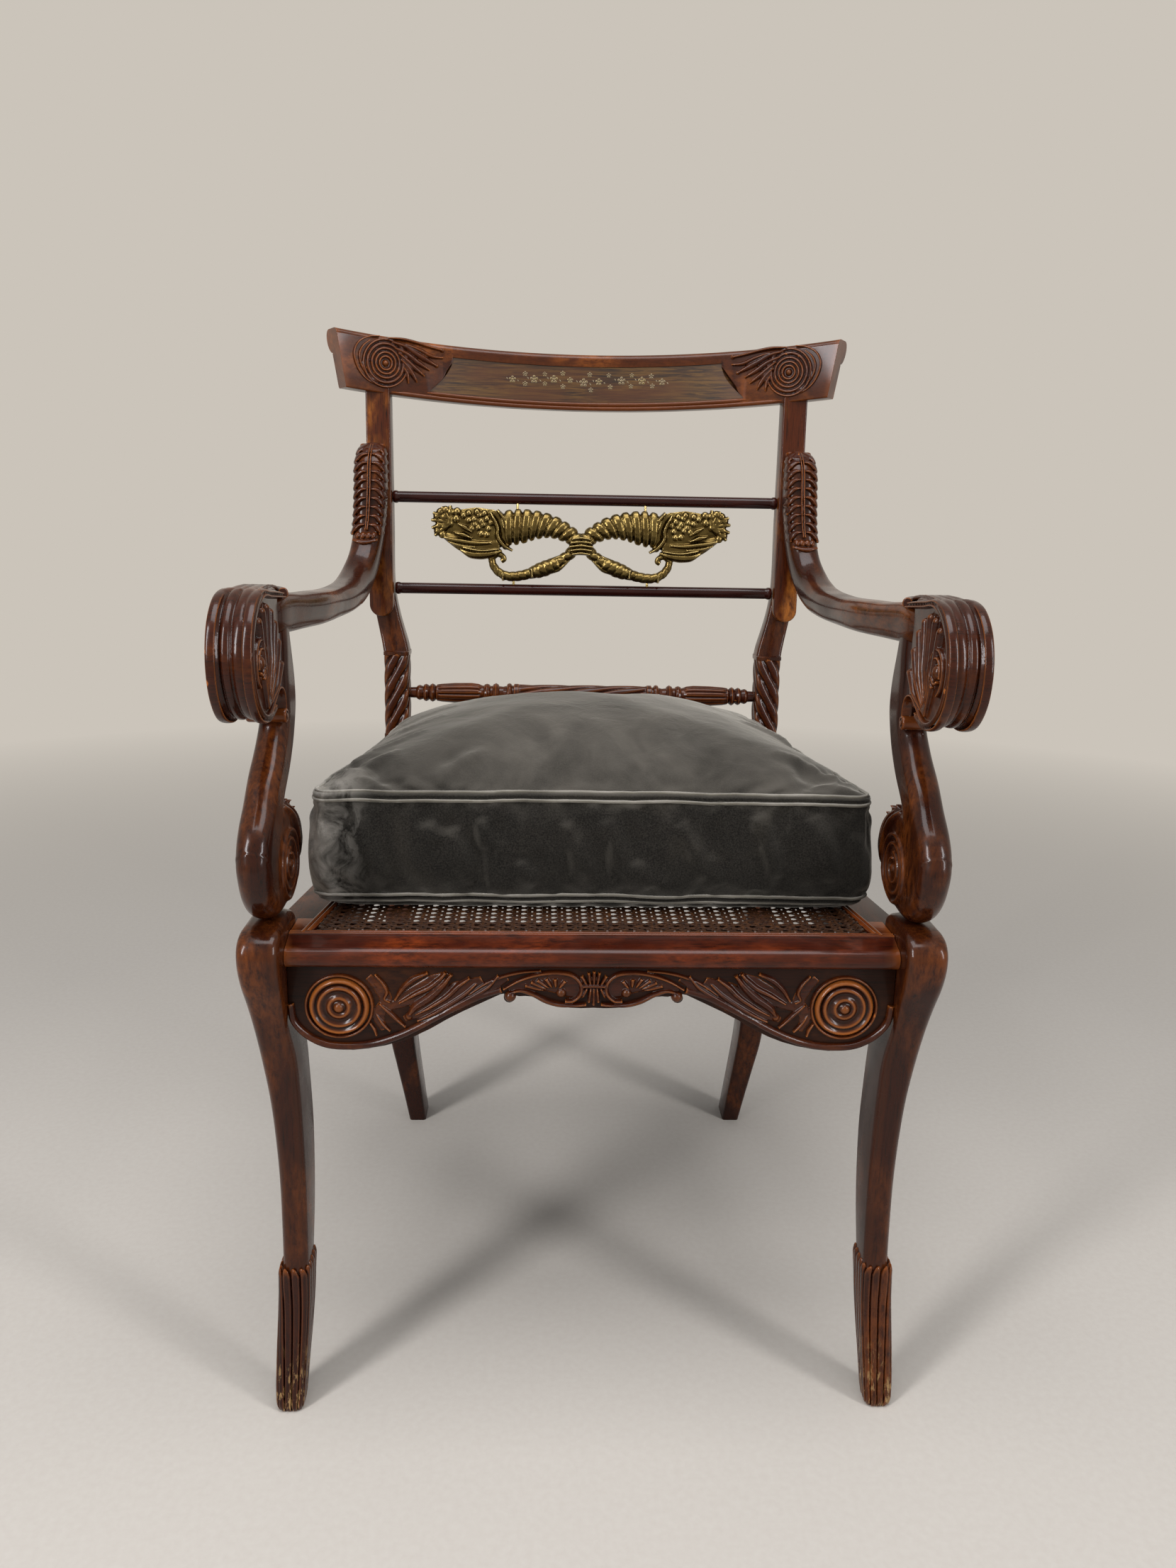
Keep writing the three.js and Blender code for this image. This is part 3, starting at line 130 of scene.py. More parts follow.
def aim_camera():
    lens = bpy.data.cameras.new("view_from_the_front")
    lens.sensor_fit = "HORIZONTAL"
    lens.sensor_width = SENSOR_WIDTH
    lens.lens = FOCAL_PIXELS / PICTURE_WIDTH * SENSOR_WIDTH
    lens.clip_start = 0.05
    camera = bpy.data.objects.new("view_from_the_front", lens)
    bpy.context.scene.collection.objects.link(camera)
    side = Vector((math.cos(CAMERA_YAW), math.sin(CAMERA_YAW), 0))
    level = Vector((-math.sin(CAMERA_YAW), math.cos(CAMERA_YAW), 0))
    forward = level * math.cos(CAMERA_PITCH) - Vector((0, 0, math.sin(CAMERA_PITCH)))
    upward = level * math.sin(CAMERA_PITCH) + Vector((0, 0, math.cos(CAMERA_PITCH)))
    right = side * math.cos(CAMERA_ROLL) + upward * math.sin(CAMERA_ROLL)
    top = upward * math.cos(CAMERA_ROLL) - side * math.sin(CAMERA_ROLL)
    turn = Matrix((right, top, -forward)).transposed().to_4x4()
    camera.matrix_world = Matrix.Translation(place(*CAMERA_PLACE)) @ turn
    bpy.context.scene.camera = camera
    return camera


camera = aim_camera()
print("lens", round(camera.data.lens, 2), "mm")

# %% [markdown]
# ## Colour and shader helpers
# Colours are written as on a paint card, in sRGB hex, and Blender wants them linear, so one function
# turns them. One more function adds a node with its settings and its links, which keeps the recipes short.

# %% Shader helpers
def colour(code):
    parts = [int(code[i:i + 2], 16) / 255 for i in (1, 3, 5)]
    linear = [c / 12.92 if c <= 0.04045 else ((c + 0.055) / 1.055) ** 2.4 for c in parts]
    return (*linear, 1.0)


def tune(node, values):
    """Sets values on a node's input sockets by name."""
    for socket, value in values.items():
        node.inputs[socket].default_value = value


def add(tree, kind, links=None, values=None, **settings):
    """Adds a shader node, sets its properties and socket values, and links its inputs."""
    node = tree.nodes.new(kind)
    for key, value in settings.items():
        setattr(node, key, value)
    tune(node, values or {})
    for socket, source in (links or {}).items():
        tree.links.new(source, node.inputs[socket])
    return node


def ramp(tree, source, stops):
    """A colour ramp over source, with stops of (position, hex colour)."""
    node = add(tree, "ShaderNodeValToRGB", {"Fac": source})
    band = node.color_ramp
    while len(band.elements) < len(stops):
        band.elements.new(0.5)
    for element, (position, code) in zip(band.elements, stops):
        element.position = position
        element.color = colour(code)
    return node.outputs["Color"]


def remap(tree, source, low, high, out_low=0.0, out_high=1.0):
    values = {"From Min": low, "From Max": high, "To Min": out_low, "To Max": out_high}
    return add(tree, "ShaderNodeMapRange", {"Value": source}, values).outputs["Result"]


def mixed(tree, factor, first, second, blend="MIX"):
    node = add(tree, "ShaderNodeMix", data_type="RGBA", blend_type=blend)
    for index, source in ((0, factor), (6, first), (7, second)):
        if isinstance(source, (int, float)):
            node.inputs[index].default_value = source
        elif isinstance(source, str):
            node.inputs[index].default_value = colour(source)
        else:
            tree.links.new(source, node.inputs[index])
    return node.outputs[2]


def new_material(name):
    material = bpy.data.materials.new(name)
    material.use_nodes = True
    tree = material.node_tree
    shader = tree.nodes["Principled BSDF"]
    return material, tree, shader


def pattern_space(tree, millimetres):
    """Object coordinates scaled so that one pattern cell has the given size, in one number or three."""
    coords = add(tree, "ShaderNodeTexCoord").outputs["Object"]
    scale = tuple(1 / (size * MM) for size in np.broadcast_to(millimetres, 3))
    return add(tree, "ShaderNodeMapping", {"Vector": coords}, {"Scale": scale}).outputs["Vector"]


def noise_of(tree, millimetres, detail=4.0, roughness=0.55, distortion=0.0):
    space = pattern_space(tree, millimetres)
    values = {"Scale": 1.0, "Detail": detail, "Roughness": roughness, "Distortion": distortion}
    return add(tree, "ShaderNodeTexNoise", {"Vector": space}, values).outputs["Fac"]


def bump(tree, height, millimetres, strength=1.0, under=None):
    links = {"Height": height}
    if under is not None:
        links["Normal"] = under
    values = {"Strength": strength, "Distance": millimetres * MM}
    return add(tree, "ShaderNodeBump", links, values).outputs["Normal"]

# %% [markdown]
# ## French-polished mahogany
# Shellac is rubbed on in many thin coats, so the wood is nearly black-red in the hollows where old
# wax sits, and worn to orange-brown where hands and light reach it. The recipe follows that: a dark
# ground with fine straight grain, large sun-faded patches, and a worn tint on convex edges.
# Grain runs along each board, so the pattern is stretched along one axis, and each axis is its own material.

# %% Mahogany in three grain directions
GRAIN_WIDTH = 1.6
GRAIN_LENGTH = 42.0
PORE_WIDTH = 0.55
PORE_LENGTH = 5.0
PATCH_SIZE = 62.0
BARE_WOOD = "#9c7c50"


def along(axis, across, length):
    return tuple(length if i == axis else across for i in range(3))


def polished_wood(name, axis, hollow="#0b0403", dark="#170804", body="#2f1106", faded="#6c3712",
                  fade=0.75, gloss=0.25, rubbed="#8a4a1e", wear=0.7, scuffed=0.0):
    material, tree, shader = new_material(name)
    grain = noise_of(tree, along(axis, GRAIN_WIDTH, GRAIN_LENGTH), 6.0, 0.6, 0.6)
    wood = ramp(tree, grain, [(0.3, dark), (0.55, body), (0.72, dark)])
    patches = noise_of(tree, along(axis, PATCH_SIZE, 2.2 * PATCH_SIZE), 3.0, 0.55, 0.8)
    flecks = noise_of(tree, along(axis, 4.5, 13.0), 5.0, 0.7)
    worn = remap(tree, patches, 0.46, 0.68)
    broken = remap(tree, flecks, 0.36, 0.62)
    share = add(tree, "ShaderNodeMath", {0: worn, 1: broken}, operation="MULTIPLY").outputs[0]
    scaled = add(tree, "ShaderNodeMath", {0: share}, {1: fade}, operation="MULTIPLY").outputs[0]
    wood = mixed(tree, scaled, wood, faded)
    if wear > 0:
        corner = add(tree, "ShaderNodeNewGeometry").outputs["Pointiness"]
        wood = mixed(tree, remap(tree, corner, 0.515, 0.58, 0.0, wear), wood, rubbed)
        wood = mixed(tree, remap(tree, corner, 0.49, 0.44, 0.0, 0.85), wood, hollow)
    if scuffed > 0:
        height = add(tree, "ShaderNodeSeparateXYZ", {0: add(tree, "ShaderNodeTexCoord").outputs["Object"]})
        low = remap(tree, height.outputs["Z"], scuffed * MM, 0.25 * scuffed * MM)
        chips = remap(tree, noise_of(tree, (3.2, 3.2, 15.0), 4.0, 0.7), 0.54, 0.6)
        bare = add(tree, "ShaderNodeMath", {0: low, 1: chips}, operation="MULTIPLY").outputs[0]
        wood = mixed(tree, bare, wood, BARE_WOOD)
    tree.links.new(wood, shader.inputs["Base Color"])
    pores = noise_of(tree, along(axis, PORE_WIDTH, PORE_LENGTH), 2.0, 0.5)
    smear = noise_of(tree, 38.0, 4.0, 0.6)
    dull = remap(tree, smear, 0.3, 0.75, gloss - 0.07, gloss + 0.12)
    tree.links.new(dull, shader.inputs["Roughness"])
    waves = bump(tree, noise_of(tree, (11.0, 11.0, 16.0), 2.0), 0.22, 0.35)
    tree.links.new(bump(tree, pores, 0.05, 0.4, waves), shader.inputs["Normal"])
    tune(shader, {"IOR": 1.5, "Specular IOR Level": 0.14, "Coat Weight": 0.28, "Coat Roughness": 0.09})
    return material


# Plain boards have few points, and wear on their edges would spread over whole faces, so they have none.
mahogany, board_mahogany = {}, {}
for number, (axis, way) in enumerate((("x", "across"), ("y", "front_to_back"), ("z", "upright"))):
    mahogany[axis] = polished_wood("mahogany_grain_" + way, number)
    board_mahogany[axis] = polished_wood("mahogany_board_" + way, number, wear=0)
# The apron's ground between carvings is darker, a painted shade that sets the relief off, and the cuffs are
# chipped to the bare wood near the floor.
shaded_ground_mahogany = polished_wood("mahogany_carved_ground_painted_shade", 0, dark="#100603", body="#240e05", faded="#41200b",
                                gloss=0.42, wear=0)
tune(shaded_ground_mahogany.node_tree.nodes["Principled BSDF"], {"Coat Weight": 0.08})
cuff_mahogany = polished_wood("mahogany_cuff_scuffed", 2, scuffed=62.0)
# The front rail lies in the cushion's shadow and was never bleached, the crest and the stiles' fronts were.
rail_mahogany = polished_wood("mahogany_front_rail_dark", 0, dark="#160602", body="#3a1206",
                              faded="#7d3412", gloss=0.3)
crest_mahogany = polished_wood("mahogany_crest_bleached", 0, body="#3a1708", faded="#8c4d1c", fade=1.0,
                               gloss=0.3)
facing_mahogany = polished_wood("mahogany_stile_front_bleached", 2, body="#4a1f0b", faded="#b06a28",
                                fade=1.0, wear=0)
# The carved faces hold more old wax and are rubbed brighter on their tops.
carved_mahogany = polished_wood("mahogany_carved_and_waxed", 0, "#080302", "#1b0a04", "#381508", "#70380f",
                                fade=0.55, gloss=0.26, rubbed="#a05c26", wear=1.0)
# The two rods are turned, stained almost black over red and rubbed to a high shine.
rod_polish = polished_wood("rod_ebonised_over_mahogany", 0, "#0c0404", "#160706", "#2a0c08", "#40150b",
                           fade=0.4, gloss=0.2, rubbed="#4a1c10", wear=0.5)
single_woods = (shaded_ground_mahogany, cuff_mahogany, rail_mahogany, crest_mahogany, facing_mahogany,
                carved_mahogany, rod_polish)
print("polished woods:", len(mahogany) + len(board_mahogany) + len(single_woods))

# %% [markdown]
# ## The other finishes
# The crest carries a rosewood panel, olive-brown with near-black streaks. The mount is cast brass that
# was once gilt: bright where it is rubbed and brown in the hollows. The screws are blued steel, the
# dowels beech, and the corner blocks pine stained by glue and dust.

# %% Rosewood panel
STREAK_WIDTH = 2.3
STREAK_LENGTH = 48.0


def rosewood_veneer():
    material, tree, shader = new_material("rosewood_veneer_faded_olive")
    streaks = noise_of(tree, (STREAK_LENGTH, 30.0, STREAK_WIDTH), 7.0, 0.68, 0.9)
    wood = ramp(tree, streaks, [(0.36, "#160b05"), (0.46, "#35200d"), (0.55, "#523816"), (0.7, "#64471d")])
    cloud = remap(tree, noise_of(tree, (70.0, 70.0, 22.0), 3.0), 0.4, 0.65, 0.0, 0.65)
    wood = mixed(tree, cloud, wood, "#47230d")
    tree.links.new(wood, shader.inputs["Base Color"])
    tune(shader, {"Roughness": 0.34, "Coat Weight": 0.3, "Coat Roughness": 0.16})
    tree.links.new(bump(tree, streaks, 0.08, 0.4), shader.inputs["Normal"])
    return material

# %% Brass, steel, beech and pine
def aged_brass(name, hollow="#150d05", ground="#5e4d2a", bright="#e6cd8c", rough=0.26):
    material, tree, shader = new_material(name)
    cloud = noise_of(tree, 16.0, 4.0, 0.6)
    metal = mixed(tree, remap(tree, cloud, 0.35, 0.7), ground, "#76653a")
    corner = add(tree, "ShaderNodeNewGeometry").outputs["Pointiness"]
    metal = mixed(tree, remap(tree, corner, 0.51, 0.6, 0.0, 0.85), metal, bright)
    metal = mixed(tree, remap(tree, corner, 0.5, 0.45, 0.0, 0.95), metal, hollow)
    tree.links.new(metal, shader.inputs["Base Color"])
    tune(shader, {"Metallic": 1.0})
    speck = noise_of(tree, 2.2, 3.0, 0.6)
    tree.links.new(remap(tree, speck, 0.3, 0.75, rough - 0.1, rough + 0.16), shader.inputs["Roughness"])
    tree.links.new(bump(tree, speck, 0.06, 0.4), shader.inputs["Normal"])
    return material


def plain_wood(name, axis, light, dark, rough):
    material, tree, shader = new_material(name)
    grain = noise_of(tree, along(axis, 1.3, 26.0), 5.0, 0.6)
    tree.links.new(ramp(tree, grain, [(0.35, dark), (0.62, light)]), shader.inputs["Base Color"])
    tune(shader, {"Roughness": rough})
    tree.links.new(bump(tree, grain, 0.08, 0.5), shader.inputs["Normal"])
    return material


def blued_steel():
    material, tree, shader = new_material("screw_steel_blued")
    brushed = noise_of(tree, (0.5, 4.0, 0.5), 3.0, 0.6)
    steel = ramp(tree, brushed, [(0.3, "#2c2a2a"), (0.7, "#55504d")])
    tree.links.new(steel, shader.inputs["Base Color"])
    tune(shader, {"Metallic": 1.0})
    tree.links.new(remap(tree, brushed, 0.3, 0.7, 0.35, 0.55), shader.inputs["Roughness"])
    return material


rosewood = rosewood_veneer()
brass = aged_brass("brass_cast_antique_gilt")
inlay_brass = aged_brass("brass_inlay_worn_flush", "#2b2118", "#6a5f50", "#8d8270", 0.5)
beech = plain_wood("beech_dowel_oiled", 2, "#b08a5c", "#8c6840", 0.6)
pine = plain_wood("pine_glue_block_dusty", 0, "#7a5936", "#54391f", 0.75)
steel = blued_steel()

# %% [markdown]
# ## Cane
# Cane is the skin of the rattan vine, split into strips about 2.7 mm wide. Its outside is glassy, and
# on this chair it has been stained dark to go with the frame, so it shines along each strip.

# %% Cane
def stained_cane():
    material, tree, shader = new_material("rattan_cane_stained_dark")
    fibres = noise_of(tree, 3.0, 4.0, 0.6)
    tone = ramp(tree, fibres, [(0.3, "#1d0e07"), (0.55, "#38200f"), (0.75, "#573519")])
    tree.links.new(tone, shader.inputs["Base Color"])
    tune(shader, {"Roughness": 0.42})
    tree.links.new(bump(tree, fibres, 0.05, 0.5), shader.inputs["Normal"])
    return material


cane = stained_cane()

# %% [markdown]
# ## Silk velvet
# A cut pile stands up from a woven ground. Seen straight on it swallows light, and at a shallow angle
# the tips of the pile glow, which is why every fold of velvet has a pale rim. The shader's sheen does
# that. The pile also lies in brushed patches, drawn here as soft clouds that are darker or paler. Faces
# that turn up, down or to the left are painted paler as well, a painted sheen for the light that falls on
# them, and the front left corner is paler, partly worn threads and partly painted sheen. The cords are a
# paler velvet, a painted highlight, and the pile itself (about 0.4 mm) is a fine bump, drawn three times
# coarser than life so that it shows.

# %% Velvet
PILE_GRAIN = 1.2
BRUSHED_PATCH = 75.0
PILE_TIPS = "#5f5b52"
# the pale front left corner, partly worn threads and partly painted sheen: where it starts on the left and in
# front, and how pale it is
PALE_WEAR_AND_SHEEN_EDGE = 172.0
PALE_WEAR_AND_SHEEN_FRONT = -82.0
PALE_WEAR_AND_SHEEN_TONE = "#e6e0d4"


def silk_velvet(name, tones, painted_sheen_tone):
    material, tree, shader = new_material(name)
    clouds = noise_of(tree, BRUSHED_PATCH, 4.0, 0.55, 1.2)
    pile = ramp(tree, clouds, list(zip((0.34, 0.52, 0.68), tones)))
    facing = add(tree, "ShaderNodeSeparateXYZ", {0: add(tree, "ShaderNodeTexCoord").outputs["Normal"]})
    # painted sheen: faces turned up, down or to the left are mixed towards a paler tone, in brushed patches,
    # for the light that falls on them
    upward = remap(tree, facing.outputs["Z"], 0.2, 0.97, 0.0, 0.75)
    leftward = remap(tree, facing.outputs["X"], -0.3, -0.95, 0.0, 0.75)
    downward = remap(tree, facing.outputs["Z"], -0.2, -0.8, 0.0, 0.45)
    sideward = add(tree, "ShaderNodeMath", {0: downward, 1: leftward}, operation="MAXIMUM").outputs[0]
    painted_sheen = add(tree, "ShaderNodeMath", {0: upward, 1: sideward}, operation="MAXIMUM").outputs[0]
    patchy = remap(tree, clouds, 0.35, 0.65, 0.6, 1.15)
    painted_sheen = add(tree, "ShaderNodeMath", {0: painted_sheen, 1: patchy}, operation="MULTIPLY").outputs[0]
    pile = mixed(tree, painted_sheen, pile, painted_sheen_tone)
    # the front left corner is mixed towards a near-white tone: partly worn threads, partly painted sheen
    where = add(tree, "ShaderNodeSeparateXYZ", {0: add(tree, "ShaderNodeTexCoord").outputs["Object"]})
    corner = remap(tree, where.outputs["X"], -PALE_WEAR_AND_SHEEN_EDGE * MM, -1.34 * PALE_WEAR_AND_SHEEN_EDGE * MM)
    near = remap(tree, where.outputs["Y"], PALE_WEAR_AND_SHEEN_FRONT * MM, 1.7 * PALE_WEAR_AND_SHEEN_FRONT * MM)
    corner = add(tree, "ShaderNodeMath", {0: corner, 1: near}, operation="MULTIPLY").outputs[0]
    blotch = remap(tree, noise_of(tree, 24.0, 4.0, 0.65, 0.8), 0.32, 0.6, 0.1, 0.8)
    both = add(tree, "ShaderNodeMath", {0: corner, 1: blotch}, operation="ADD").outputs[0]
    worn = remap(tree, both, 0.75, 1.85)
    wear_and_sheen = add(tree, "ShaderNodeMath", {0: worn, 1: corner}, operation="MULTIPLY").outputs[0]
    pile = mixed(tree, wear_and_sheen, pile, PALE_WEAR_AND_SHEEN_TONE)
    fibre = noise_of(tree, PILE_GRAIN, 2.0, 0.6)
    pile = mixed(tree, remap(tree, fibre, 0.35, 0.7, 0.0, 0.16), pile, PILE_TIPS)
    tree.links.new(pile, shader.inputs["Base Color"])
    tune(shader, {"Roughness": 0.92, "Specular IOR Level": 0.15, "Sheen Weight": 0.7,
                  "Sheen Roughness": 0.38, "Sheen Tint": colour("#e6e1d4")})
    brushed = noise_of(tree, 26.0, 4.0, 0.6, 1.5)
    soft = bump(tree, brushed, 1.6, 0.5)
    tree.links.new(bump(tree, fibre, 0.3, 0.6, soft), shader.inputs["Normal"])
    return material


velvet = silk_velvet("velvet_silk_charcoal", ("#080705", "#100e0b", "#1e1b16"), "#55514a")
# the cords: a paler velvet all over, a painted highlight for the light their edges catch
sheen_piping_velvet = silk_velvet("velvet_piping_painted_sheen", ("#4b473e", "#6a665b", "#87837a"), "#928e85")
print("velvet, cane, brass, rosewood, beech, pine and steel are ready")

# %% [markdown]
# ## Studio
# Two tall soft lamps stand left and right in front of the chair, and a wide one hangs above it. Their
# long reflections are what make French polish read as polish. The pale floor fades into a backdrop of the
# same colour, which is the world itself, so that there is no horizon and the chair looks right from behind.

# %% Floor, backdrop and lamps
BACKDROP_TONE = "#cbc4ba"
FLOOR_TONE = "#c3bdb4"
FLOOR_SPECK = "#c7c2b9"
SKY_TONE = "#f0f1f4"
SKY_STRENGTH = 0.26
FLOOR_HALF = 9000.0
FADE_FROM = 1000.0
FADE_TO = 2900.0


def seen_rays(tree):
    """1 for the rays that show the backdrop: straight, mirrored or passed through."""
    path = add(tree, "ShaderNodeLightPath").outputs
    mirrored = add(tree, "ShaderNodeMath", {0: path["Is Camera Ray"], 1: path["Is Glossy Ray"]},
                   operation="MAXIMUM")
    return add(tree, "ShaderNodeMath", {0: mirrored.outputs[0], 1: path["Is Transmission Ray"]},
               operation="MAXIMUM").outputs[0]


def pale_floor():
    bpy.ops.mesh.primitive_plane_add(size=2 * FLOOR_HALF * MM)
    floor = bpy.context.object
    floor.name = "studio_floor"
    material, tree, shader = new_material("painted_floor_pale")
    grain = noise_of(tree, 6.0, 3.0)
    tone = mixed(tree, remap(tree, grain, 0.3, 0.7), FLOOR_TONE, FLOOR_SPECK)
    tree.links.new(tone, shader.inputs["Base Color"])
    tune(shader, {"Roughness": 0.95, "Specular IOR Level": 0.1})
    spot = add(tree, "ShaderNodeTexCoord").outputs["Object"]
    distance = add(tree, "ShaderNodeVectorMath", {0: spot}, operation="LENGTH").outputs["Value"]
    far = remap(tree, distance, FADE_FROM * MM, FADE_TO * MM)
    faded = add(tree, "ShaderNodeMath", {0: far, 1: seen_rays(tree)}, operation="MULTIPLY").outputs[0]
    backdrop = add(tree, "ShaderNodeEmission", None, {"Color": colour(BACKDROP_TONE)}).outputs[0]
    both = add(tree, "ShaderNodeMixShader", {0: faded, 1: shader.outputs[0], 2: backdrop}).outputs[0]
    tree.links.new(both, tree.nodes["Material Output"].inputs["Surface"])
    floor.data.materials.append(material)
    return floor


def soft_lamp(name, spot, look_at, width, height, watts, tone="#fdfcff"):
    bpy.ops.object.light_add(type="AREA", location=place(*spot))
    lamp = bpy.context.object
    lamp.name = name
    lamp.data.shape = "RECTANGLE"
    lamp.data.size = width * MM
    lamp.data.size_y = height * MM
    lamp.data.energy = watts
    lamp.data.color = colour(tone)[:3]
    lamp.visible_camera = False
    aim = place(*look_at) - place(*spot)
    lamp.rotation_euler = aim.to_track_quat("-Z", "Y").to_euler()
    return lamp


pale_floor()
soft_lamp("key_left", (-1500, -1300, 1500), (0, 150, 480), 380, 1500, 37)
soft_lamp("fill_right", (1600, -1100, 1200), (0, 150, 450), 320, 1400, 21)
soft_lamp("overhead", (0, -200, 2300), (0, 200, 400), 1500, 1100, 28)
world = bpy.data.worlds.new("studio_air")
bpy.context.scene.world = world
world.use_nodes = True
air = world.node_tree
soft_light = air.nodes["Background"]
tune(soft_light, {"Color": colour(SKY_TONE), "Strength": SKY_STRENGTH})
shown = add(air, "ShaderNodeBackground", None, {"Color": colour(BACKDROP_TONE), "Strength": 1.0})
chosen = add(air, "ShaderNodeMixShader", {0: seen_rays(air), 1: soft_light.outputs[0], 2: shown.outputs[0]})
air.links.new(chosen.outputs[0], air.nodes["World Output"].inputs["Surface"])
bpy.context.scene.view_settings.view_transform = "Standard"
print("three soft lamps, a pale floor and a backdrop")

# %% [markdown]
# ## A carver's helpers
# Carving is made of few strokes: a reed that swells and tapers, a bead, a turned ring, a rounded board.
# Each helper below returns points and faces, several are put in one mesh, and a voxel remesh then melts
# them into each other and into their ground, as a gouge and a century of polish leave them.

# %% Smooth lines
def curve_through(rows, count):
    """count rows on a smooth line through the given rows, which hold a place and any sizes beside it."""
    rows = np.asarray(rows, float)
    rows = np.vstack([2 * rows[0] - rows[1], rows, 2 * rows[-1] - rows[-2]])
    gaps = np.maximum(np.linalg.norm(np.diff(rows, axis=0), axis=1), 1e-6) ** 0.5
    line = []
    for t in np.linspace(0, len(rows) - 3 - 1e-9, count):
        i = int(t) + 1
        u = t - int(t)
        before, span, after = gaps[i - 1:i + 2] if i + 2 <= len(gaps) else (gaps[i - 1], gaps[i], gaps[i])
        step = rows[i + 1] - rows[i]
        start = (rows[i] - rows[i - 1]) / before - (rows[i + 1] - rows[i - 1]) / (before + span) + step / span
        end = step / span - (rows[i + 2] - rows[i]) / (span + after) + (rows[i + 2] - rows[i + 1]) / after
        h = (2 * u**3 - 3 * u**2 + 1, u**3 - 2 * u**2 + u, -2 * u**3 + 3 * u**2, u**3 - u**2)
        line.append(h[0] * rows[i] + h[1] * start * span + h[2] * rows[i + 1] + h[3] * end * span)
    return np.array(line)


def whole_turn(count):
    return np.linspace(0, 2 * math.pi, count, endpoint=False)


def unit(vectors):
    return vectors / np.maximum(np.linalg.norm(vectors, axis=-1, keepdims=True), 1e-9)

# %% Skins
def skin(rings):
    """A closed skin through rings of points, with a flat cap on each end."""
    rings = np.asarray(rings, float)
    rows, count = rings.shape[:2]
    faces = []
    for r in range(rows - 1):
        low, high = r * count, (r + 1) * count
        faces += [(low + i, low + (i + 1) % count, high + (i + 1) % count, high + i) for i in range(count)]
    faces.append(tuple(range(count))[::-1])
    faces.append(tuple(range((rows - 1) * count, rows * count)))
    return rings.reshape(-1, 3), faces


def rounded_section(half_width, half_depth, rounding, steps=6):
    """A rectangle with rounded corners, as points (across, along) round its middle."""
    radius = min(rounding, 0.97 * half_width, 0.97 * half_depth)
    ring = []
    for quarter, (sx, sy) in enumerate(((1, 1), (-1, 1), (-1, -1), (1, -1))):
        for i in range(steps + 1):
            angle = (quarter + i / steps) * math.pi / 2
            ring.append((sx * (half_width - radius) + radius * math.cos(angle),
                         sy * (half_depth - radius) + radius * math.sin(angle)))
    return np.array(ring)


def flipped(part):
    """The same part on the other side of the chair."""
    points, faces = part
    return points * np.array([-1, 1, 1]), [face[::-1] for face in faces]


def sweep_reed(centres, widths, lifts, side=None, normal=None, around=10):
    """A reed along centres. Its section is an ellipse, widths wide across and lifts high off the ground."""
    centres = np.asarray(centres, float)
    tangent = unit(np.gradient(centres, axis=0))
    if normal is None:
        across = np.broadcast_to(np.asarray(side, float), centres.shape)
        upward = unit(np.cross(tangent, across))
    else:
        upward = np.broadcast_to(np.asarray(normal, float), centres.shape)
        across = unit(np.cross(tangent, upward))
    widths = np.broadcast_to(np.asarray(widths, float), len(centres))
    lifts = np.broadcast_to(np.asarray(lifts, float), len(centres))
    rings = []
    for k in range(around):
        angle = 2 * math.pi * k / around
        rings.append(centres + across * (widths * math.cos(angle) / 2)[:, None]
                     + upward * (lifts * math.sin(angle))[:, None])
    return skin(np.stack(rings, axis=1))


def new_piece(name, points, edges, faces):
    mesh = bpy.data.meshes.new(name)
    mesh.from_pydata(points, edges, faces)
    piece = bpy.data.objects.new(name, mesh)
    bpy.context.scene.collection.objects.link(piece)
    return pick(piece)


def build(name, parts):
    """One piece from several parts, each with its points and faces."""
    points, faces, base = [], [], 0
    for part_points, part_faces in parts:
        points.append(part_points)
        faces += [tuple(i + base for i in face) for face in part_faces]
        base += len(part_points)
    piece = new_piece(name, [place(*p) for p in np.vstack(points)], [], faces)
    bpy.ops.object.mode_set(mode="EDIT")
    bpy.ops.mesh.select_all(action="SELECT")
    bpy.ops.mesh.normals_make_consistent(inside=False)
    bpy.ops.object.mode_set(mode="OBJECT")
    return soften(piece)


def melt(piece, voxel, passes, keep):
    """Joins what overlaps into one skin, smooths it, and drops the faces that flat ground has no need of."""
    finish_modifier(piece, "REMESH", mode="VOXEL", voxel_size=voxel * MM, use_smooth_shade=True)
    finish_modifier(piece, "SMOOTH", factor=0.5, iterations=passes)
    finish_modifier(piece, "DECIMATE", ratio=keep)
    bpy.ops.object.shade_smooth()
    return piece


def cut_away(piece, cutter):
    finish_modifier(piece, "BOOLEAN", operation="DIFFERENCE", object=cutter, solver="EXACT")
    bpy.data.objects.remove(cutter)

# %% Strokes on a face
# A face is a function of (u, v, height) that gives the place in the chair, so that one stroke
# can be carved on a flat apron and on a curved crest rail alike.
def stroke(face, points, widths, lift, count=24, sink=1.0, around=10):
    """A reed along points (u, v) of a face. widths are spread along it, and its foot is sunk."""
    line = curve_through(points, count)
    spread = np.interp(np.linspace(0, 1, count), np.linspace(0, 1, len(widths)), widths)
    tangent = unit(np.gradient(line, axis=0))
    rings = []
    for (u, v), (tu, tv), width in zip(line, tangent, spread):
        ring = []
        for k in range(around):
            angle = 2 * math.pi * k / around
            off = width / 2 * math.cos(angle)
            rise = lift * math.sin(angle) * min(1.0, width / max(widths) + 0.35)
            ring.append(face(u + tv * off, v - tu * off, rise if rise > 0 else rise * sink))
        rings.append(ring)
    return skin(rings)


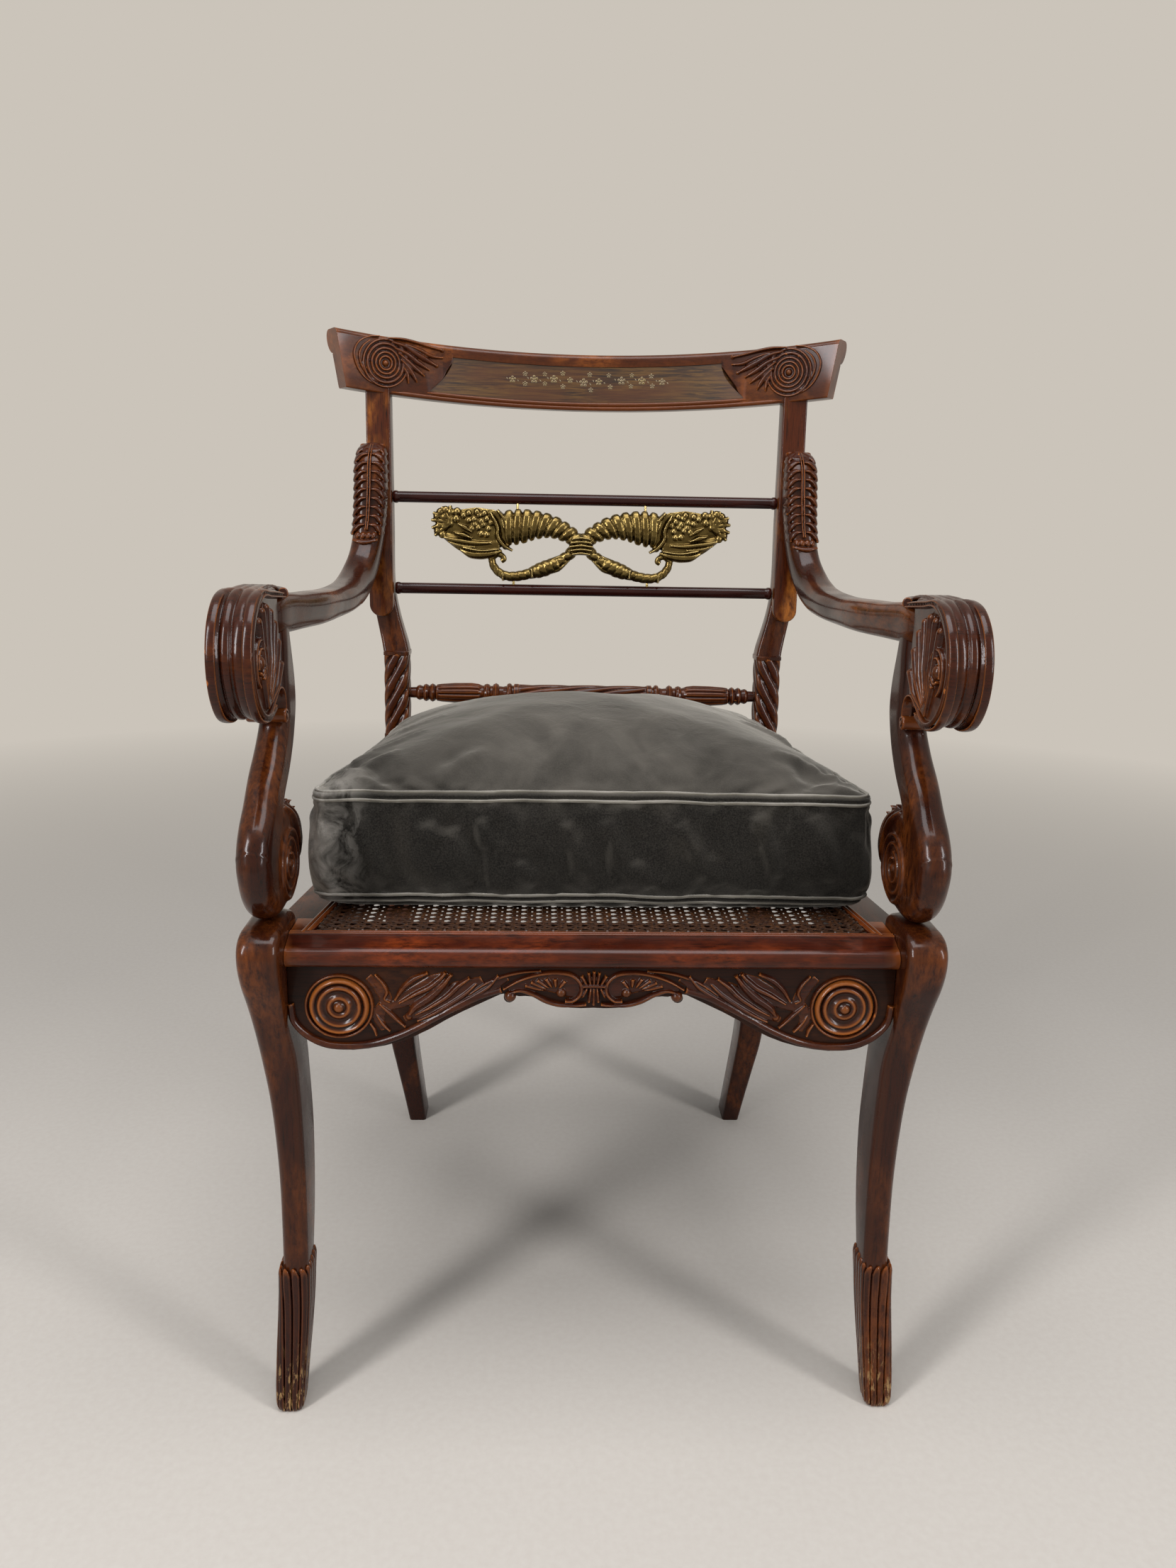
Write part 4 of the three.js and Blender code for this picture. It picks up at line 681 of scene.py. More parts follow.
def dome(face, centre, radius, height, stretch=1.0, rows=6, around=20, foot=1.5):
    """A bead or a boss on a face, radius wide along u and stretch times as wide along v."""
    rings = []
    for row in range(rows + 1):
        angle = math.pi / 2 * row / rows
        out, rise = radius * math.cos(angle) + 0.02, height * math.sin(angle)
        rings.append([face(centre[0] + out * math.cos(a), centre[1] + stretch * out * math.sin(a), rise)
                      for a in whole_turn(around)])
    base = [face(centre[0] + radius * math.cos(a), centre[1] + stretch * radius * math.sin(a), -foot)
            for a in whole_turn(around)]
    return skin([base] + rings)


def arc_points(centre, radius, start, end, count=9, grow=0.0, stretch=1.0):
    """Points on an arc in degrees, whose radius grows by grow from its start to its end."""
    turns = np.linspace(math.radians(start), math.radians(end), count)
    radii = radius + grow * np.linspace(0, 1, count)
    return [(centre[0] + r * math.cos(t), centre[1] + stretch * r * math.sin(t))
            for r, t in zip(radii, turns)]


def hoop(face, centre, radius, width, lift, stretch=1.0):
    return stroke(face, arc_points(centre, radius, 0, 360, 25, 0, stretch), [width, width], lift, 49)


print("carver's helpers are ready")

# %% [markdown]
# ## Dressing the plain timbers
# Rails, rods, blocks and pins already have their right shape. Each gets a merged copy, so that its faces
# share points, its sharp edges are broken by a small bevel as sandpaper breaks them, and its curves
# shade smoothly. The copy stands for the CAD solid, which is never changed.

# %% Copies with eased edges
EASED_EDGE = 0.8
SIDES = ("left", "right")


def merged_copy(node, name):
    pick(nodes[node])
    bpy.ops.object.duplicate()
    piece = bpy.context.object
    piece.name = name
    piece.data.name = name
    piece.parent = None
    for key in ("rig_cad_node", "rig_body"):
        if key in piece:
            del piece[key]
    piece.matrix_world = Matrix.Identity(4)
    piece.data.materials.clear()
    bpy.ops.object.mode_set(mode="EDIT")
    bpy.ops.mesh.select_all(action="SELECT")
    bpy.ops.mesh.remove_doubles(threshold=0.02 * MM)
    bpy.ops.mesh.dissolve_limited(angle_limit=math.radians(0.5))
    bpy.ops.object.mode_set(mode="OBJECT")
    return piece


def hand_over(piece, material, node, body="chair"):
    """Gives a finished piece its material and its body, and hides the CAD node that it stands for."""
    piece.data.materials.clear()
    piece.data.materials.append(material)
    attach(piece, body)
    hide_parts(node)
    return report(piece)


def dressed(node, material, edge=EASED_EDGE, segments=2, sharp=35):
    piece = merged_copy(node, node + "_polished")
    finish_modifier(piece, "BEVEL", width=edge * MM, segments=segments, limit_method="ANGLE",
                    angle_limit=math.radians(sharp), harden_normals=False, use_clamp_overlap=True)
    soften(piece, sharp)
    return hand_over(piece, material, node)


for side in SIDES:
    dressed("side_rail_" + side, board_mahogany["y"])
    dressed("front_block_" + side, pine, edge=1.2)
    dressed("rear_block_" + side, pine, edge=1.2)
dressed("rear_rail", board_mahogany["x"])
# the apron board takes the darker ground: painted shade round the carving
dressed("front_apron", shaded_ground_mahogany, edge=1.4, segments=3)

# %% The small hidden fixings keep their CAD shape
for word, finish in (("dowel", beech), ("screw", steel)):
    for name in sorted(nodes):
        if word in name:
            nodes[name].data.materials.clear()
            nodes[name].data.materials.append(finish)

# %% Pieces that come in pairs
def both_sides(name, parts, material, node, sharp=40, **melting):
    """Builds parts drawn for the right as one piece on each side. {} in a name stands for the side."""
    for side in SIDES:
        piece = build(name.format(side), parts if side == "right" else [flipped(part) for part in parts])
        if melting:
            melt(piece, **melting)
        else:
            soften(piece, sharp)
        hand_over(piece, material, node.format(side))

# %% [markdown]
# ## Sabre legs
# A sabre leg is sawn from a wide plank so that its curve follows one long sweep, then rounded with a
# spokeshave. Each row in the tables below is one level of the leg: its height, its front and back, and its
# inner and outer face. A smooth line is drawn through the rows, and rounded sections are skinned over it.

# %% Front legs
LEG_ROUNDING = 8.0
# where the shares start and what they are shares of: height, front to back, inner to outer
KNEE = ((0.0, 414.0), (-18.0, 73.0), (235.0, 32.0))
# height, front, back, inner, outer: shares of the knee
front_leg_rows = [
    (0.25, 0.25, 0.76, -0.22, 0.415), (0.276, 0.27, 0.76, -0.22, 0.415),
    (0.31, 0.295, 0.815, -0.22, 0.415), (0.375, 0.33, 0.94, -0.215, 0.425),
    (0.459, 0.365, 1.045, -0.205, 0.447), (0.543, 0.384, 1.1, -0.19, 0.5),
    (0.64, 0.384, 1.09, -0.16, 0.6), (0.725, 0.35, 1.07, -0.115, 0.735), (0.8, 0.26, 1.05, 0, 0.84),
    (0.845, 0.18, 1.03, 0, 0.905), (0.899, 0.055, 1, 0, 0.975), (0.937, 0, 1, 0, 1),
    (0.966, 0.007, 1, 0, 1), (0.983, 0.07, 0.985, 0.01, 0.985), (0.994, 0.165, 0.93, 0.05, 0.94),
    (1, 0.3, 0.85, 0.13, 0.85),
]
cuff_rows = [
    (0, 0.03, 0.35, -0.07, 0.565), (0.012, 0.01, 0.375, -0.1, 0.6), (0.036, 0.03, 0.405, -0.13, 0.62),
    (0.097, 0.09, 0.5, -0.18, 0.605), (0.16, 0.15, 0.61, -0.235, 0.57), (0.217, 0.2, 0.7, -0.27, 0.545),
    (0.272, 0.24, 0.79, -0.28, 0.53),
]


def level_line(rows, count, heights, depths, widths):
    """count levels (z, front, back, inner, outer) on a smooth line through rows of shares."""
    (bottom, height), (face, depth), (inside, width) = heights, depths, widths
    sized = [(bottom + height * z, face + depth * front, face + depth * back,
              inside + width * inner, inside + width * outer)
             for z, front, back, inner, outer in rows]
    return curve_through(sized, count)


def level_sections(levels, rounding, steps=6):
    rings = []
    for z, front, back, inner, outer in levels:
        ring = rounded_section((outer - inner) / 2, (back - front) / 2, rounding, steps)
        rings.append([((inner + outer) / 2 + u, (front + back) / 2 + v, z) for u, v in ring])
    return rings

# %% [markdown]
# ## Reeded cuffs
# Below its calf each front leg wears a cuff of sixteen reeds with rounded tops, cut with a V-tool and a
# small gouge. The cuff's section is a rounded rectangle whose outline is pinched in between the reeds.

# %% Cuffs
REED_COUNT = 16
REED_GROOVE = 2.0
REED_SCALLOP = 5.5


def reeded_ring(z, front, back, inner, outer, depth, scallop, shrink=0.0):
    ring = rounded_section((outer - inner) / 2 - shrink, (back - front) / 2 - shrink, 7.0 - shrink, 5)
    closed = np.vstack([ring, ring[:1]])
    run = np.concatenate([[0], np.cumsum(np.linalg.norm(np.diff(closed, axis=0), axis=1))])
    count = REED_COUNT * 10
    spots = np.linspace(0, run[-1], count, endpoint=False)
    u = np.interp(spots, run, closed[:, 0])
    v = np.interp(spots, run, closed[:, 1])
    phase = (np.arange(count) / 10 + 0.5) % 1.0
    edge = np.abs(2 * phase - 1)
    pinch = depth * edge ** 6
    out = unit(np.stack([np.gradient(v), -np.gradient(u)], axis=1))
    out *= np.sign(np.sum(out * np.stack([u, v], axis=1), axis=1))[:, None]
    lift = scallop * (1 - edge ** 2)
    return np.stack([(inner + outer) / 2 + u - out[:, 0] * pinch, (front + back) / 2 + v - out[:, 1] * pinch,
                     z + lift], axis=1)


def cuff():
    levels = level_line(cuff_rows, 30, *KNEE)
    rings = [reeded_ring(*row, REED_GROOVE, 0.0) for row in levels]
    rings[0] = reeded_ring(*levels[0], REED_GROOVE, 0.0, 1.2)
    last = levels[-1]
    for step, (rise, shrink) in enumerate(((1.2, 0.0), (2.2, 0.5), (2.8, 1.3), (2.9, 2.6))):
        raised = np.array(last) + np.array([rise, 0, 0, 0, 0])
        rings.append(reeded_ring(*raised, REED_GROOVE, REED_SCALLOP * min(1, 0.4 + 0.3 * step), shrink))
    return skin(rings)


leg_shape = skin(level_sections(level_line(front_leg_rows, 90, *KNEE), LEG_ROUNDING))
cuff_shape = cuff()
both_sides("front_leg_{}_polished", [leg_shape], mahogany["z"], "front_leg_{}")
both_sides("front_leg_{}_cuff", [cuff_shape], cuff_mahogany, "front_leg_{}", sharp=50)

# %% [markdown]
# ## Back legs and stiles
# Each back leg runs up past the seat as the stile of the back. Just above the seat it is carved as a
# twist of rope, and higher up a thicker facing with a rounded end is laid over its front.

# %% Back legs
STILE_TOP = 836.0
REAR_INNER = 186.0
STILE = ((0.0, STILE_TOP), (408.0, 30.0), (REAR_INNER, 27.0))
rear_leg_rows = [
    (0, 1.317, 2.5, -0.248, 0.47), (0.048, 0.967, 2.183, -0.137, 0.667),
    (0.096, 0.6, 1.867, -0.026, 0.874), (0.141, 0.267, 1.6, 0.067, 1.06),
    (0.18, 0.067, 1.433, 0.111, 1.119), (0.227, -0.1, 1.267, 0.137, 1.148),
    (0.287, -0.183, 1.1, 0.13, 1.137), (0.347, -0.183, 1, 0.093, 1.093),
    (0.407, -0.1, 0.967, 0.037, 1.037), (0.452, 0, 1, 0, 1), (0.485, 0, 1, 0, 1),
    (0.575, 0.03, 1.033, 0, 1),
]
stile_rows = [
    (0.675, 0.41, 1.2, 0, 1), (0.69, 0.5, 1.28, 0.1, 1.08), (0.706, 0.58, 1.3, 0.24, 1.185),
    (0.73, 0.63, 1.3, 0.43, 1.33), (0.76, 0.7, 1.3, 0.574, 1.481), (0.85, 0.7, 1.3, 0.574, 1.481),
    (1, 0.7, 1.3, 0.574, 1.481),
]
FACING_FRONT = 415.0
FACING_BOTTOM = 606.0
FACING_DEPTH = 14.0
FACING_LEAN = 7.0
FACING_TOP = 835.5
STILE_INNER = 201.5
STILE_WIDTH = 24.5


def facing():
    """The thicker front layer of the stile: a flat board whose lower end is a half round with a soft edge."""
    radius = STILE_WIDTH / 2
    middle = STILE_INNER + radius
    height = STILE_TOP - FACING_BOTTOM
    rings = []
    for depth, inset in ((FACING_DEPTH, 0.0), (1.3, 0.0), (0.5, 0.35), (0.1, 0.9), (0, 1.6)):
        ring = []
        for angle in np.linspace(math.pi, 2 * math.pi, 25):
            ring.append((middle + (radius - inset) * math.cos(angle),
                         FACING_BOTTOM + radius + (radius - inset) * math.sin(angle)))
        ring += [(middle + radius - inset, FACING_TOP), (middle - radius + inset, FACING_TOP)]
        rings.append([(x, FACING_FRONT + depth + FACING_LEAN * (z - FACING_BOTTOM) / height, z)
                      for x, z in ring])
    return skin(rings)

# %% Rope-twist columns
ROPE_BOTTOM = 478.0
ROPE_TOP = 566.0
ROPE_X = REAR_INNER + 13.5
ROPE_Y = 423.0
ROPE_HALF_WIDTH = 13.4
ROPE_HALF_DEPTH = 14.6
ROPE_DRIFT = 6.5
ROPE_STRANDS = 7
ROPE_TURNS = 0.62
ROPE_GROOVE = 2.6


def rope_column():
    """A rounded square column whose strands wind round it, leaning back as it climbs."""
    rings = []
    for share in np.linspace(0, 1, 60):
        z = ROPE_BOTTOM - 4 + (ROPE_TOP - ROPE_BOTTOM + 4) * share
        drift = max(0.0, (z - 480) / 88) ** 1.5 * ROPE_DRIFT
        ring = []
        for k in range(112):
            angle = 2 * math.pi * k / 112
            c, s = math.cos(angle), math.sin(angle)
            square = (abs(c) ** 5 + abs(s) ** 5) ** (-1 / 5)
            wave = abs(math.sin(ROPE_STRANDS * (angle + 2 * math.pi * ROPE_TURNS * share) / 2))
            groove = ROPE_GROOVE * (1 - wave) ** 1.6
            ring.append((ROPE_X + (ROPE_HALF_WIDTH * square - groove) * c,
                         ROPE_Y + drift + (ROPE_HALF_DEPTH * square - groove) * s, z))
        rings.append(ring)
    return skin(rings)


def collar_ring(z, height, drift):
    """The thin plain collar that ends the rope, with both its edges eased."""
    rings = [[(ROPE_X + u, ROPE_Y + drift + v, level) for u, v in rounded_section(w, d, 3.0, 4)]
             for level, w, d in ((z, 12.6, 13.9), (z + 0.6, 13.5, 14.8), (z + height - 0.6, 13.5, 14.8),
                                 (z + height, 12.9, 14.2))]
    return skin(rings)


lower_leg = skin(level_sections(level_line(rear_leg_rows, 70, *STILE), 3.5, 4))
upper_leg = skin(level_sections(level_line(stile_rows, 50, *STILE), 3.0, 4))
parts = [lower_leg, upper_leg, collar_ring(ROPE_TOP - 1.5, 4.5, ROPE_DRIFT)]
both_sides("rear_leg_{}_polished", parts, board_mahogany["z"], "rear_leg_{}")
both_sides("stile_facing_{}", [facing()], facing_mahogany, "rear_leg_{}", sharp=35)
both_sides("rope_column_{}", [rope_column()], carved_mahogany, "rear_leg_{}", sharp=60)

# %% [markdown]
# ## Scroll arms
# The arm leaves the stile under a carved leaf, dips in one lazy S, and ends in a volute. The limb is
# a swept member, so it is skinned over a line that carries its own width and thickness.

# %% Arm limbs
ARM_WIDTH = 33.0
ARM_THICKNESS = 28.0
ARM_LOW = 634.5
ARM_TIP = 779.0
ARM_BACK = 421.0
ARM_REAR_X = 219.0
ARM_FRONT_X = 252.3
VOLUTE_Y = 7.0
VOLUTE_Z = 618.5
VOLUTE_RADIUS = 47.0
VOLUTE_INNER = 236.0
VOLUTE_OUTER = 268.6
VOLUTE_HOLLOW = 4.0
# run, rise, spread, width, thickness: shares
arm_rows = [
    (0.1, 0.043, 1, 0.6, 0.9), (0.135, 0.042, 0.99, 0.9, 1.1), (0.2, 0.038, 0.93, 0.96, 1.13),
    (0.297, 0.023, 0.78, 1, 1.03), (0.418, 0.011, 0.61, 1.03, 1), (0.563, 0, 0.537, 1.02, 0.93),
    (0.66, 0.005, 0.447, 1.03, 0.93), (0.732, 0.014, 0.42, 1, 0.96), (0.792, 0.032, 0.4, 0.98, 1.02),
    (0.87, 0.1, 0.34, 0.94, 1.1), (0.927, 0.24, 0.2, 0.9, 1.18), (0.956, 0.43, 0.09, 0.93, 1.22),
    (0.966, 0.66, 0.03, 0.98, 1.18), (0.976, 0.87, 0.02, 0.95, 0.95), (1, 1, 0, 0.8, 0.3),
]


def arm_line(count):
    """Middle line of the arm from the volute to the tip, with its width and thickness beside it."""
    sized = [(ARM_REAR_X + (ARM_FRONT_X - ARM_REAR_X) * spread, VOLUTE_Y + (ARM_BACK - VOLUTE_Y) * run,
              ARM_LOW + (ARM_TIP - ARM_LOW) * rise, ARM_WIDTH * width, ARM_THICKNESS * thick)
             for run, rise, spread, width, thick in arm_rows]
    return curve_through(sized, count)


def swept_member(line, rounding, steps=6):
    middle = line[:, :3]
    tangent = unit(np.gradient(middle, axis=0))
    across = np.array([1.0, 0, 0])
    upward = unit(np.cross(tangent, across))
    rings = []
    for centre, up, (width, thickness) in zip(middle, upward, line[:, 3:5]):
        ring = rounded_section(width / 2, thickness / 2, rounding, steps)
        rings.append([centre + across * u + up * v for u, v in ring])
    return skin(rings)


limb_shape = swept_member(arm_line(90), 11.0)

# %% [markdown]
# ## Volutes
# Seen from the front the volute is a band of three broad reeds and a thin rim, rolled up like the end of
# a ribbon. Its inner face is hollowed and filled with a fan of seven leaves that springs from the lower
# edge, beside a small spiral eye. The band's reeds start from a lip on top of the arm.

# %% The rolled band
# inner and outer x of each reed, and how proud it stands
band_reeds = [(260.4, 268.6, 2.6), (252.3, 259.2, 2.4), (240.6, 251.2, 2.8), (236.0, 239.6, 2.2)]
LIP_Y = 84.0
LIP_TAPER = 0.55


def band_path(radius, count=64):
    """From the lip on the arm's top, over the front and under the volute, as (y, z)."""
    arc = arc_points((VOLUTE_Y, VOLUTE_Z), radius, 84, 292, 40)
    top = [(LIP_Y, 654.5), (LIP_Y - 7, 659.5 + radius - 45), (58, 662.5 + radius - 45),
           (34, 664.0 + radius - 45)]
    return curve_through(top + arc, count)


def reed_round(inner, outer, proud):
    """One reed of the band. Near the lip it narrows and leans towards the arm's middle."""
    path = band_path(VOLUTE_RADIUS - proud)
    swell = np.interp(np.linspace(0, 1, len(path)), (0, 0.05, 0.16, 1), (0.6, 0.85, 1, 1))
    middle = np.interp(np.linspace(0, 1, len(path)), (0, 0.2, 1), (LIP_TAPER, 0, 0))
    centre_x = (inner + outer) / 2
    x = centre_x + (ARM_FRONT_X - centre_x) * middle
    centres = np.stack([x, path[:, 0], path[:, 1]], axis=1)
    reach = (outer - inner) * (1 - 0.35 * middle) * swell
    return sweep_reed(centres, reach, proud * swell, side=(1, 0, 0), around=14)


def rounded_board(outline, inner, outer, radius, steps=6):
    """A board with the given outline in (y, z) whose edges are a full quarter round of radius."""
    outline = np.asarray(outline, float)
    tangent = unit(np.roll(outline, -1, axis=0) - np.roll(outline, 1, axis=0))
    outward = np.stack([tangent[:, 1], -tangent[:, 0]], axis=1)
    if np.sum(outward * (outline - outline.mean(axis=0))) < 0:
        outward = -outward
    rings = []
    turns = np.linspace(0, math.pi / 2, steps)
    edges = [(inner + radius * (1 - math.sin(t)), radius * (1 - math.cos(t))) for t in turns[::-1]]
    edges += [(outer - radius * (1 - math.sin(t)), radius * (1 - math.cos(t))) for t in turns]
    for x, inset in edges:
        rings.append([(x, y, z) for y, z in outline - outward * inset])
    return skin(rings)


def volute_core():
    """The drum of the volute with its heel against the support, hollowed on both faces."""
    radius = VOLUTE_RADIUS - 2.2
    arc = arc_points((VOLUTE_Y, VOLUTE_Z), radius, 90, 300, 44)
    outline = arc + [(44, 580), (54, 588), (56.5, 600), (56.5, 640), (56, 655), (50, 662), (30, 663.3)]
    return rounded_board(outline, VOLUTE_INNER + VOLUTE_HOLLOW, VOLUTE_OUTER - VOLUTE_HOLLOW, 1.5)

# %% The inner face of the volute
def inner_face(u, v, height):
    """u back, v up, height towards the sitter, over the hollow's floor."""
    return (VOLUTE_INNER + VOLUTE_HOLLOW - height, u, v)


def outer_face(u, v, height):
    return (VOLUTE_OUTER - VOLUTE_HOLLOW + height, u, v)


FAN_ROOT = (6.0, 579.5)
fan_tips = [(-14, 645), (-3, 651), (9.5, 652.5), (22, 648), (33.5, 638.5), (42, 624), (48, 607)]
VOLUTE_EYE = (-13.5, 615.0)


def fan(face):
    parts = []
    for k, (y, z) in enumerate(fan_tips):
        bow = (k - 3) * 1.3
        mid = ((FAN_ROOT[0] + y) / 2 + bow + 2.0, (FAN_ROOT[1] + z) / 2 - 1.0)
        near = (0.88 * y + 0.12 * mid[0] + 0.5, 0.9 * z + 0.1 * mid[1])
        parts.append(stroke(face, [FAN_ROOT, mid, near, (y, z)], [1.6, 3.4, 6.2, 6.6, 2.2], 4.8, 22))
        parts.append(dome(face, (y, z - 1.0), 3.2, 4.6, 1.0, 5, 14))
    outer_coil = arc_points(VOLUTE_EYE, 15.5, 250, -60, 15, -3.0, 1.15)
    parts.append(stroke(face, outer_coil, [2.2, 3.2, 3.2, 2.6], 4.2, 36))
    inner_coil = arc_points(VOLUTE_EYE, 9.6, 200, -130, 13, -2.5, 1.15)
    parts.append(stroke(face, inner_coil, [2.0, 2.8, 2.6], 4.6, 30))
    parts.append(dome(face, VOLUTE_EYE, 4.6, 5.4, 1.25))
    rim = [(70, 654), (50, 655.8), (26, 658.0), (4, 660.2), (-14, 655.0), (-29, 642.5), (-37.0, 622.0),
           (-34.0, 600.0), (-21.0, 583.5), (-4.0, 576.0), (10.0, 576.5), (24.0, 584.0), (38.0, 589.5),
           (49.0, 586.5), (54.0, 579.0), (54.5, 570.0)]
    parts.append(stroke(face, rim, [2.0, 3.0, 3.0, 3.0, 2.4], 4.2, 90))
    outer = [(66, 657), (44, 659.5), (22, 661.6), (4, 663.6), (-17, 659.0), (-34, 644.5), (-42.0, 622.0),
             (-38.5, 597.0), (-23.5, 578.5), (-4.0, 571.5), (12.0, 571.8), (27.0, 578.5)]
    parts.append(stroke(face, outer, [2.0, 2.6, 2.6, 2.2], 3.6, 80))
    return parts


lip_line = [
    (239, 72, 656.5), (243, 81, 656.5), (248, 86.5, 656.5), (253, 88, 656.5), (258, 86.5, 656.5),
    (263, 81, 656.5), (266, 72, 656.5),
]
lip = sweep_reed(curve_through(lip_line, 30), [8.0] * 30, 4.4, normal=(0, 0, 1), around=12)
volute_shape = [lip, volute_core()] + fan(inner_face) + fan(outer_face)
volute_shape += [reed_round(*row) for row in band_reeds]
both_sides("arm_{}_limb", [limb_shape], mahogany["y"], "arm_{}")
both_sides("arm_{}_volute", volute_shape, carved_mahogany, "arm_{}", voxel=0.62, passes=3, keep=0.45)

# %% [markdown]
# ## Arm supports
# Each arm stands on an S-shaped support, thick and round in front like a bolster. Its foot is a
# scroll with a fan of reeds over its shoulder and a spiral on each side. The shaft and the scroll are
# one plank on the real chair, so here too they are melted into one skin.

# %% Supports
SUPPORT_TOP = 624.0
SUPPORT_BOTTOM = 414.3
SUPPORT_FRONT = -20.0
SUPPORT_DEPTH = 118.5
SUPPORT_INNER = 238.0
SUPPORT_WIDTH = 26.0
SUPPORT = ((SUPPORT_BOTTOM, SUPPORT_TOP - SUPPORT_BOTTOM), (SUPPORT_FRONT, SUPPORT_DEPTH),
           (SUPPORT_INNER, SUPPORT_WIDTH))
SCROLL_BACK = 96.0
SCROLL_TOP = 497.0
SCROLL_ROUND = 12.4
SCROLL_EYE = (47.0, 450.0)
# height, front, back, inner, outer: shares
support_rows = [
    (0.12, 0.09, 0.6, 0.06, 0.94), (0.155, 0.05, 0.55, 0, 1), (0.24, 0.005, 0.5, 0, 1),
    (0.305, 0.03, 0.48, 0, 1), (0.365, 0.1, 0.535, 0, 0.99), (0.432, 0.22, 0.62, 0, 0.97),
    (0.52, 0.355, 0.785, -0.02, 0.94), (0.605, 0.507, 0.895, -0.04, 0.885),
    (0.695, 0.625, 0.966, -0.058, 0.838), (0.752, 0.651, 0.996, -0.058, 0.83),
    (0.814, 0.662, 1, -0.05, 0.83), (0.886, 0.671, 0.979, -0.04, 0.83),
    (0.957, 0.684, 0.937, -0.04, 0.83), (1.06, 0.692, 0.895, -0.02, 0.81),
]
scroll_shares = [
    (0.02, 0.76), (0, 0.6), (0.03, 0.42), (0.1, 0.23), (0.21, 0.08), (0.35, 0), (0.53, 0), (0.7, 0.05),
    (0.86, 0.18), (0.97, 0.38), (1, 0.57), (0.95, 0.77), (0.84, 0.92), (0.69, 0.99), (0.5, 1),
    (0.25, 0.92),
]


def scroll_line():
    height = SCROLL_TOP - SUPPORT_BOTTOM
    depth = SCROLL_BACK - SUPPORT_FRONT
    outline = [(SUPPORT_FRONT + depth * run, SUPPORT_BOTTOM + height * up) for run, up in scroll_shares]
    return curve_through(outline + outline[:1], 160)[:-1]


scroll_outline = scroll_line()
shoulder_reeds = [(53, 495.5), (64.5, 496), (76, 493), (86, 485.5), (93.5, 475), (97.5, 462.5)]


def scroll_relief(face):
    parts = [hoop(face, SCROLL_EYE, 27.0, 4.4, 3.4), hoop(face, SCROLL_EYE, 20.0, 3.8, 3.2)]
    parts += [stroke(face, arc_points(SCROLL_EYE, 14.0, 90, 450, 15, -6.0), [2.6, 3.4, 3.0], 3.4, 44),
              dome(face, SCROLL_EYE, 4.2, 4.2)]
    for y, z in shoulder_reeds:
        share = (y - 38) / 60
        end = (86 + 4.0 * share, 438 - 3.0 * share)
        mid = (0.45 * y + 0.55 * end[0] + 3.0 * (1 - share), 0.5 * (z + end[1]) + 8.0 * (1 - share))
        parts.append(stroke(face, [(y, z), mid, end], [6.5, 7.4, 4.6, 1.8], 4.0, 20))
    return parts


def fallen(u, v):
    """How far the scroll's rounded edge has fallen away from its flat side at (y, z)."""
    depth = min(SCROLL_ROUND, float(np.min(np.hypot(*(scroll_outline - (u, v)).T))))
    return SCROLL_ROUND - math.sqrt(SCROLL_ROUND ** 2 - (SCROLL_ROUND - depth) ** 2)


def scroll_inner(u, v, height):
    return (SUPPORT_INNER + 0.5 + fallen(u, v) - height, u, v)


def scroll_outer(u, v, height):
    return (SUPPORT_INNER + SUPPORT_WIDTH - 0.5 - fallen(u, v) + height, u, v)


scroll_foot = rounded_board(scroll_outline, SUPPORT_INNER, SUPPORT_INNER + SUPPORT_WIDTH, SCROLL_ROUND, 9)
shaft = skin(level_sections(level_line(support_rows, 70, *SUPPORT), SCROLL_ROUND, 8))
support_shape = [shaft, scroll_foot] + scroll_relief(scroll_inner) + scroll_relief(scroll_outer)
both_sides("arm_support_{}_carved", support_shape, mahogany["z"], "arm_support_{}",
           voxel=0.85, passes=7, keep=0.5)

# %% [markdown]
# ## Turned work
# The roll under each volute, the two rods and the rosettes come off a lathe. A lathe has its own
# operator: a half profile is drawn as a line of points and spun round its axis.

# %% A small lathe
LATHE_STEPS = 48


def lathe(name, profile, centre, axis):
    """Spins a profile of (distance along the axis, radius) round an axis through centre."""
    step = {"x": lambda along, out: (along, 0, out), "y": lambda along, out: (0, along, out)}[axis]
    points = [place(*(np.array(centre) + step(along, out))) for along, out in profile]
    piece = new_piece(name, points, [(i, i + 1) for i in range(len(points) - 1)], [])
    bpy.ops.object.mode_set(mode="EDIT")
    bpy.ops.mesh.select_all(action="SELECT")
    turn_axis = (1, 0, 0) if axis == "x" else (0, 1, 0)
    bpy.ops.mesh.spin(steps=LATHE_STEPS, angle=2 * math.pi, center=place(*centre), axis=turn_axis)
    bpy.ops.mesh.select_all(action="SELECT")
    bpy.ops.mesh.remove_doubles(threshold=0.01 * MM)
    bpy.ops.mesh.normals_make_consistent(inside=False)
    bpy.ops.object.mode_set(mode="OBJECT")
    return soften(piece, 50)

# %% Rolls, rods and rosettes
roll_profile = [
    (0, 0), (0, 1.6), (0.6, 2.2), (0.9, 3.4), (0.3, 3.9), (0.3, 4.7), (0.9, 5.4), (2, 5.5), (29, 5.5),
    (30.4, 5.1), (31, 4.2), (31, 0),
]
for side, sign in (("left", -1), ("right", 1)):
    profile = [(sign * (235.5 + along), out) for along, out in roll_profile]
    roll = lathe("arm_roll_" + side + "_turned", profile, (0, 53.0, 566.0), "x")
    hand_over(roll, mahogany["x"], "arm_roll_" + side)

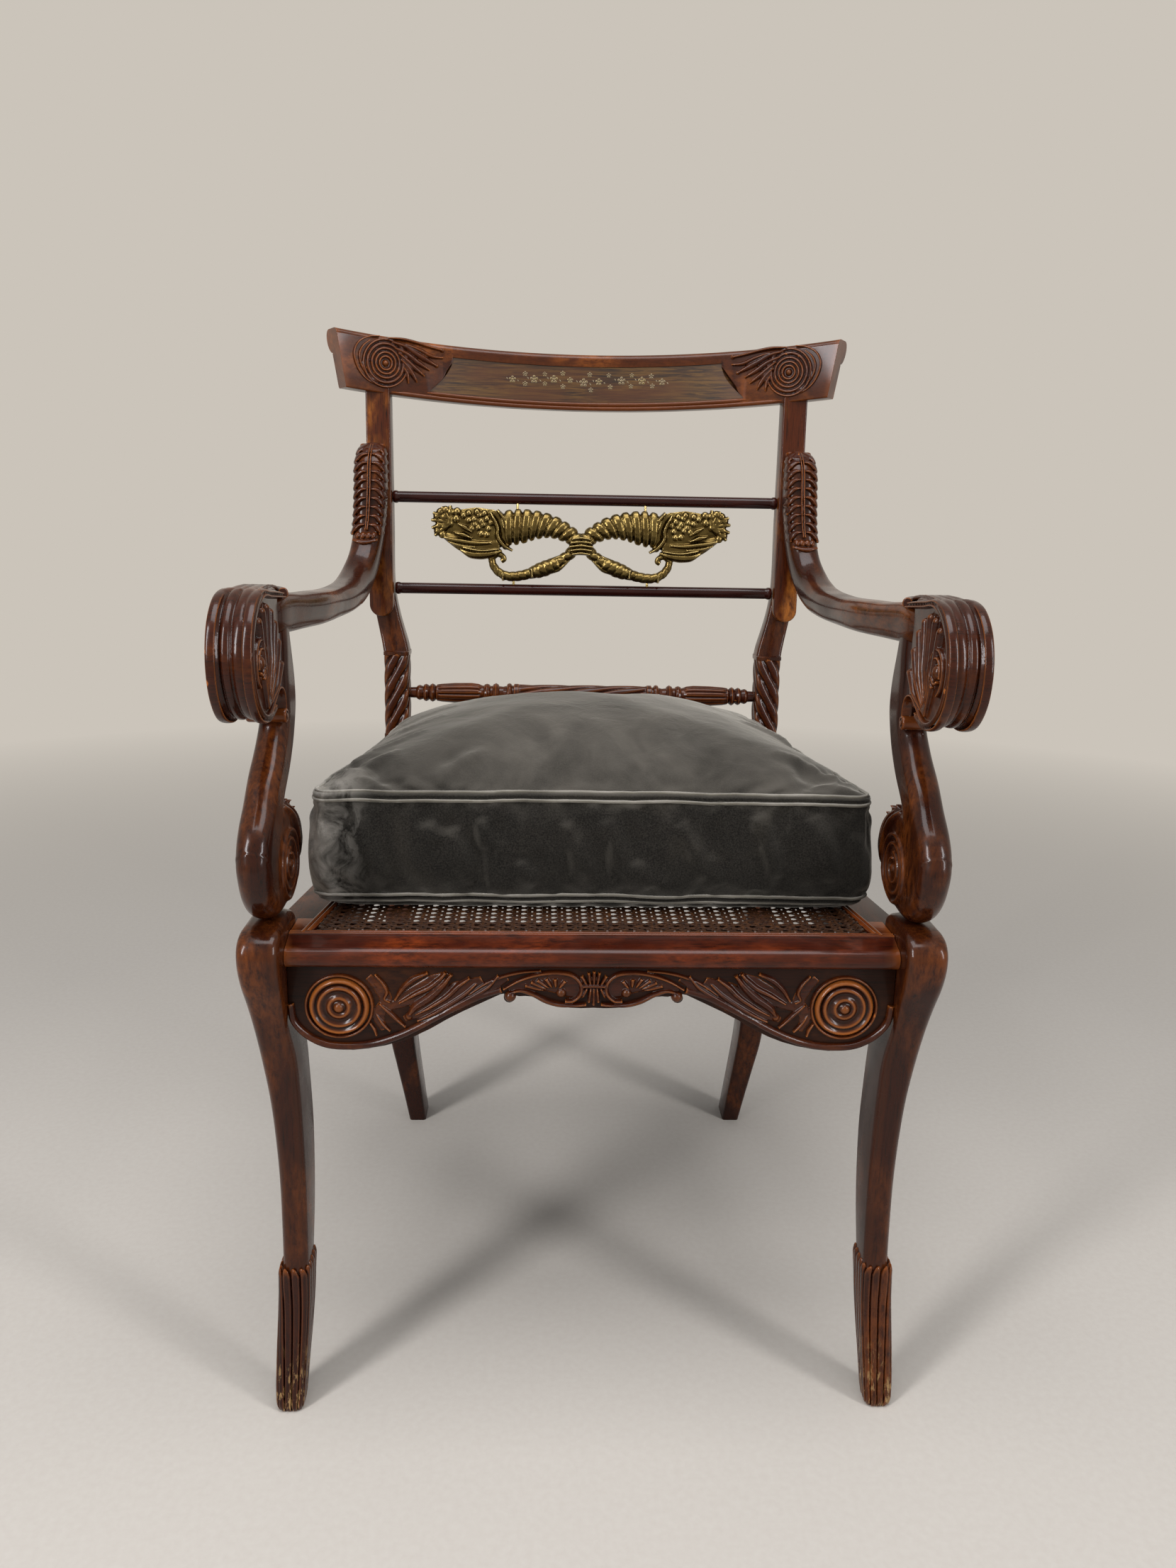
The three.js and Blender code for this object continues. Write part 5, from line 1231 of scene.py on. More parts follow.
ROD_RADIUS = 5.7
rod_places = {"upper": (201.2, 431.0, 729.0), "lower": (200.4, 430.0, 635.0)}
for level, (half, y, z) in rod_places.items():
    ends = [(half - 0.2, 0), (half - 0.2, 5.2), (half - 1.6, 6.2), (half - 3.4, 6.5), (half - 5.0, 6.1),
            (half - 5.8, 5.6), (half - 8.0, ROD_RADIUS)]
    whole = [(-along, out) for along, out in ends] + [(along, out) for along, out in reversed(ends)]
    rod = lathe(level + "_rod_turned", whole, (0, y, z), "x")
    hand_over(rod, rod_polish, level + "_rod")

ROSETTE_X = 195.6
ROSETTE_Z = 347.8
rosette_profile = [
    (6.4, 0), (6.2, 1.6), (5.2, 3.2), (3.4, 4), (3, 5), (3.9, 6.2), (4.4, 7.4), (3.9, 8.6), (2.3, 9.8),
    (1.7, 11.4), (2, 13), (3.5, 14.2), (4, 15.4), (3.5, 16.6), (1.6, 17.6), (1.8, 18.6), (3.4, 19.6),
    (4, 21), (3.2, 22.2), (0.6, 23.2), (-1, 23.4),
]
for side, sign in (("left", -1), ("right", 1)):
    profile = [(8.9 - height, out) for height, out in rosette_profile]
    rosette = lathe("apron_roundel_" + side + "_turned", profile, (sign * ROSETTE_X, 0, ROSETTE_Z), "y")
    hand_over(rosette, carved_mahogany, "apron_roundel_" + side)

# %% [markdown]
# ## The turned and twisted rail
# The rail behind the cushion is turned into beads and two fluted barrels, and its middle is carved as
# rope. Its radius changes along the axis for the beads, and round the axis for the flutes and the rope.

# %% Turned rail
RAIL_Y = 425.0
RAIL_Z = 524.0
RAIL_HALF = 185.7
ROPE_HALF = 69.0
BARREL = (109.0, 157.0)
# distance from the middle, radius
rail_profile = [
    (0, 10), (69, 10), (69.6, 10.6), (74, 10.6), (74.8, 8.6), (76.2, 8.6), (77.4, 10.6), (79.4, 11.2),
    (81.4, 10.4), (82.4, 8.2), (86, 7.4), (90, 7.8), (91, 9.6), (93.6, 11.2), (96.4, 9.8), (97.4, 8.2),
    (99.6, 8), (101, 9.6), (103.4, 10.4), (105.8, 9.6), (107, 8.2), (109, 8.6), (112.5, 10.1), (120, 11),
    (138, 10.7), (152, 9.7), (157, 8.9), (158.4, 7.4), (159.8, 8.8), (162, 10), (164.2, 8.8),
    (165.4, 7.4), (167, 8.6), (169, 9.5), (171, 8.6), (172.2, 7), (174, 7.6), (176, 8.2), (178, 7.4),
    (179.4, 5.9), (RAIL_HALF, 5.6),
]


def turned_rail():
    distance = [p[0] for p in rail_profile]
    radii = [p[1] for p in rail_profile]
    stations = np.unique(np.concatenate([np.arange(0, ROPE_HALF, 1.15), distance,
                                         np.arange(69.5, RAIL_HALF, 0.8)]))
    stations = np.concatenate([-stations[:0:-1], stations])
    rings = []
    for x in stations:
        far = abs(x)
        radius = np.interp(far, distance, radii)
        ring = []
        for k in range(72):
            angle = 2 * math.pi * k / 72
            cut = 0.0
            if far < ROPE_HALF:
                wave = abs(math.sin(6 * angle / 2 + x * 0.078))
                cut = 2.3 * (1 - wave) ** 1.7 * min(1.0, (ROPE_HALF - far) / 2.5)
            elif BARREL[0] < far < BARREL[1]:
                wave = abs(math.sin(5 * angle))
                fade = min(1.0, (far - BARREL[0]) / 3.5, (BARREL[1] - far) / 3.5)
                cut = 1.7 * (1 - wave) ** 2.2 * fade
            ring.append((x, RAIL_Y + (radius - cut) * math.cos(angle),
                         RAIL_Z + (radius - cut) * math.sin(angle)))
        rings.append(ring)
    return skin(rings)


rail = build("turned_rail_twisted", [turned_rail()])
hand_over(soften(rail, 60), carved_mahogany, "turned_rail")

# %% [markdown]
# ## The crest rail
# The crest is sawn to a shallow arc, hung a little in the middle, and rolled over along its back edge. A
# rosewood panel is let into it over two reeds, and each end has a spiral with a spray of leaves.
# Here too the ground is a section skinned round an arc, and the panel's bed is cut by a boolean.

# %% Crest body
CREST_RADIUS = 527.0
CREST_CENTRE_Y = -63.0
CREST_BOTTOM = 834.5
CREST_DIP = 13.5
CREST_HALF_BOTTOM = 242.0
CREST_HALF_TOP = 250.0
CREST_HEIGHT = 56.0
PANEL_SINK = 1.1


def crest_foot(arc):
    """Height of the crest's lower edge at a distance along its front face."""
    x = CREST_RADIUS * math.sin(arc / CREST_RADIUS)
    return CREST_BOTTOM - CREST_DIP * (1 - min(1.0, (x / CREST_HALF_BOTTOM) ** 2))


def crest_face(u, v, height):
    """u along the front face, v up from the floor, height towards the sitter."""
    angle = u / CREST_RADIUS
    radius = CREST_RADIUS - height
    return (radius * math.sin(angle), CREST_CENTRE_Y + radius * math.cos(angle), v)


def quarter(centre, radius, start, end, steps=5):
    return [(centre[0] + radius * math.cos(a), centre[1] + radius * math.sin(a))
            for a in np.radians(np.linspace(start, end, steps))]


def crest_section():
    """(depth, height) round the section: a board with a soft front edge and a rolled back edge."""
    ring = quarter((1.5, 1.5), 1.5, 270, 180, 4) + quarter((5.5, 50.5), 5.5, 180, 90)
    ring += quarter((22.8, 44.8), 11.2, 90, -90, 11) + [(24.2, 33.0)]
    return ring + quarter((22.2, 2.0), 2.0, 0, -90, 4)


def crest_body():
    rings = []
    for u in np.linspace(-1, 1, 97):
        drop = CREST_DIP * (1 - u * u)
        ring = []
        for depth, height in crest_section():
            half = CREST_HALF_BOTTOM + (CREST_HALF_TOP - CREST_HALF_BOTTOM) * height / CREST_HEIGHT
            angle = u * math.asin(half / CREST_RADIUS)
            radius = CREST_RADIUS + depth
            ring.append((radius * math.sin(angle), CREST_CENTRE_Y + radius * math.cos(angle),
                         CREST_BOTTOM - drop + height))
        rings.append(ring)
    return skin(rings)


# The panel's half length at each height above the crest's lower edge: its ends are hollowed
panel_ends = [
    (8, 165), (12.5, 160), (16.7, 155.6), (21.5, 151), (26.3, 147), (31, 143.8), (35.5, 141.8),
    (39.5, 140.6), (43.4, 140),
]


def panel_block(front, back, looseness):
    """The rosewood panel, or the tool that cuts its bed, between two depths behind the face."""
    heights = [h for h, _ in panel_ends]
    halves = [half for _, half in panel_ends]
    rows = np.linspace(heights[0] - looseness, heights[-1] + looseness, 10)
    rings = []
    for u in np.linspace(-1, 1, 81):
        front_line, back_line = [], []
        for h in rows:
            arc = u * (np.interp(h, heights, halves) + looseness)
            level = crest_foot(arc) + h
            front_line.append(crest_face(arc, level, -front))
            back_line.append(crest_face(arc, level, -back))
        rings.append(front_line + back_line[::-1])
    return skin(rings)


crest = build("crest_rail_carved", [crest_body()])
bed_cutter = build("panel_bed_cutter", [panel_block(-4.0, PANEL_SINK + 1.0, 0.25)])
cut_away(crest, bed_cutter)
finish_modifier(crest, "BEVEL", width=0.5 * MM, segments=2, limit_method="ANGLE",
                angle_limit=math.radians(50))
hand_over(soften(crest, 35), crest_mahogany, "crest_rail")

panel = build("crest_panel_veneer", [panel_block(PANEL_SINK, PANEL_SINK + 1.0, 0.0)])
hand_over(soften(panel, 30), rosewood, "crest_panel")

# %% Reeds, spirals and leaf sprays
SPIRAL = (210.7, 859.5)
spiral_rings = [(6.4, 2.7), (10.2, 3.0), (14.2, 3.3), (18.6, 3.7), (22.8, 2.8)]
outer_turns = [
    [(216, 885.2), (227, 883.8), (237.6, 878.2), (242.4, 869.3), (241.6, 859.8), (237, 850), (229.5, 842.6),
     (221.5, 838.4)],
    [(226, 880.6), (233, 875.2), (237, 868), (236.6, 859.4), (232.4, 851), (225.8, 844.6), (218.5, 840.6)],
]
# one line of points (along, up) for each leaf, with its widths
spray_leaves = [
    ([(207.6, 883.6), (193.6, 883.6), (180.7, 881.6), (164, 877.6), (152.4, 875.2)], [2, 3.4, 3.6, 2.8]),
    ([(203.8, 880), (190, 876.6), (179, 870.6), (167, 864.4), (158.3, 860)], [2.6, 5.6, 6.4, 3]),
    ([(201, 874.6), (188.2, 869.4), (176.3, 861.4), (165, 855)], [2.6, 5.4, 5.6, 2.4]),
    ([(197, 870), (188.2, 863), (178.3, 855), (170.5, 849)], [2.2, 5, 5, 2]),
    ([(194.7, 864), (187.5, 857), (181.8, 849), (178.4, 842.6)], [2.2, 5.4, 5.2, 2]),
    ([(192.4, 857), (188.4, 850), (187.2, 841)], [2.2, 4.8, 2]),
    ([(189.9, 878.6), (175.1, 874), (162.2, 868.6), (150.9, 867.6)], [1.8, 4.4, 4.4, 2.2]),
]
crest_carving = [dome(crest_face, SPIRAL, 23.0, 0.8, 1.0, 5, 40), dome(crest_face, SPIRAL, 3.2, 4.4)]
for radius, width in spiral_rings:
    crest_carving.append(hoop(crest_face, SPIRAL, radius, width, 3.6 - 0.04 * radius))
for line in outer_turns:
    crest_carving.append(stroke(crest_face, line, [1.2, 2.4, 2.6, 2.2, 1.2], 2.4, 40))
for line, widths in spray_leaves:
    crest_carving.append(stroke(crest_face, line, widths, 3.6, 26))
crest_carving += [dome(crest_face, (151.6, 875.2), 2.4, 3.0), dome(crest_face, (157.6, 859.8), 2.2, 2.8)]


def lower_reed(rise, width, half):
    arcs = np.linspace(-half, half, 61)
    line = [(arc, crest_foot(arc) + rise) for arc in arcs]
    return stroke(crest_face, line, [0.8] + [width] * 28 + [0.8], 1.3, 121)


both_sides("crest_spray_{}", crest_carving, carved_mahogany, "crest_rail", voxel=0.5, passes=2, keep=0.6)
reeds = build("crest_lower_reeds", [lower_reed(5.9, 3.6, 168.0), lower_reed(2.0, 3.8, 205.0)])
hand_over(reeds, mahogany["x"], "crest_rail")

# %% [markdown]
# ## Front rail
# The rail under the cushion's front edge is a moulding: a rounded nosing, a slope, and a pair of fine
# beads beside the cane. A moulding is one section run along a line, so the section is skinned along x.
# The rebate for the cane is then cut across it by a boolean, as a router would.

# %% Front rail with its beads
RAIL_BOTTOM = 380.6
SEAT_TOP = 402.0
NOSE_RADIUS = 8.3
FRONT_RAIL_HALF = 234.6
FRONT_RAIL_BACK = 55.0
CANE_FRONT = 27.5
CANE_BACK = 395.0
CANE_HALF_FRONT = 217.9
CANE_HALF_BACK = 162.8
REBATE_FLOOR = 399.0


def cane_half(y):
    return CANE_HALF_FRONT + (CANE_HALF_BACK - CANE_HALF_FRONT) * (y - CANE_FRONT) / (CANE_BACK - CANE_FRONT)


def rail_section():
    nose = quarter((NOSE_RADIUS, RAIL_BOTTOM + NOSE_RADIUS), NOSE_RADIUS, 270, 90, 15)
    beads = []
    for centre in (21.6, 25.2):
        beads += [(centre + 1.7 * math.cos(a), 401.3 + 1.9 * math.sin(a))
                  for a in np.radians(np.linspace(180, 0, 7))]
    back = [(FRONT_RAIL_BACK - 0.8, SEAT_TOP), (FRONT_RAIL_BACK, SEAT_TOP - 0.8)]
    return nose + [(19.2, 401.0)] + beads + [(28.2, SEAT_TOP)] + back + [(FRONT_RAIL_BACK, RAIL_BOTTOM)]


def prism(plan, bottom, top):
    """A block with a plan outline of (x, y) points."""
    return skin([[(x, y, bottom) for x, y in plan], [(x, y, top) for x, y in plan]])


def cane_plan(inset):
    front, back = CANE_FRONT + inset, CANE_BACK - inset
    return [(-cane_half(front) + inset, front), (cane_half(front) - inset, front),
            (cane_half(back) - inset, back), (-cane_half(back) + inset, back)]


rail_stations = np.linspace(-FRONT_RAIL_HALF, FRONT_RAIL_HALF, 71)
rail_rings = [[(x, y, z) for y, z in rail_section()] for x in rail_stations]
moulding = build("front_rail_moulded", [skin(rail_rings)])
router = build("rebate_cutter", [prism(cane_plan(0), REBATE_FLOOR, SEAT_TOP + 9)])
cut_away(moulding, router)
hand_over(soften(moulding, 35), rail_mahogany, "front_rail")

# %% The same pair of beads goes on along the side rails
side_beads = []
for gap in (2.6, 6.2):
    line = [(cane_half(y) + gap, y, SEAT_TOP - 0.2) for y in np.linspace(CANE_FRONT - gap, CANE_BACK - 4, 40)]
    side_beads.append(sweep_reed(line, 3.4, 1.8, normal=(0, 0, 1), around=12))
both_sides("side_rail_{}_beads", side_beads, rail_mahogany, "side_rail_{}")

# %% [markdown]
# ## Carving on the apron
# Under the rail hangs a board sawn to a lobed outline. Its front carries a bead along the edge, a spray of
# reeded leaves out of each rosette, and a shell between two scrolls in the middle. The strokes were
# measured on one half and are mirrored, then melted so that they grow out of each other.

# %% Apron strokes
APRON_FACE = 9.0


def apron_face(u, v, height):
    return (u, APRON_FACE - height, v)


# points (along, up), widths, lift
apron_strokes = [
    ([(-158, 346), (-140, 356), (-122, 366), (-112, 375)], [5, 15, 18, 6], 1.7),
    ([(-146, 337), (-124, 349), (-104, 360), (-86, 370)], [5, 17, 18, 6], 2.2),
    ([(-128, 337), (-106, 349), (-86, 361), (-66, 371)], [4, 11, 12, 4], 1.6),
    ([(-173, 372), (-164, 362), (-160, 352), (-166, 340), (-162, 328)], [6, 10, 10, 10, 5], 1.3),
    ([(-66, 362), (-50, 367), (-34, 368), (-18, 364), (-8, 364)], [5, 14, 16, 18, 18], 1.5),
    ([(-164.6, 349.9), (-155.8, 341), (-145.3, 330.7)], [2, 4.1, 2], 3.2),
    ([(-167.8, 374.1), (-161.8, 366.8), (-159, 359.7), (-160.7, 354.1), (-156.9, 351.4)],
     [1.7, 3.2, 3.2, 2], 2.9),
    ([(-152.9, 353.1), (-147.2, 362.3), (-138.8, 370.3), (-127.5, 375.8)], [2.2, 4.6, 5.4, 2.9], 3.8),
    ([(-149.8, 350.7), (-137.4, 358.3), (-125.9, 364.2), (-118.5, 370.4), (-114, 376)],
     [2.2, 4.9, 5.9, 3.2], 4.2),
    ([(-142.3, 341.1), (-137.6, 347.8), (-126, 356.2), (-117, 365), (-109.5, 374.5)],
     [2.9, 6.8, 8.1, 6.8, 3.2], 5.4),
    ([(-137.4, 341.2), (-124.9, 348.4), (-112.5, 356.8), (-103.6, 365.6), (-95.6, 371.7)],
     [2, 4.6, 5.4, 2.7], 4.2),
    ([(-136, 335.9), (-122.5, 342.9), (-109.3, 351.3), (-99.4, 358.5), (-90.5, 367.2)],
     [2, 4.4, 4.9, 2.4], 3.8),
    ([(-119.6, 341.6), (-105.6, 349.2), (-93, 356.4), (-81.5, 364.3), (-73.6, 373.6)],
     [1.7, 3.9, 4.4, 2.2], 3.5),
    ([(-96.5, 357.8), (-84.5, 366.3), (-70.5, 372.6), (-55.4, 376.4), (-40.9, 377.8)],
     [1.7, 2.9, 2.9, 1.7], 2.9),
    ([(-233, 349.6), (-231, 335.6), (-222, 324.2), (-207.6, 316.2), (-190.6, 314.2), (-171.2, 316.2),
      (-153.4, 322), (-138.4, 329.2), (-123.4, 337.8), (-106.6, 347), (-88.3, 356.2), (-71.2, 361.9)],
     [5.6, 6.1, 6.1, 6.1, 5.6], 3.7),
    ([(-167.2, 341), (-162.5, 332.9), (-157.1, 327)], [1.7, 3.2, 1.7], 2.6),
    ([(-172.3, 333.8), (-169.2, 328.4), (-167.7, 323.2)], [1.7, 2.9, 1.7], 2.6),
    ([(-69.8, 362.5), (-58.7, 369.4), (-44, 374.6), (-29.2, 376.3), (-16.9, 374.2), (-10.3, 367.5),
      (-10.2, 359.2), (-15.8, 353.4), (-22.1, 352.9)],
     [2, 3.4, 4.1, 4.1, 3.7, 2.4], 4.2),
    ([(-65.9, 359.2), (-57, 361.4), (-47.1, 358.4), (-36.8, 352.8), (-26.9, 349.8), (-16.4, 349.4),
      (-5.7, 350)],
     [2, 4.1, 4.4, 3.9, 2.2], 4),
]
shell_petals = [
    ((-52.9, 365.8), (-38.9, 362)), ((-48.5, 368.6), (-37, 363)), ((-43.6, 370.2), (-34.8, 363.9)),
    ((-37, 371.4), (-32.4, 364.4)), ((-30, 371.2), (-29.4, 364.4)), ((-22.2, 369.6), (-27.1, 363.4)),
]
palmette = [
    (0, 366, 0, 377.6), (2.6, 366, 4.2, 376.6), (5.4, 366.5, 9.6, 373.8), (0, 364, 0, 350),
    (2.4, 364, 3.6, 352.4), (5, 364.2, 8.4, 357.4),
]
apron_relief = []
for line, widths, lift in apron_strokes:
    apron_relief.append(stroke(apron_face, line, widths, lift, 10 + 5 * len(line)))
for tip, root in shell_petals:
    middle = ((tip[0] + root[0]) / 2, (tip[1] + root[1]) / 2)
    apron_relief.append(stroke(apron_face, [root, middle, tip], [1.4, 3.6, 3.8], 3.6, 10))
apron_relief += [dome(apron_face, (-64.4, 356.6), 4.6, 5.2), dome(apron_face, (-25.2, 360.0), 4.0, 4.8),
                 dome(apron_face, (-142.3, 339.8), 3.0, 4.0),
                 hoop(apron_face, (-ROSETTE_X, ROSETTE_Z), 25.4, 2.9, 3.0)]
for root_x, root_z, tip_x, tip_z in palmette:
    middle = ((root_x + tip_x) / 2, (root_z + tip_z) / 2)
    apron_relief.append(stroke(apron_face, [(-root_x, root_z), (-middle[0], middle[1]), (-tip_x, tip_z)],
                               [1.6, 3.4, 2.8], 3.8, 12))
apron_relief.append(stroke(apron_face, [(-8.5, 365.4), (0.5, 365.8)], [3.0, 3.8], 4.4, 8))
carving = build("front_apron_carving", apron_relief + [flipped(part) for part in apron_relief])
melt(carving, voxel=0.5, passes=2, keep=0.45)
hand_over(carving, carved_mahogany, "front_apron")

# %% [markdown]
# ## The caned seat
# A six-way cane seat has strands in pairs from front to back and from side to side, and one strand on each
# diagonal, so that the holes come out eight-sided. Every strand here is a thin strip that rises
# and falls as it passes over and under. The strands are clipped to the frame's opening by a small function.

# %% Woven cane
CANE_PITCH_X = 12.2
CANE_PITCH_Y = 9.0
STRAND_WIDTH = 2.7
STRAND_THICK = 0.45
CANE_LEVEL = 400.4
PAIR_GAP = 2.1


def clip_line(point, direction, plan):
    """The stretch of an endless line that lies inside a convex plan whose points run anticlockwise."""
    low, high = -1e9, 1e9
    for (ax, ay), (bx, by) in zip(plan, plan[1:] + plan[:1]):
        inward = np.array([-(by - ay), bx - ax])
        rate = inward @ direction
        offset = inward @ (np.array(point) - (ax, ay))
        if abs(rate) < 1e-9:
            if offset < 0:
                return None
            continue
        t = -offset / rate
        low, high = (max(low, t), high) if rate > 0 else (low, min(high, t))
    return (low, high) if high - low > 4 else None


def strand(point, direction, step, phase, swing, level):
    """A strip along a line that rises and falls once every two steps."""
    stretch = clip_line(point, direction, cane_plan(1.2))
    if stretch is None:
        return []
    low, high = stretch
    stations = np.unique(np.concatenate([[low, high], np.arange(math.ceil(low / step) * step, high, step)]))
    across = np.array([-direction[1], direction[0]]) * STRAND_WIDTH / 2
    rings = []
    for t in stations:
        x, y = np.array(point) + direction * t
        z = CANE_LEVEL + level + swing * math.cos(math.pi * (t / step + phase))
        rings.append([(x - across[0], y - across[1], z), (x, y, z + STRAND_THICK),
                      (x + across[0], y + across[1], z), (x, y, z - STRAND_THICK / 2)])
    return [skin(rings)]


cane_strands = []
columns = int(CANE_HALF_FRONT / CANE_PITCH_X)
rows = int((CANE_BACK - CANE_FRONT) / CANE_PITCH_Y)
origin_y = CANE_FRONT + CANE_PITCH_Y / 2
for column in range(-columns, columns + 1):
    for offset in (-PAIR_GAP, PAIR_GAP):
        cane_strands += strand((column * CANE_PITCH_X + offset, origin_y), np.array([0.0, 1.0]),
                               CANE_PITCH_Y / 2, 0 if offset < 0 else 1, 0.3, 0.0)
for row in range(rows + 1):
    for offset in (-PAIR_GAP * 0.8, PAIR_GAP * 0.8):
        cane_strands += strand((0, origin_y + row * CANE_PITCH_Y + offset), np.array([1.0, 0.0]),
                               CANE_PITCH_X / 2, 1 if offset < 0 else 0, 0.3, 0.0)
slant = np.array([CANE_PITCH_X, CANE_PITCH_Y]) / math.hypot(CANE_PITCH_X, CANE_PITCH_Y)
for direction, level in ((slant, 0.5), (slant * (-1, 1), -0.35)):
    for k in range(-80, 81):
        cane_strands += strand(((k + 0.5) * CANE_PITCH_X, origin_y), direction, 15.2, 0, 0.0, level)
weave = build("cane_seat_woven", cane_strands)
pick(weave)
bpy.ops.object.shade_flat()
hand_over(weave, cane, "cane_panel")

# %% Binding cane
border = cane_plan(2.8)
binding_line = []
for (ax, ay), (bx, by) in zip(border, border[1:] + border[:1]):
    binding_line += [(ax + (bx - ax) * t, ay + (by - ay) * t, 401.0) for t in np.linspace(0.02, 0.98, 40)]
binding_line = np.array(binding_line + binding_line[:2])
couching = []
for i in range(len(binding_line) - 2):
    x, y, z = (binding_line[i] + binding_line[i + 1]) / 2
    ahead = unit(binding_line[i + 1] - binding_line[i])
    side_step = np.cross(ahead, (0, 0, 1.0))
    loop = [np.array([x, y, z]) + side_step * 2.9 * math.cos(a) + np.array([0, 0, 2.1 * math.sin(a)])
            for a in np.linspace(0, math.pi, 7)]
    couching.append(sweep_reed(loop, 2.0, 0.35, side=ahead, around=4))
edge_cane = sweep_reed(binding_line, 4.6, 1.5, normal=(0, 0, 1), around=8)
binding = build("cane_binding_couched", [edge_cane] + couching)
hand_over(binding, cane, "cane_binding")

# %% [markdown]
# ## The brass mount
# Two horns of plenty cross between the rods. Each is cast: a roped horn that swells to a leafy mouth,
# spilling berries, a squash and ears of corn, and a curled tail behind. The horn is a tube whose radius
# ripples as it winds. Round fruits are balls, leaves are strokes, and the remesh casts it in one.

# %% Horn, tail and leaves
MOUNT_X = -4.4
MOUNT_FACE = 427.0
horn_middle = [
    (-81, 697.5, 17), (-73, 699.5, 18.6), (-62, 701.2, 18), (-48.4, 702.6, 15.4), (-30.9, 701, 12.2),
    (-13.3, 693.6, 9.6), (-2.3, 686, 8), (6.5, 678, 6.8), (16, 670, 6), (26, 663, 6),
]
tail_middle = [
    (24, 664, 7), (36, 658.6, 8.4), (47, 654.6, 7.6), (52, 653, 6.2), (58, 651.2, 5.6), (67, 649.4, 5.4),
    (78, 649.4, 5), (87, 653.6, 4.6), (92.6, 661, 4.2), (93.4, 667.6, 3.8), (88.8, 671.6, 3.3),
    (83, 670.4, 3), (81, 666.6, 2.9), (84, 664.6, 2.6),
]


def mount_face(u, v, height):
    return (MOUNT_X + u, MOUNT_FACE - height, v)


def cast_tube(stations, count, ribs, ripple):
    """A tube in the mount's plane. Its radius ripples round and along, so that ribs wind about it."""
    line = curve_through(stations, count)
    tangent = unit(np.gradient(line[:, :2], axis=0))
    run = np.concatenate([[0], np.cumsum(np.linalg.norm(np.diff(line[:, :2], axis=0), axis=1))])
    rings = []
    for (u, v, radius), (tu, tv), way in zip(line, tangent, run):
        ring = []
        for k in range(20):
            angle = 2 * math.pi * k / 20
            wave = abs(math.sin(math.pi * way * ribs / run[-1] + 1.2 * math.cos(angle)))
            size = radius * (1 - ripple * (1 - wave) ** 2)
            off = size * math.cos(angle)
            depth = min(radius, 6.4 + 0.15 * radius) * size / radius
            ring.append(mount_face(u + tv * off, v - tu * off, depth * math.sin(angle)))
        rings.append(ring)
    return skin(rings)


def ball(u, v, radius):
    """A round fruit, a little flattened towards the sitter."""
    rings = []
    for row in np.linspace(-math.pi / 2, math.pi / 2, 9):
        out = radius * math.cos(row) + 0.02
        rings.append([mount_face(u + out * math.cos(a), v + out * math.sin(a),
                                 1.0 + 0.9 * radius * math.sin(row))
                      for a in whole_turn(14)])
    return skin(rings)


big_berries = [
    (-150.6, 709.9), (-147.3, 714.2), (-141.9, 716.3), (-149, 700.3), (-150.2, 694.6), (-145.4, 691.4),
    (-137.6, 703), (-136.4, 714.4), (-129.9, 715), (-143, 709.4), (-143.6, 699.4), (-131, 707.6),
]
small_berries = [
    (-117.9, 713.6), (-112.5, 707.4), (-107.1, 711.7), (-104.9, 705.4), (-111.5, 702.1), (-114.8, 697.7),
    (-108.2, 698.9), (-102.8, 702.2), (-105, 692.5), (-99.5, 692), (-97.3, 698), (-109.3, 714.9),
    (-101.6, 713.5), (-118, 706.2), (-123.5, 711), (-99, 708), (-94.5, 704),
]
fan_leaf_tips = [(-155, 713.5), (-157, 706), (-156.5, 698), (-153.5, 690), (-146, 719.5), (-137, 721)]
leaf_strokes = [
    ([(-95.1, 714.9), (-90.6, 706.7), (-87.4, 698.2), (-87.5, 690.7), (-80.7, 681.1), (-72.1, 675.8)],
     [2.6, 6, 6.5, 6, 3], 7),
    ([(-88, 717.5), (-80.4, 708), (-77.8, 697), (-76.6, 686)], [3, 6, 6, 3], 8),
    ([(-128.9, 702.7), (-121.5, 699), (-114, 694)], [2, 6, 2], 6),
    ([(-133.1, 693.6), (-124, 691.6), (-114.3, 688.1)], [2, 6.5, 2], 6),
    ([(-126.9, 676.1), (-116, 671.6), (-104, 671), (-93, 672.6), (-83.2, 675.6)], [3, 9, 10, 8, 3], 6),
    ([(-124, 678.4), (-105, 675.4), (-86, 677.4)], [2, 4, 2], 6.8),
    ([(-146.4, 689.8), (-136, 686.4), (-124.8, 684.8), (-110, 683), (-94, 683.6)], [2.4, 6, 6.5, 6, 3], 5.6),
    ([(-140, 684.4), (-128, 680.4), (-112, 679)], [2, 5, 2.5], 5),
    ([(14, 674), (22, 664), (34, 656)], [3, 7, 3], 6),
    ([(12, 667), (24, 657), (38, 652)], [2, 5, 2], 5),
    ([(20, 672), (32, 666), (46, 657)], [2, 5, 2], 5),
]


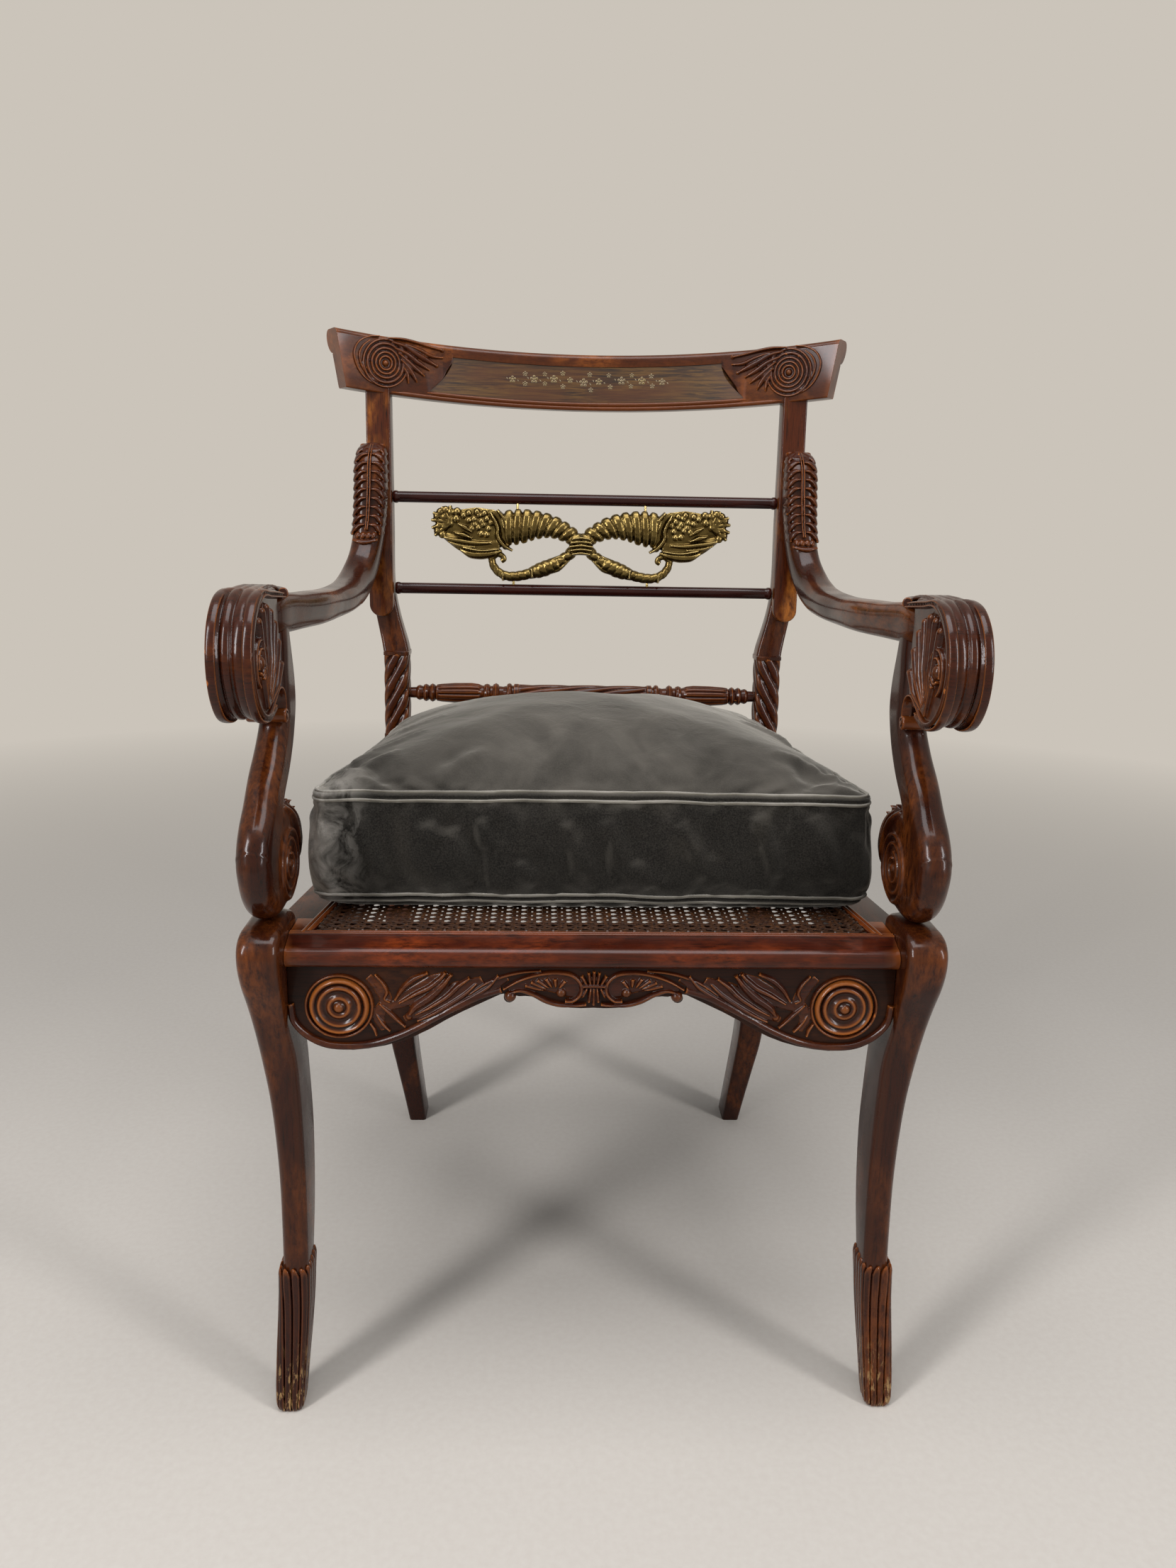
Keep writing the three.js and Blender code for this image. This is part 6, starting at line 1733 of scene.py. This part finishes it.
def horn_of_plenty():
    parts = [cast_tube(horn_middle, 150, 13, 0.27), cast_tube(tail_middle, 110, 14, 0.12)]
    for fruits, radius in ((big_berries, 4.4), (small_berries, 3.5)):
        parts += [ball(u, v, radius) for u, v in fruits]
    for line, widths, lift in leaf_strokes:
        parts.append(stroke(mount_face, line, widths, lift, 24, 0.7))
    parts += [ball(u, v, 4.2) for u, v in ((-91.0, 705.6), (-87.0, 692.8), (-79.2, 680.6))]
    tail_bands = [([(51.2, 648.6), (51.6, 653.5), (52.0, 657.6)], [4.0, 4.6, 4.0], 8.6),
                  ([(82, 644.6), (82, 648.8), (82, 652.4)], [3.0, 3.6, 3.0], 6.4)]
    for line, widths, lift in tail_bands:
        parts.append(stroke(mount_face, line, widths, lift, 10, 0.9))
    for level in (674.5, 678.4, 682.3, 686.2, 690.1):
        half = 12.5 - 0.35 * abs(level - 682.3)
        line = [(-half, level - 1.2), (0, level), (half, level - 1.2)]
        parts.append(stroke(mount_face, line, [3.6, 4.8, 3.6], 9.0, 14, 0.8))
    for tip_u, tip_v in fan_leaf_tips:
        root = (-136.0, 702.0)
        middle = (0.45 * root[0] + 0.55 * tip_u, 0.45 * root[1] + 0.55 * tip_v + 1.0)
        parts.append(stroke(mount_face, [root, middle, (tip_u, tip_v)], [3.0, 6.0, 3.4], 4.6, 14, 0.8))
    back_plate = [(-148, 703), (-130, 702), (-112, 700), (-94, 697), (-78, 697)]
    parts.append(stroke(mount_face, back_plate, [14, 30, 40, 42, 32], 2.4, 20))
    lower_plate = [(-142, 690), (-124, 682), (-106, 679), (-86, 682)]
    parts.append(stroke(mount_face, lower_plate, [8, 17, 17, 13], 3.4, 14))
    return parts


def mirrored_mount(part):
    """The same part on the other side of the mount's own middle."""
    points, faces = part
    return points * np.array([-1, 1, 1]) + np.array([2 * MOUNT_X, 0, 0]), [face[::-1] for face in faces]


horns = horn_of_plenty()
mount = build("brass_horns_cast", horns + [mirrored_mount(part) for part in horns])
melt(mount, voxel=0.55, passes=2, keep=0.5)
hand_over(mount, brass, "ornament")

# %% The pins that hold the mount
for name in sorted(nodes):
    if name.startswith("ornament_pin"):
        dressed(name, brass, edge=0.3)

# %% [markdown]
# ## Brass inlay in the panel
# Small worn flowers of brass are let in flush with the rosewood. They stand only a hair above it.

# %% Inlay
flowers = [
    (-78.1, 850.3, 3), (-64.9, 856.1, 2.2), (-64.9, 846.3, 2.2), (-55.5, 851, 3.4), (-44.2, 856.4, 2),
    (-44.1, 846.9, 2), (-34.7, 851.6, 3.4), (-25.4, 857.6, 2.2), (-25.2, 844.4, 2.2), (-17.6, 851, 2.6),
    (-3.5, 848.8, 3.6), (2.9, 857, 2.2), (4.2, 841.6, 2.2), (12.5, 850, 3), (22.8, 856.6, 2),
    (24.6, 845, 2.2), (36.2, 851.4, 3.4), (47, 857, 2), (46.2, 846, 2), (57.6, 851.6, 3.4),
    (67.4, 856.4, 2.2), (68.6, 846.6, 2.2), (78.8, 850.8, 3),
]


def inlay_face(u, v, height):
    return crest_face(u, v, height - PANEL_SINK)


def flower(u, v, size):
    """Five petals round an eye, and on the larger ones a small leaf on either hand."""
    parts = [dome(inlay_face, (u, v), size * 0.3, 0.35, 1.0, 3, 10, 0.3)]
    for sign in (-1, 1) if size > 4 else ():
        leaf_line = [(u + sign * 1.25 * size, v), (u + sign * 1.6 * size, v - 0.5 * sign * size)]
        parts.append(stroke(inlay_face, leaf_line, [0.4, 1.3, 0.4], 0.22, 8, 1.0, 6))
    for k in range(5):
        angle = math.radians(90 + 72 * k)
        centre = (u + 0.62 * size * math.cos(angle), v + 0.62 * size * math.sin(angle))
        parts.append(dome(inlay_face, centre, size * 0.3, 0.25, 1.0, 3, 10, 0.3))
    return parts


inlay = []
for u, v, size in flowers:
    inlay += flower(u, v, 1.35 * size)
inlaid = build("crest_panel_inlay", inlay)
hand_over(inlaid, inlay_brass, "crest_panel")

# %% [markdown]
# ## Leaves on the arms
# Where each arm climbs the stile a long leaf lies on it, with a double midrib and ten lobes a side that
# slope outwards. It wraps the arm's rounded front, so its face function reads the arm's own line.

# %% Arm leaves
arm_middle = arm_line(240)
climb = arm_middle[arm_middle[:, 1] > 385]
climb_ahead = unit(np.gradient(climb[:, 1:3], axis=0))
front_y = climb[:, 1] - climb_ahead[:, 1] * climb[:, 4] / 2
front_z = climb[:, 2] + climb_ahead[:, 0] * climb[:, 4] / 2


def arm_front(u, v, height):
    """u outwards from the arm's middle, v up, height towards the sitter, round the arm's front."""
    x = np.interp(v, front_z, climb[:, 0])
    width = np.interp(v, front_z, climb[:, 3]) / 2
    round_off = 1 - math.sqrt(max(0.0, 1 - min(1.0, abs(u) / (width + 1.0)) ** 3.2))
    return (x + u, np.interp(v, front_z, front_y) - height + round_off * 10.0, v)


leaf = []
for k in range(10):
    top = 779.5 - 8.7 * k
    reach = 16.4 - 0.5 * max(0, 2 - k) ** 2 - 0.1 * k
    for sign in (-1, 1):
        line = [(sign * 1.6, top), (sign * 0.45 * reach, top - 0.5), (sign * 0.8 * reach, top - 4.2),
                (sign * reach, top - 9.2)]
        leaf.append(stroke(arm_front, line, [1.8, 4.4, 6.2, 3.0], 3.8, 18))
        leaf.append(dome(arm_front, (sign * (reach - 0.6), top - 8.6), 2.5, 3.2, 1.0, 4, 12))
for sign in (-1, 1):
    leaf.append(stroke(arm_front, [(sign * 1.1, 781.0), (sign * 1.3, 740.0), (sign * 1.0, 696.0)],
                       [1.4, 2.1, 1.8], 4.6, 30))
leaf.append(dome(arm_front, (0, 777.0), 12.5, 3.4, 0.42, 5, 24))
for u in (-8.4, -2.9, 2.9, 8.4):
    leaf.append(dome(arm_front, (u, 690.4), 3.3, 3.6, 1.1, 5, 14))
leaf.append(stroke(arm_front, [(-12.6, 686.0), (0, 684.0), (12.6, 686.0)], [3.0, 5.0, 3.0], 2.8, 20))
both_sides("arm_leaf_{}", leaf, carved_mahogany, "arm_{}", voxel=0.5, passes=2, keep=0.65)

# %% [markdown]
# ## The cushion
# A box cushion has a crowned top, a band round its sides and a welt along both seams. Its side pulls in
# between the corners. A plump closed form is remeshed and blown up as cloth, with its seams
# pinned, so that the panels swell between them and wrinkle. The pressing creases seen on the front are
# added after that, each a soft ridge along a measured line, and small puckers run out from the seams.

# %% Cushion form
CUSHION_FRONT = 65.0
CUSHION_BACK = 396.0
CUSHION_HALF_FRONT = 227.0
CUSHION_HALF_BACK = 192.0
LOWER_SEAM = 414.0
UPPER_SEAM = 499.0
CROWN = 51.0
CUSHION_REST = 401.8
SLACK = 3.5
SIDE_PULL = 5.0
CUSHION_MIDDLE = (CUSHION_FRONT + CUSHION_BACK) / 2
under_rows = [
    (0.02, 0.02), (0.25, 0), (0.45, 0), (0.62, 0), (0.76, 0), (0.88, 0.01), (0.945, 0.06), (0.982, 0.2),
    (0.997, 0.42), (0.995, 0.7),
]
side_rows = [
    (0.992, 0), (1.006, 0.05), (1.017, 0.13), (1.023, 0.26), (1.02, 0.42), (1.014, 0.6), (1.011, 0.78),
    (1.008, 0.92), (1.002, 1),
]
crown_rows = [
    (0.985, 0.075), (0.955, 0.16), (0.92, 0.235), (0.87, 0.315), (0.81, 0.4), (0.74, 0.5), (0.66, 0.605),
    (0.58, 0.71), (0.5, 0.795), (0.42, 0.865), (0.33, 0.925), (0.24, 0.965), (0.15, 0.99), (0.05, 1),
]


def cushion_outline(slack=0.0, per_side=40):
    """Plan of the cushion as (x, y), with rounded corners and sides that draw in between them."""
    corners = [(CUSHION_HALF_FRONT, CUSHION_FRONT, 16.0, -90), (CUSHION_HALF_BACK, CUSHION_BACK, 40.0, 0),
               (-CUSHION_HALF_BACK, CUSHION_BACK, 40.0, 90), (-CUSHION_HALF_FRONT, CUSHION_FRONT, 16.0, 180)]
    arcs = []
    for x, y, radius, start in corners:
        centre = (x - math.copysign(radius, x), y + radius if y == CUSHION_FRONT else y - radius)
        arcs.append(np.array(quarter(centre, radius - slack, start, start + 90, 9)))
    plan = []
    for arc, following in zip(arcs, arcs[1:] + arcs[:1]):
        plan += list(arc)
        last, first = arc[-1], following[0]
        ahead = unit(first - last)
        inward = np.array([-ahead[1], ahead[0]])
        for t in np.linspace(0, 1, per_side + 2)[1:-1]:
            plan.append(last + (first - last) * t + inward * 4 * SIDE_PULL * t * (1 - t))
    return np.array(plan)


def cushion_form():
    plan = cushion_outline(SLACK)
    rows = [(share, CUSHION_REST + 1.0 + (LOWER_SEAM - CUSHION_REST - 1.0) * up) for share, up in under_rows]
    rows += [(share, LOWER_SEAM + (UPPER_SEAM - LOWER_SEAM) * up) for share, up in side_rows]
    rows += [(share, UPPER_SEAM + (CROWN - 3.0) * up) for share, up in crown_rows]
    half = np.array([(CUSHION_HALF_FRONT + CUSHION_HALF_BACK) / 2, (CUSHION_BACK - CUSHION_FRONT) / 2])
    flat = plan - (0, CUSHION_MIDDLE)
    oval = unit(flat / half) * half
    rings = []
    for share, z in rows:
        # away from the seams the plan turns into an oval, so that no hip runs up from the corners
        oval_share = 0.95 * max(0.0, 1 - share) + 0.12 * (z < LOWER_SEAM)
        ring = (flat * (1 - oval_share) + oval * oval_share) * share
        rings.append([(x, CUSHION_MIDDLE + y, z) for x, y in ring])
    return skin(rings)


def mesh_points(piece):
    points = np.empty(len(piece.data.vertices) * 3)
    piece.data.vertices.foreach_get("co", points)
    return points.reshape(-1, 3) / MM - (0, NOSING_FRONT / MM, 0)


def set_mesh_points(piece, points):
    piece.data.vertices.foreach_set("co", ((points + (0, NOSING_FRONT / MM, 0)) * MM).ravel())
    piece.data.update()


cushion = build("cushion_velvet", [cushion_form()])
finish_modifier(cushion, "REMESH", mode="VOXEL", voxel_size=5.0 * MM, use_smooth_shade=True)
start_points = mesh_points(cushion)
print("cushion before filling:", len(start_points), "points")

# %% Fill it as cloth
FRAMES = 20
MOST_SWELL = 7.0
SEAM_BAND = 5.5


def at_seam(points, level, reach):
    """1 on the cushion's edge at a seam's height and 0 further than reach from it."""
    rim = np.abs(points[:, 2] - level) < reach
    outline = cushion_outline(SLACK, 12)
    near = np.array([np.min(np.hypot(*(outline - p[:2]).T)) for p in points[rim]])
    weight = np.zeros(len(points))
    weight[rim] = np.where(near < SEAM_BAND, 1.0, 0.0)
    return weight


def fill(piece):
    pinned = np.maximum(at_seam(start_points, LOWER_SEAM, 3.0), at_seam(start_points, UPPER_SEAM, 3.0))
    pinned = np.maximum(pinned, (start_points[:, 2] < CUSHION_REST + 2.5) * 1.0)
    group = piece.vertex_groups.new(name="seams")
    group.add([int(i) for i in np.nonzero(pinned)[0]], 1.0, "REPLACE")
    cloth = piece.modifiers.new("Cloth", "CLOTH")
    settings = cloth.settings
    settings.quality = 5
    settings.mass = 0.4
    settings.tension_stiffness = 12
    settings.compression_stiffness = 12
    settings.shear_stiffness = 5
    settings.bending_stiffness = 0.4
    settings.use_pressure = True
    settings.uniform_pressure_force = 4.0
    settings.shrink_min = -0.035
    settings.effector_weights.gravity = 0
    settings.vertex_group_mass = "seams"
    cloth.collision_settings.use_collision = False
    for number in range(1, FRAMES + 1):
        bpy.context.scene.frame_set(number)
    pick(piece)
    bpy.ops.object.modifier_apply(modifier="Cloth")
    bpy.context.scene.frame_set(1)
    swollen = mesh_points(piece)
    move = swollen - start_points
    length = np.maximum(np.linalg.norm(move, axis=1), 1e-6)
    allowed = np.minimum(length, MOST_SWELL * np.tanh(length / MOST_SWELL))
    set_mesh_points(piece, start_points + move * (allowed / length)[:, None])
    print("cloth moved it by up to", round(float(length.max()), 1), "mm")


fill(cushion)
finish_modifier(cushion, "SUBSURF", levels=1, render_levels=1)

# %% Creases and puckers
# width and height of each kind of ridge
FRONT_RIDGE = (7.5, 3.6)
SIDE_RIDGE = (5.6, 2.8)
CROWN_RIDGE = (6.5, 2.6)
# each line of (x, z) on the front band
front_creases = [
    [(-132.6, 479.2), (-129.4, 470.5), (-122.7, 461.7)],
    [(-113.1, 474.7), (-107.1, 453), (-97.6, 426.4)],
    [(-90.6, 481.9), (-88.4, 469.1), (-84.5, 456.2)],
    [(-61.3, 448.1), (-54.5, 437.4), (-45.3, 426.7)],
    [(-22.6, 480.2), (-11.5, 450.9), (1.1, 421.1)],
    [(10, 482.9), (19.7, 454.1), (30.8, 423.7)],
    [(33.6, 448.9), (40.8, 436.4), (47.4, 424.4)],
    [(-186.5, 484.5), (-179, 455.4), (-163.9, 425.9)],
    [(68.9, 481.1), (84.3, 451.7), (99.8, 424.8)],
    [(131.1, 487.5), (138.1, 464), (151.2, 434.3)],
    [(176.6, 488), (187.2, 458.5), (193, 431.6)],
]
# each line of (y, z) on the side bands
side_creases = [
    [(80, 484), (104, 462), (122, 432)],
    [(118, 492), (140, 468), (150, 440)],
    [(168, 480), (186, 452), (196, 424)],
    [(232, 488), (250, 458), (262, 430)],
    [(300, 484), (322, 452), (336, 428)],
]
# each line of (x, y) on the crown
crown_creases = [
    [(-214, 80), (-190, 104), (-158, 122)],
    [(-206, 120), (-176, 150), (-140, 172)],
    [(-200, 176), (-168, 204), (-128, 222)],
    [(-190, 232), (-158, 258), (-122, 276)],
    [(210, 92), (184, 112), (150, 124)],
    [(196, 200), (168, 226), (140, 240)],
    [(-130, 72), (-112, 96), (-86, 112)],
]


def ridges(flat, lines, width, height):
    """Height of soft ridges along lines of points, each with a shallow trough on one side."""
    total = np.zeros(len(flat))
    for line in lines:
        path = curve_through(line, 14)
        ahead = unit(np.gradient(path, axis=0))
        gaps = flat[:, None, :] - path[None, :, :]
        distance = np.linalg.norm(gaps, axis=2)
        nearest = distance.argmin(axis=1)
        d = distance[np.arange(len(flat)), nearest]
        side_of = gaps[np.arange(len(flat)), nearest]
        sign = np.sign(ahead[nearest, 0] * side_of[:, 1] - ahead[nearest, 1] * side_of[:, 0])
        fade = np.sin(np.linspace(0, math.pi, len(path)))[nearest] ** 0.6
        total += fade * height * np.exp(-(d / width) ** 2)
        total -= fade * 0.55 * height * np.exp(-((d - 1.9 * width) / width) ** 2) * (sign > 0)
    return total


def press_creases(piece):
    points = mesh_points(piece)
    normals = np.empty(len(points) * 3)
    piece.data.vertices.foreach_get("normal", normals)
    normals = normals.reshape(-1, 3)
    x, y, z = points.T
    rise = np.zeros(len(points))
    front = (normals[:, 1] < -0.5) & (y < 110)
    rise[front] += ridges(points[front][:, [0, 2]], front_creases, *FRONT_RIDGE)
    for sign in (-1, 1):
        face = normals[:, 0] * sign > 0.6
        rise[face] += ridges(points[face][:, [1, 2]], side_creases, *SIDE_RIDGE)
    top = (normals[:, 2] > 0.3) & (z > UPPER_SEAM)
    rise[top] += ridges(points[top][:, :2], crown_creases, *CROWN_RIDGE)
    seam_gap = np.minimum(np.abs(z - UPPER_SEAM), np.abs(z - LOWER_SEAM))
    pucker = np.array([noise.noise(Vector((px / 11.0, py / 11.0, pz / 60.0))) for px, py, pz in points])
    rolling = np.array([noise.noise(Vector((px / 55.0 + 7.0, py / 55.0, pz / 45.0)))
                        for px, py, pz in points])
    above = z > LOWER_SEAM - 4
    rise += above * (2.2 * pucker * np.exp(-seam_gap / 15.0) + 2.4 * rolling)
    rise *= (z > CUSHION_REST + 3) * (1 - 0.85 * np.exp(-(seam_gap / 6.0) ** 2))
    # the top seam itself wanders, and its front corners stand out as small ears
    at_top = np.exp(-((z - UPPER_SEAM) / 7.0) ** 2)
    ears = np.exp(-((np.abs(x) - CUSHION_HALF_FRONT) ** 2 + (y - CUSHION_FRONT) ** 2) / 18.0 ** 2)
    points += normals * rise[:, None]
    points[:, 2] += at_top * (1.1 * pucker + 0.8 * ears)
    points[:, 0] += np.sign(x) * at_top * ears * 0.6
    set_mesh_points(piece, points)


press_creases(cushion)
pick(cushion)
bpy.ops.object.shade_smooth()
hand_over(cushion, velvet, "seat_cushion", "cushion")

# %% [markdown]
# ## Welts
# Each seam is a narrow flat flange between two fine cords, in a paler velvet that paints the highlight
# their edges catch. They are swept tubes laid on the filled cushion's own surface, wavering a little as
# hand-sewn welts do.

# %% Welts along both seams
filled_points = mesh_points(cushion)


def reach_past(spots, outward, level):
    """How far the filled cushion stands out past each spot of its outline, at one height."""
    near = filled_points[np.abs(filled_points[:, 2] - level) < 2.5][:, :2]
    reach = []
    for spot, out in zip(spots, outward):
        flat = near - spot
        beside = (np.abs(flat @ (-out[1], out[0])) < 3.5) & (np.hypot(*flat.T) < 20.0)
        reach.append((flat[beside] @ out).max() if beside.any() else 0.0)
    around = np.array(reach)
    return sum(np.roll(around, shift) for shift in (-2, -1, 0, 1, 2)) / 5


def welt(level, proud, radius, seed):
    """A cord or flange whose middle stands proud of the filled cushion's own surface."""
    outline = cushion_outline(SLACK, 60)
    ahead = unit(np.roll(outline, -1, axis=0) - np.roll(outline, 1, axis=0))
    outward = np.stack([ahead[:, 1], -ahead[:, 0]], axis=1)
    line = []
    for (x, y), out, reach in zip(outline, outward, reach_past(outline, outward, level)):
        sway = noise.noise(Vector((x / 38.0, y / 38.0, seed)))
        fine = noise.noise(Vector((x / 9.0, y / 9.0, seed)))
        far = reach + proud + 0.2 * fine
        line.append((x + out[0] * far, y + out[1] * far, level + 1.3 * sway + 0.3 * fine))
    return sweep_reed(line + line[:2], 2 * radius, radius, normal=(0, 0, 1), around=10)


flanges = [welt(UPPER_SEAM, -2.2, 3.4, 0.0), welt(LOWER_SEAM, -2.6, 3.2, 3.0)]
cords = [welt(UPPER_SEAM + 3.4, 0.1, 1.3, 0.0), welt(UPPER_SEAM - 3.2, 0.1, 1.3, 0.0),
         welt(LOWER_SEAM + 3.0, 0.1, 1.3, 3.0), welt(LOWER_SEAM - 3.0, 0.0, 1.3, 3.0)]
for name, shapes, finish in (("cushion_flanges", flanges, velvet), ("cushion_cords", cords, sheen_piping_velvet)):
    piping = build(name, shapes)
    hand_over(soften(piping, 60), finish, "seat_cushion", "cushion")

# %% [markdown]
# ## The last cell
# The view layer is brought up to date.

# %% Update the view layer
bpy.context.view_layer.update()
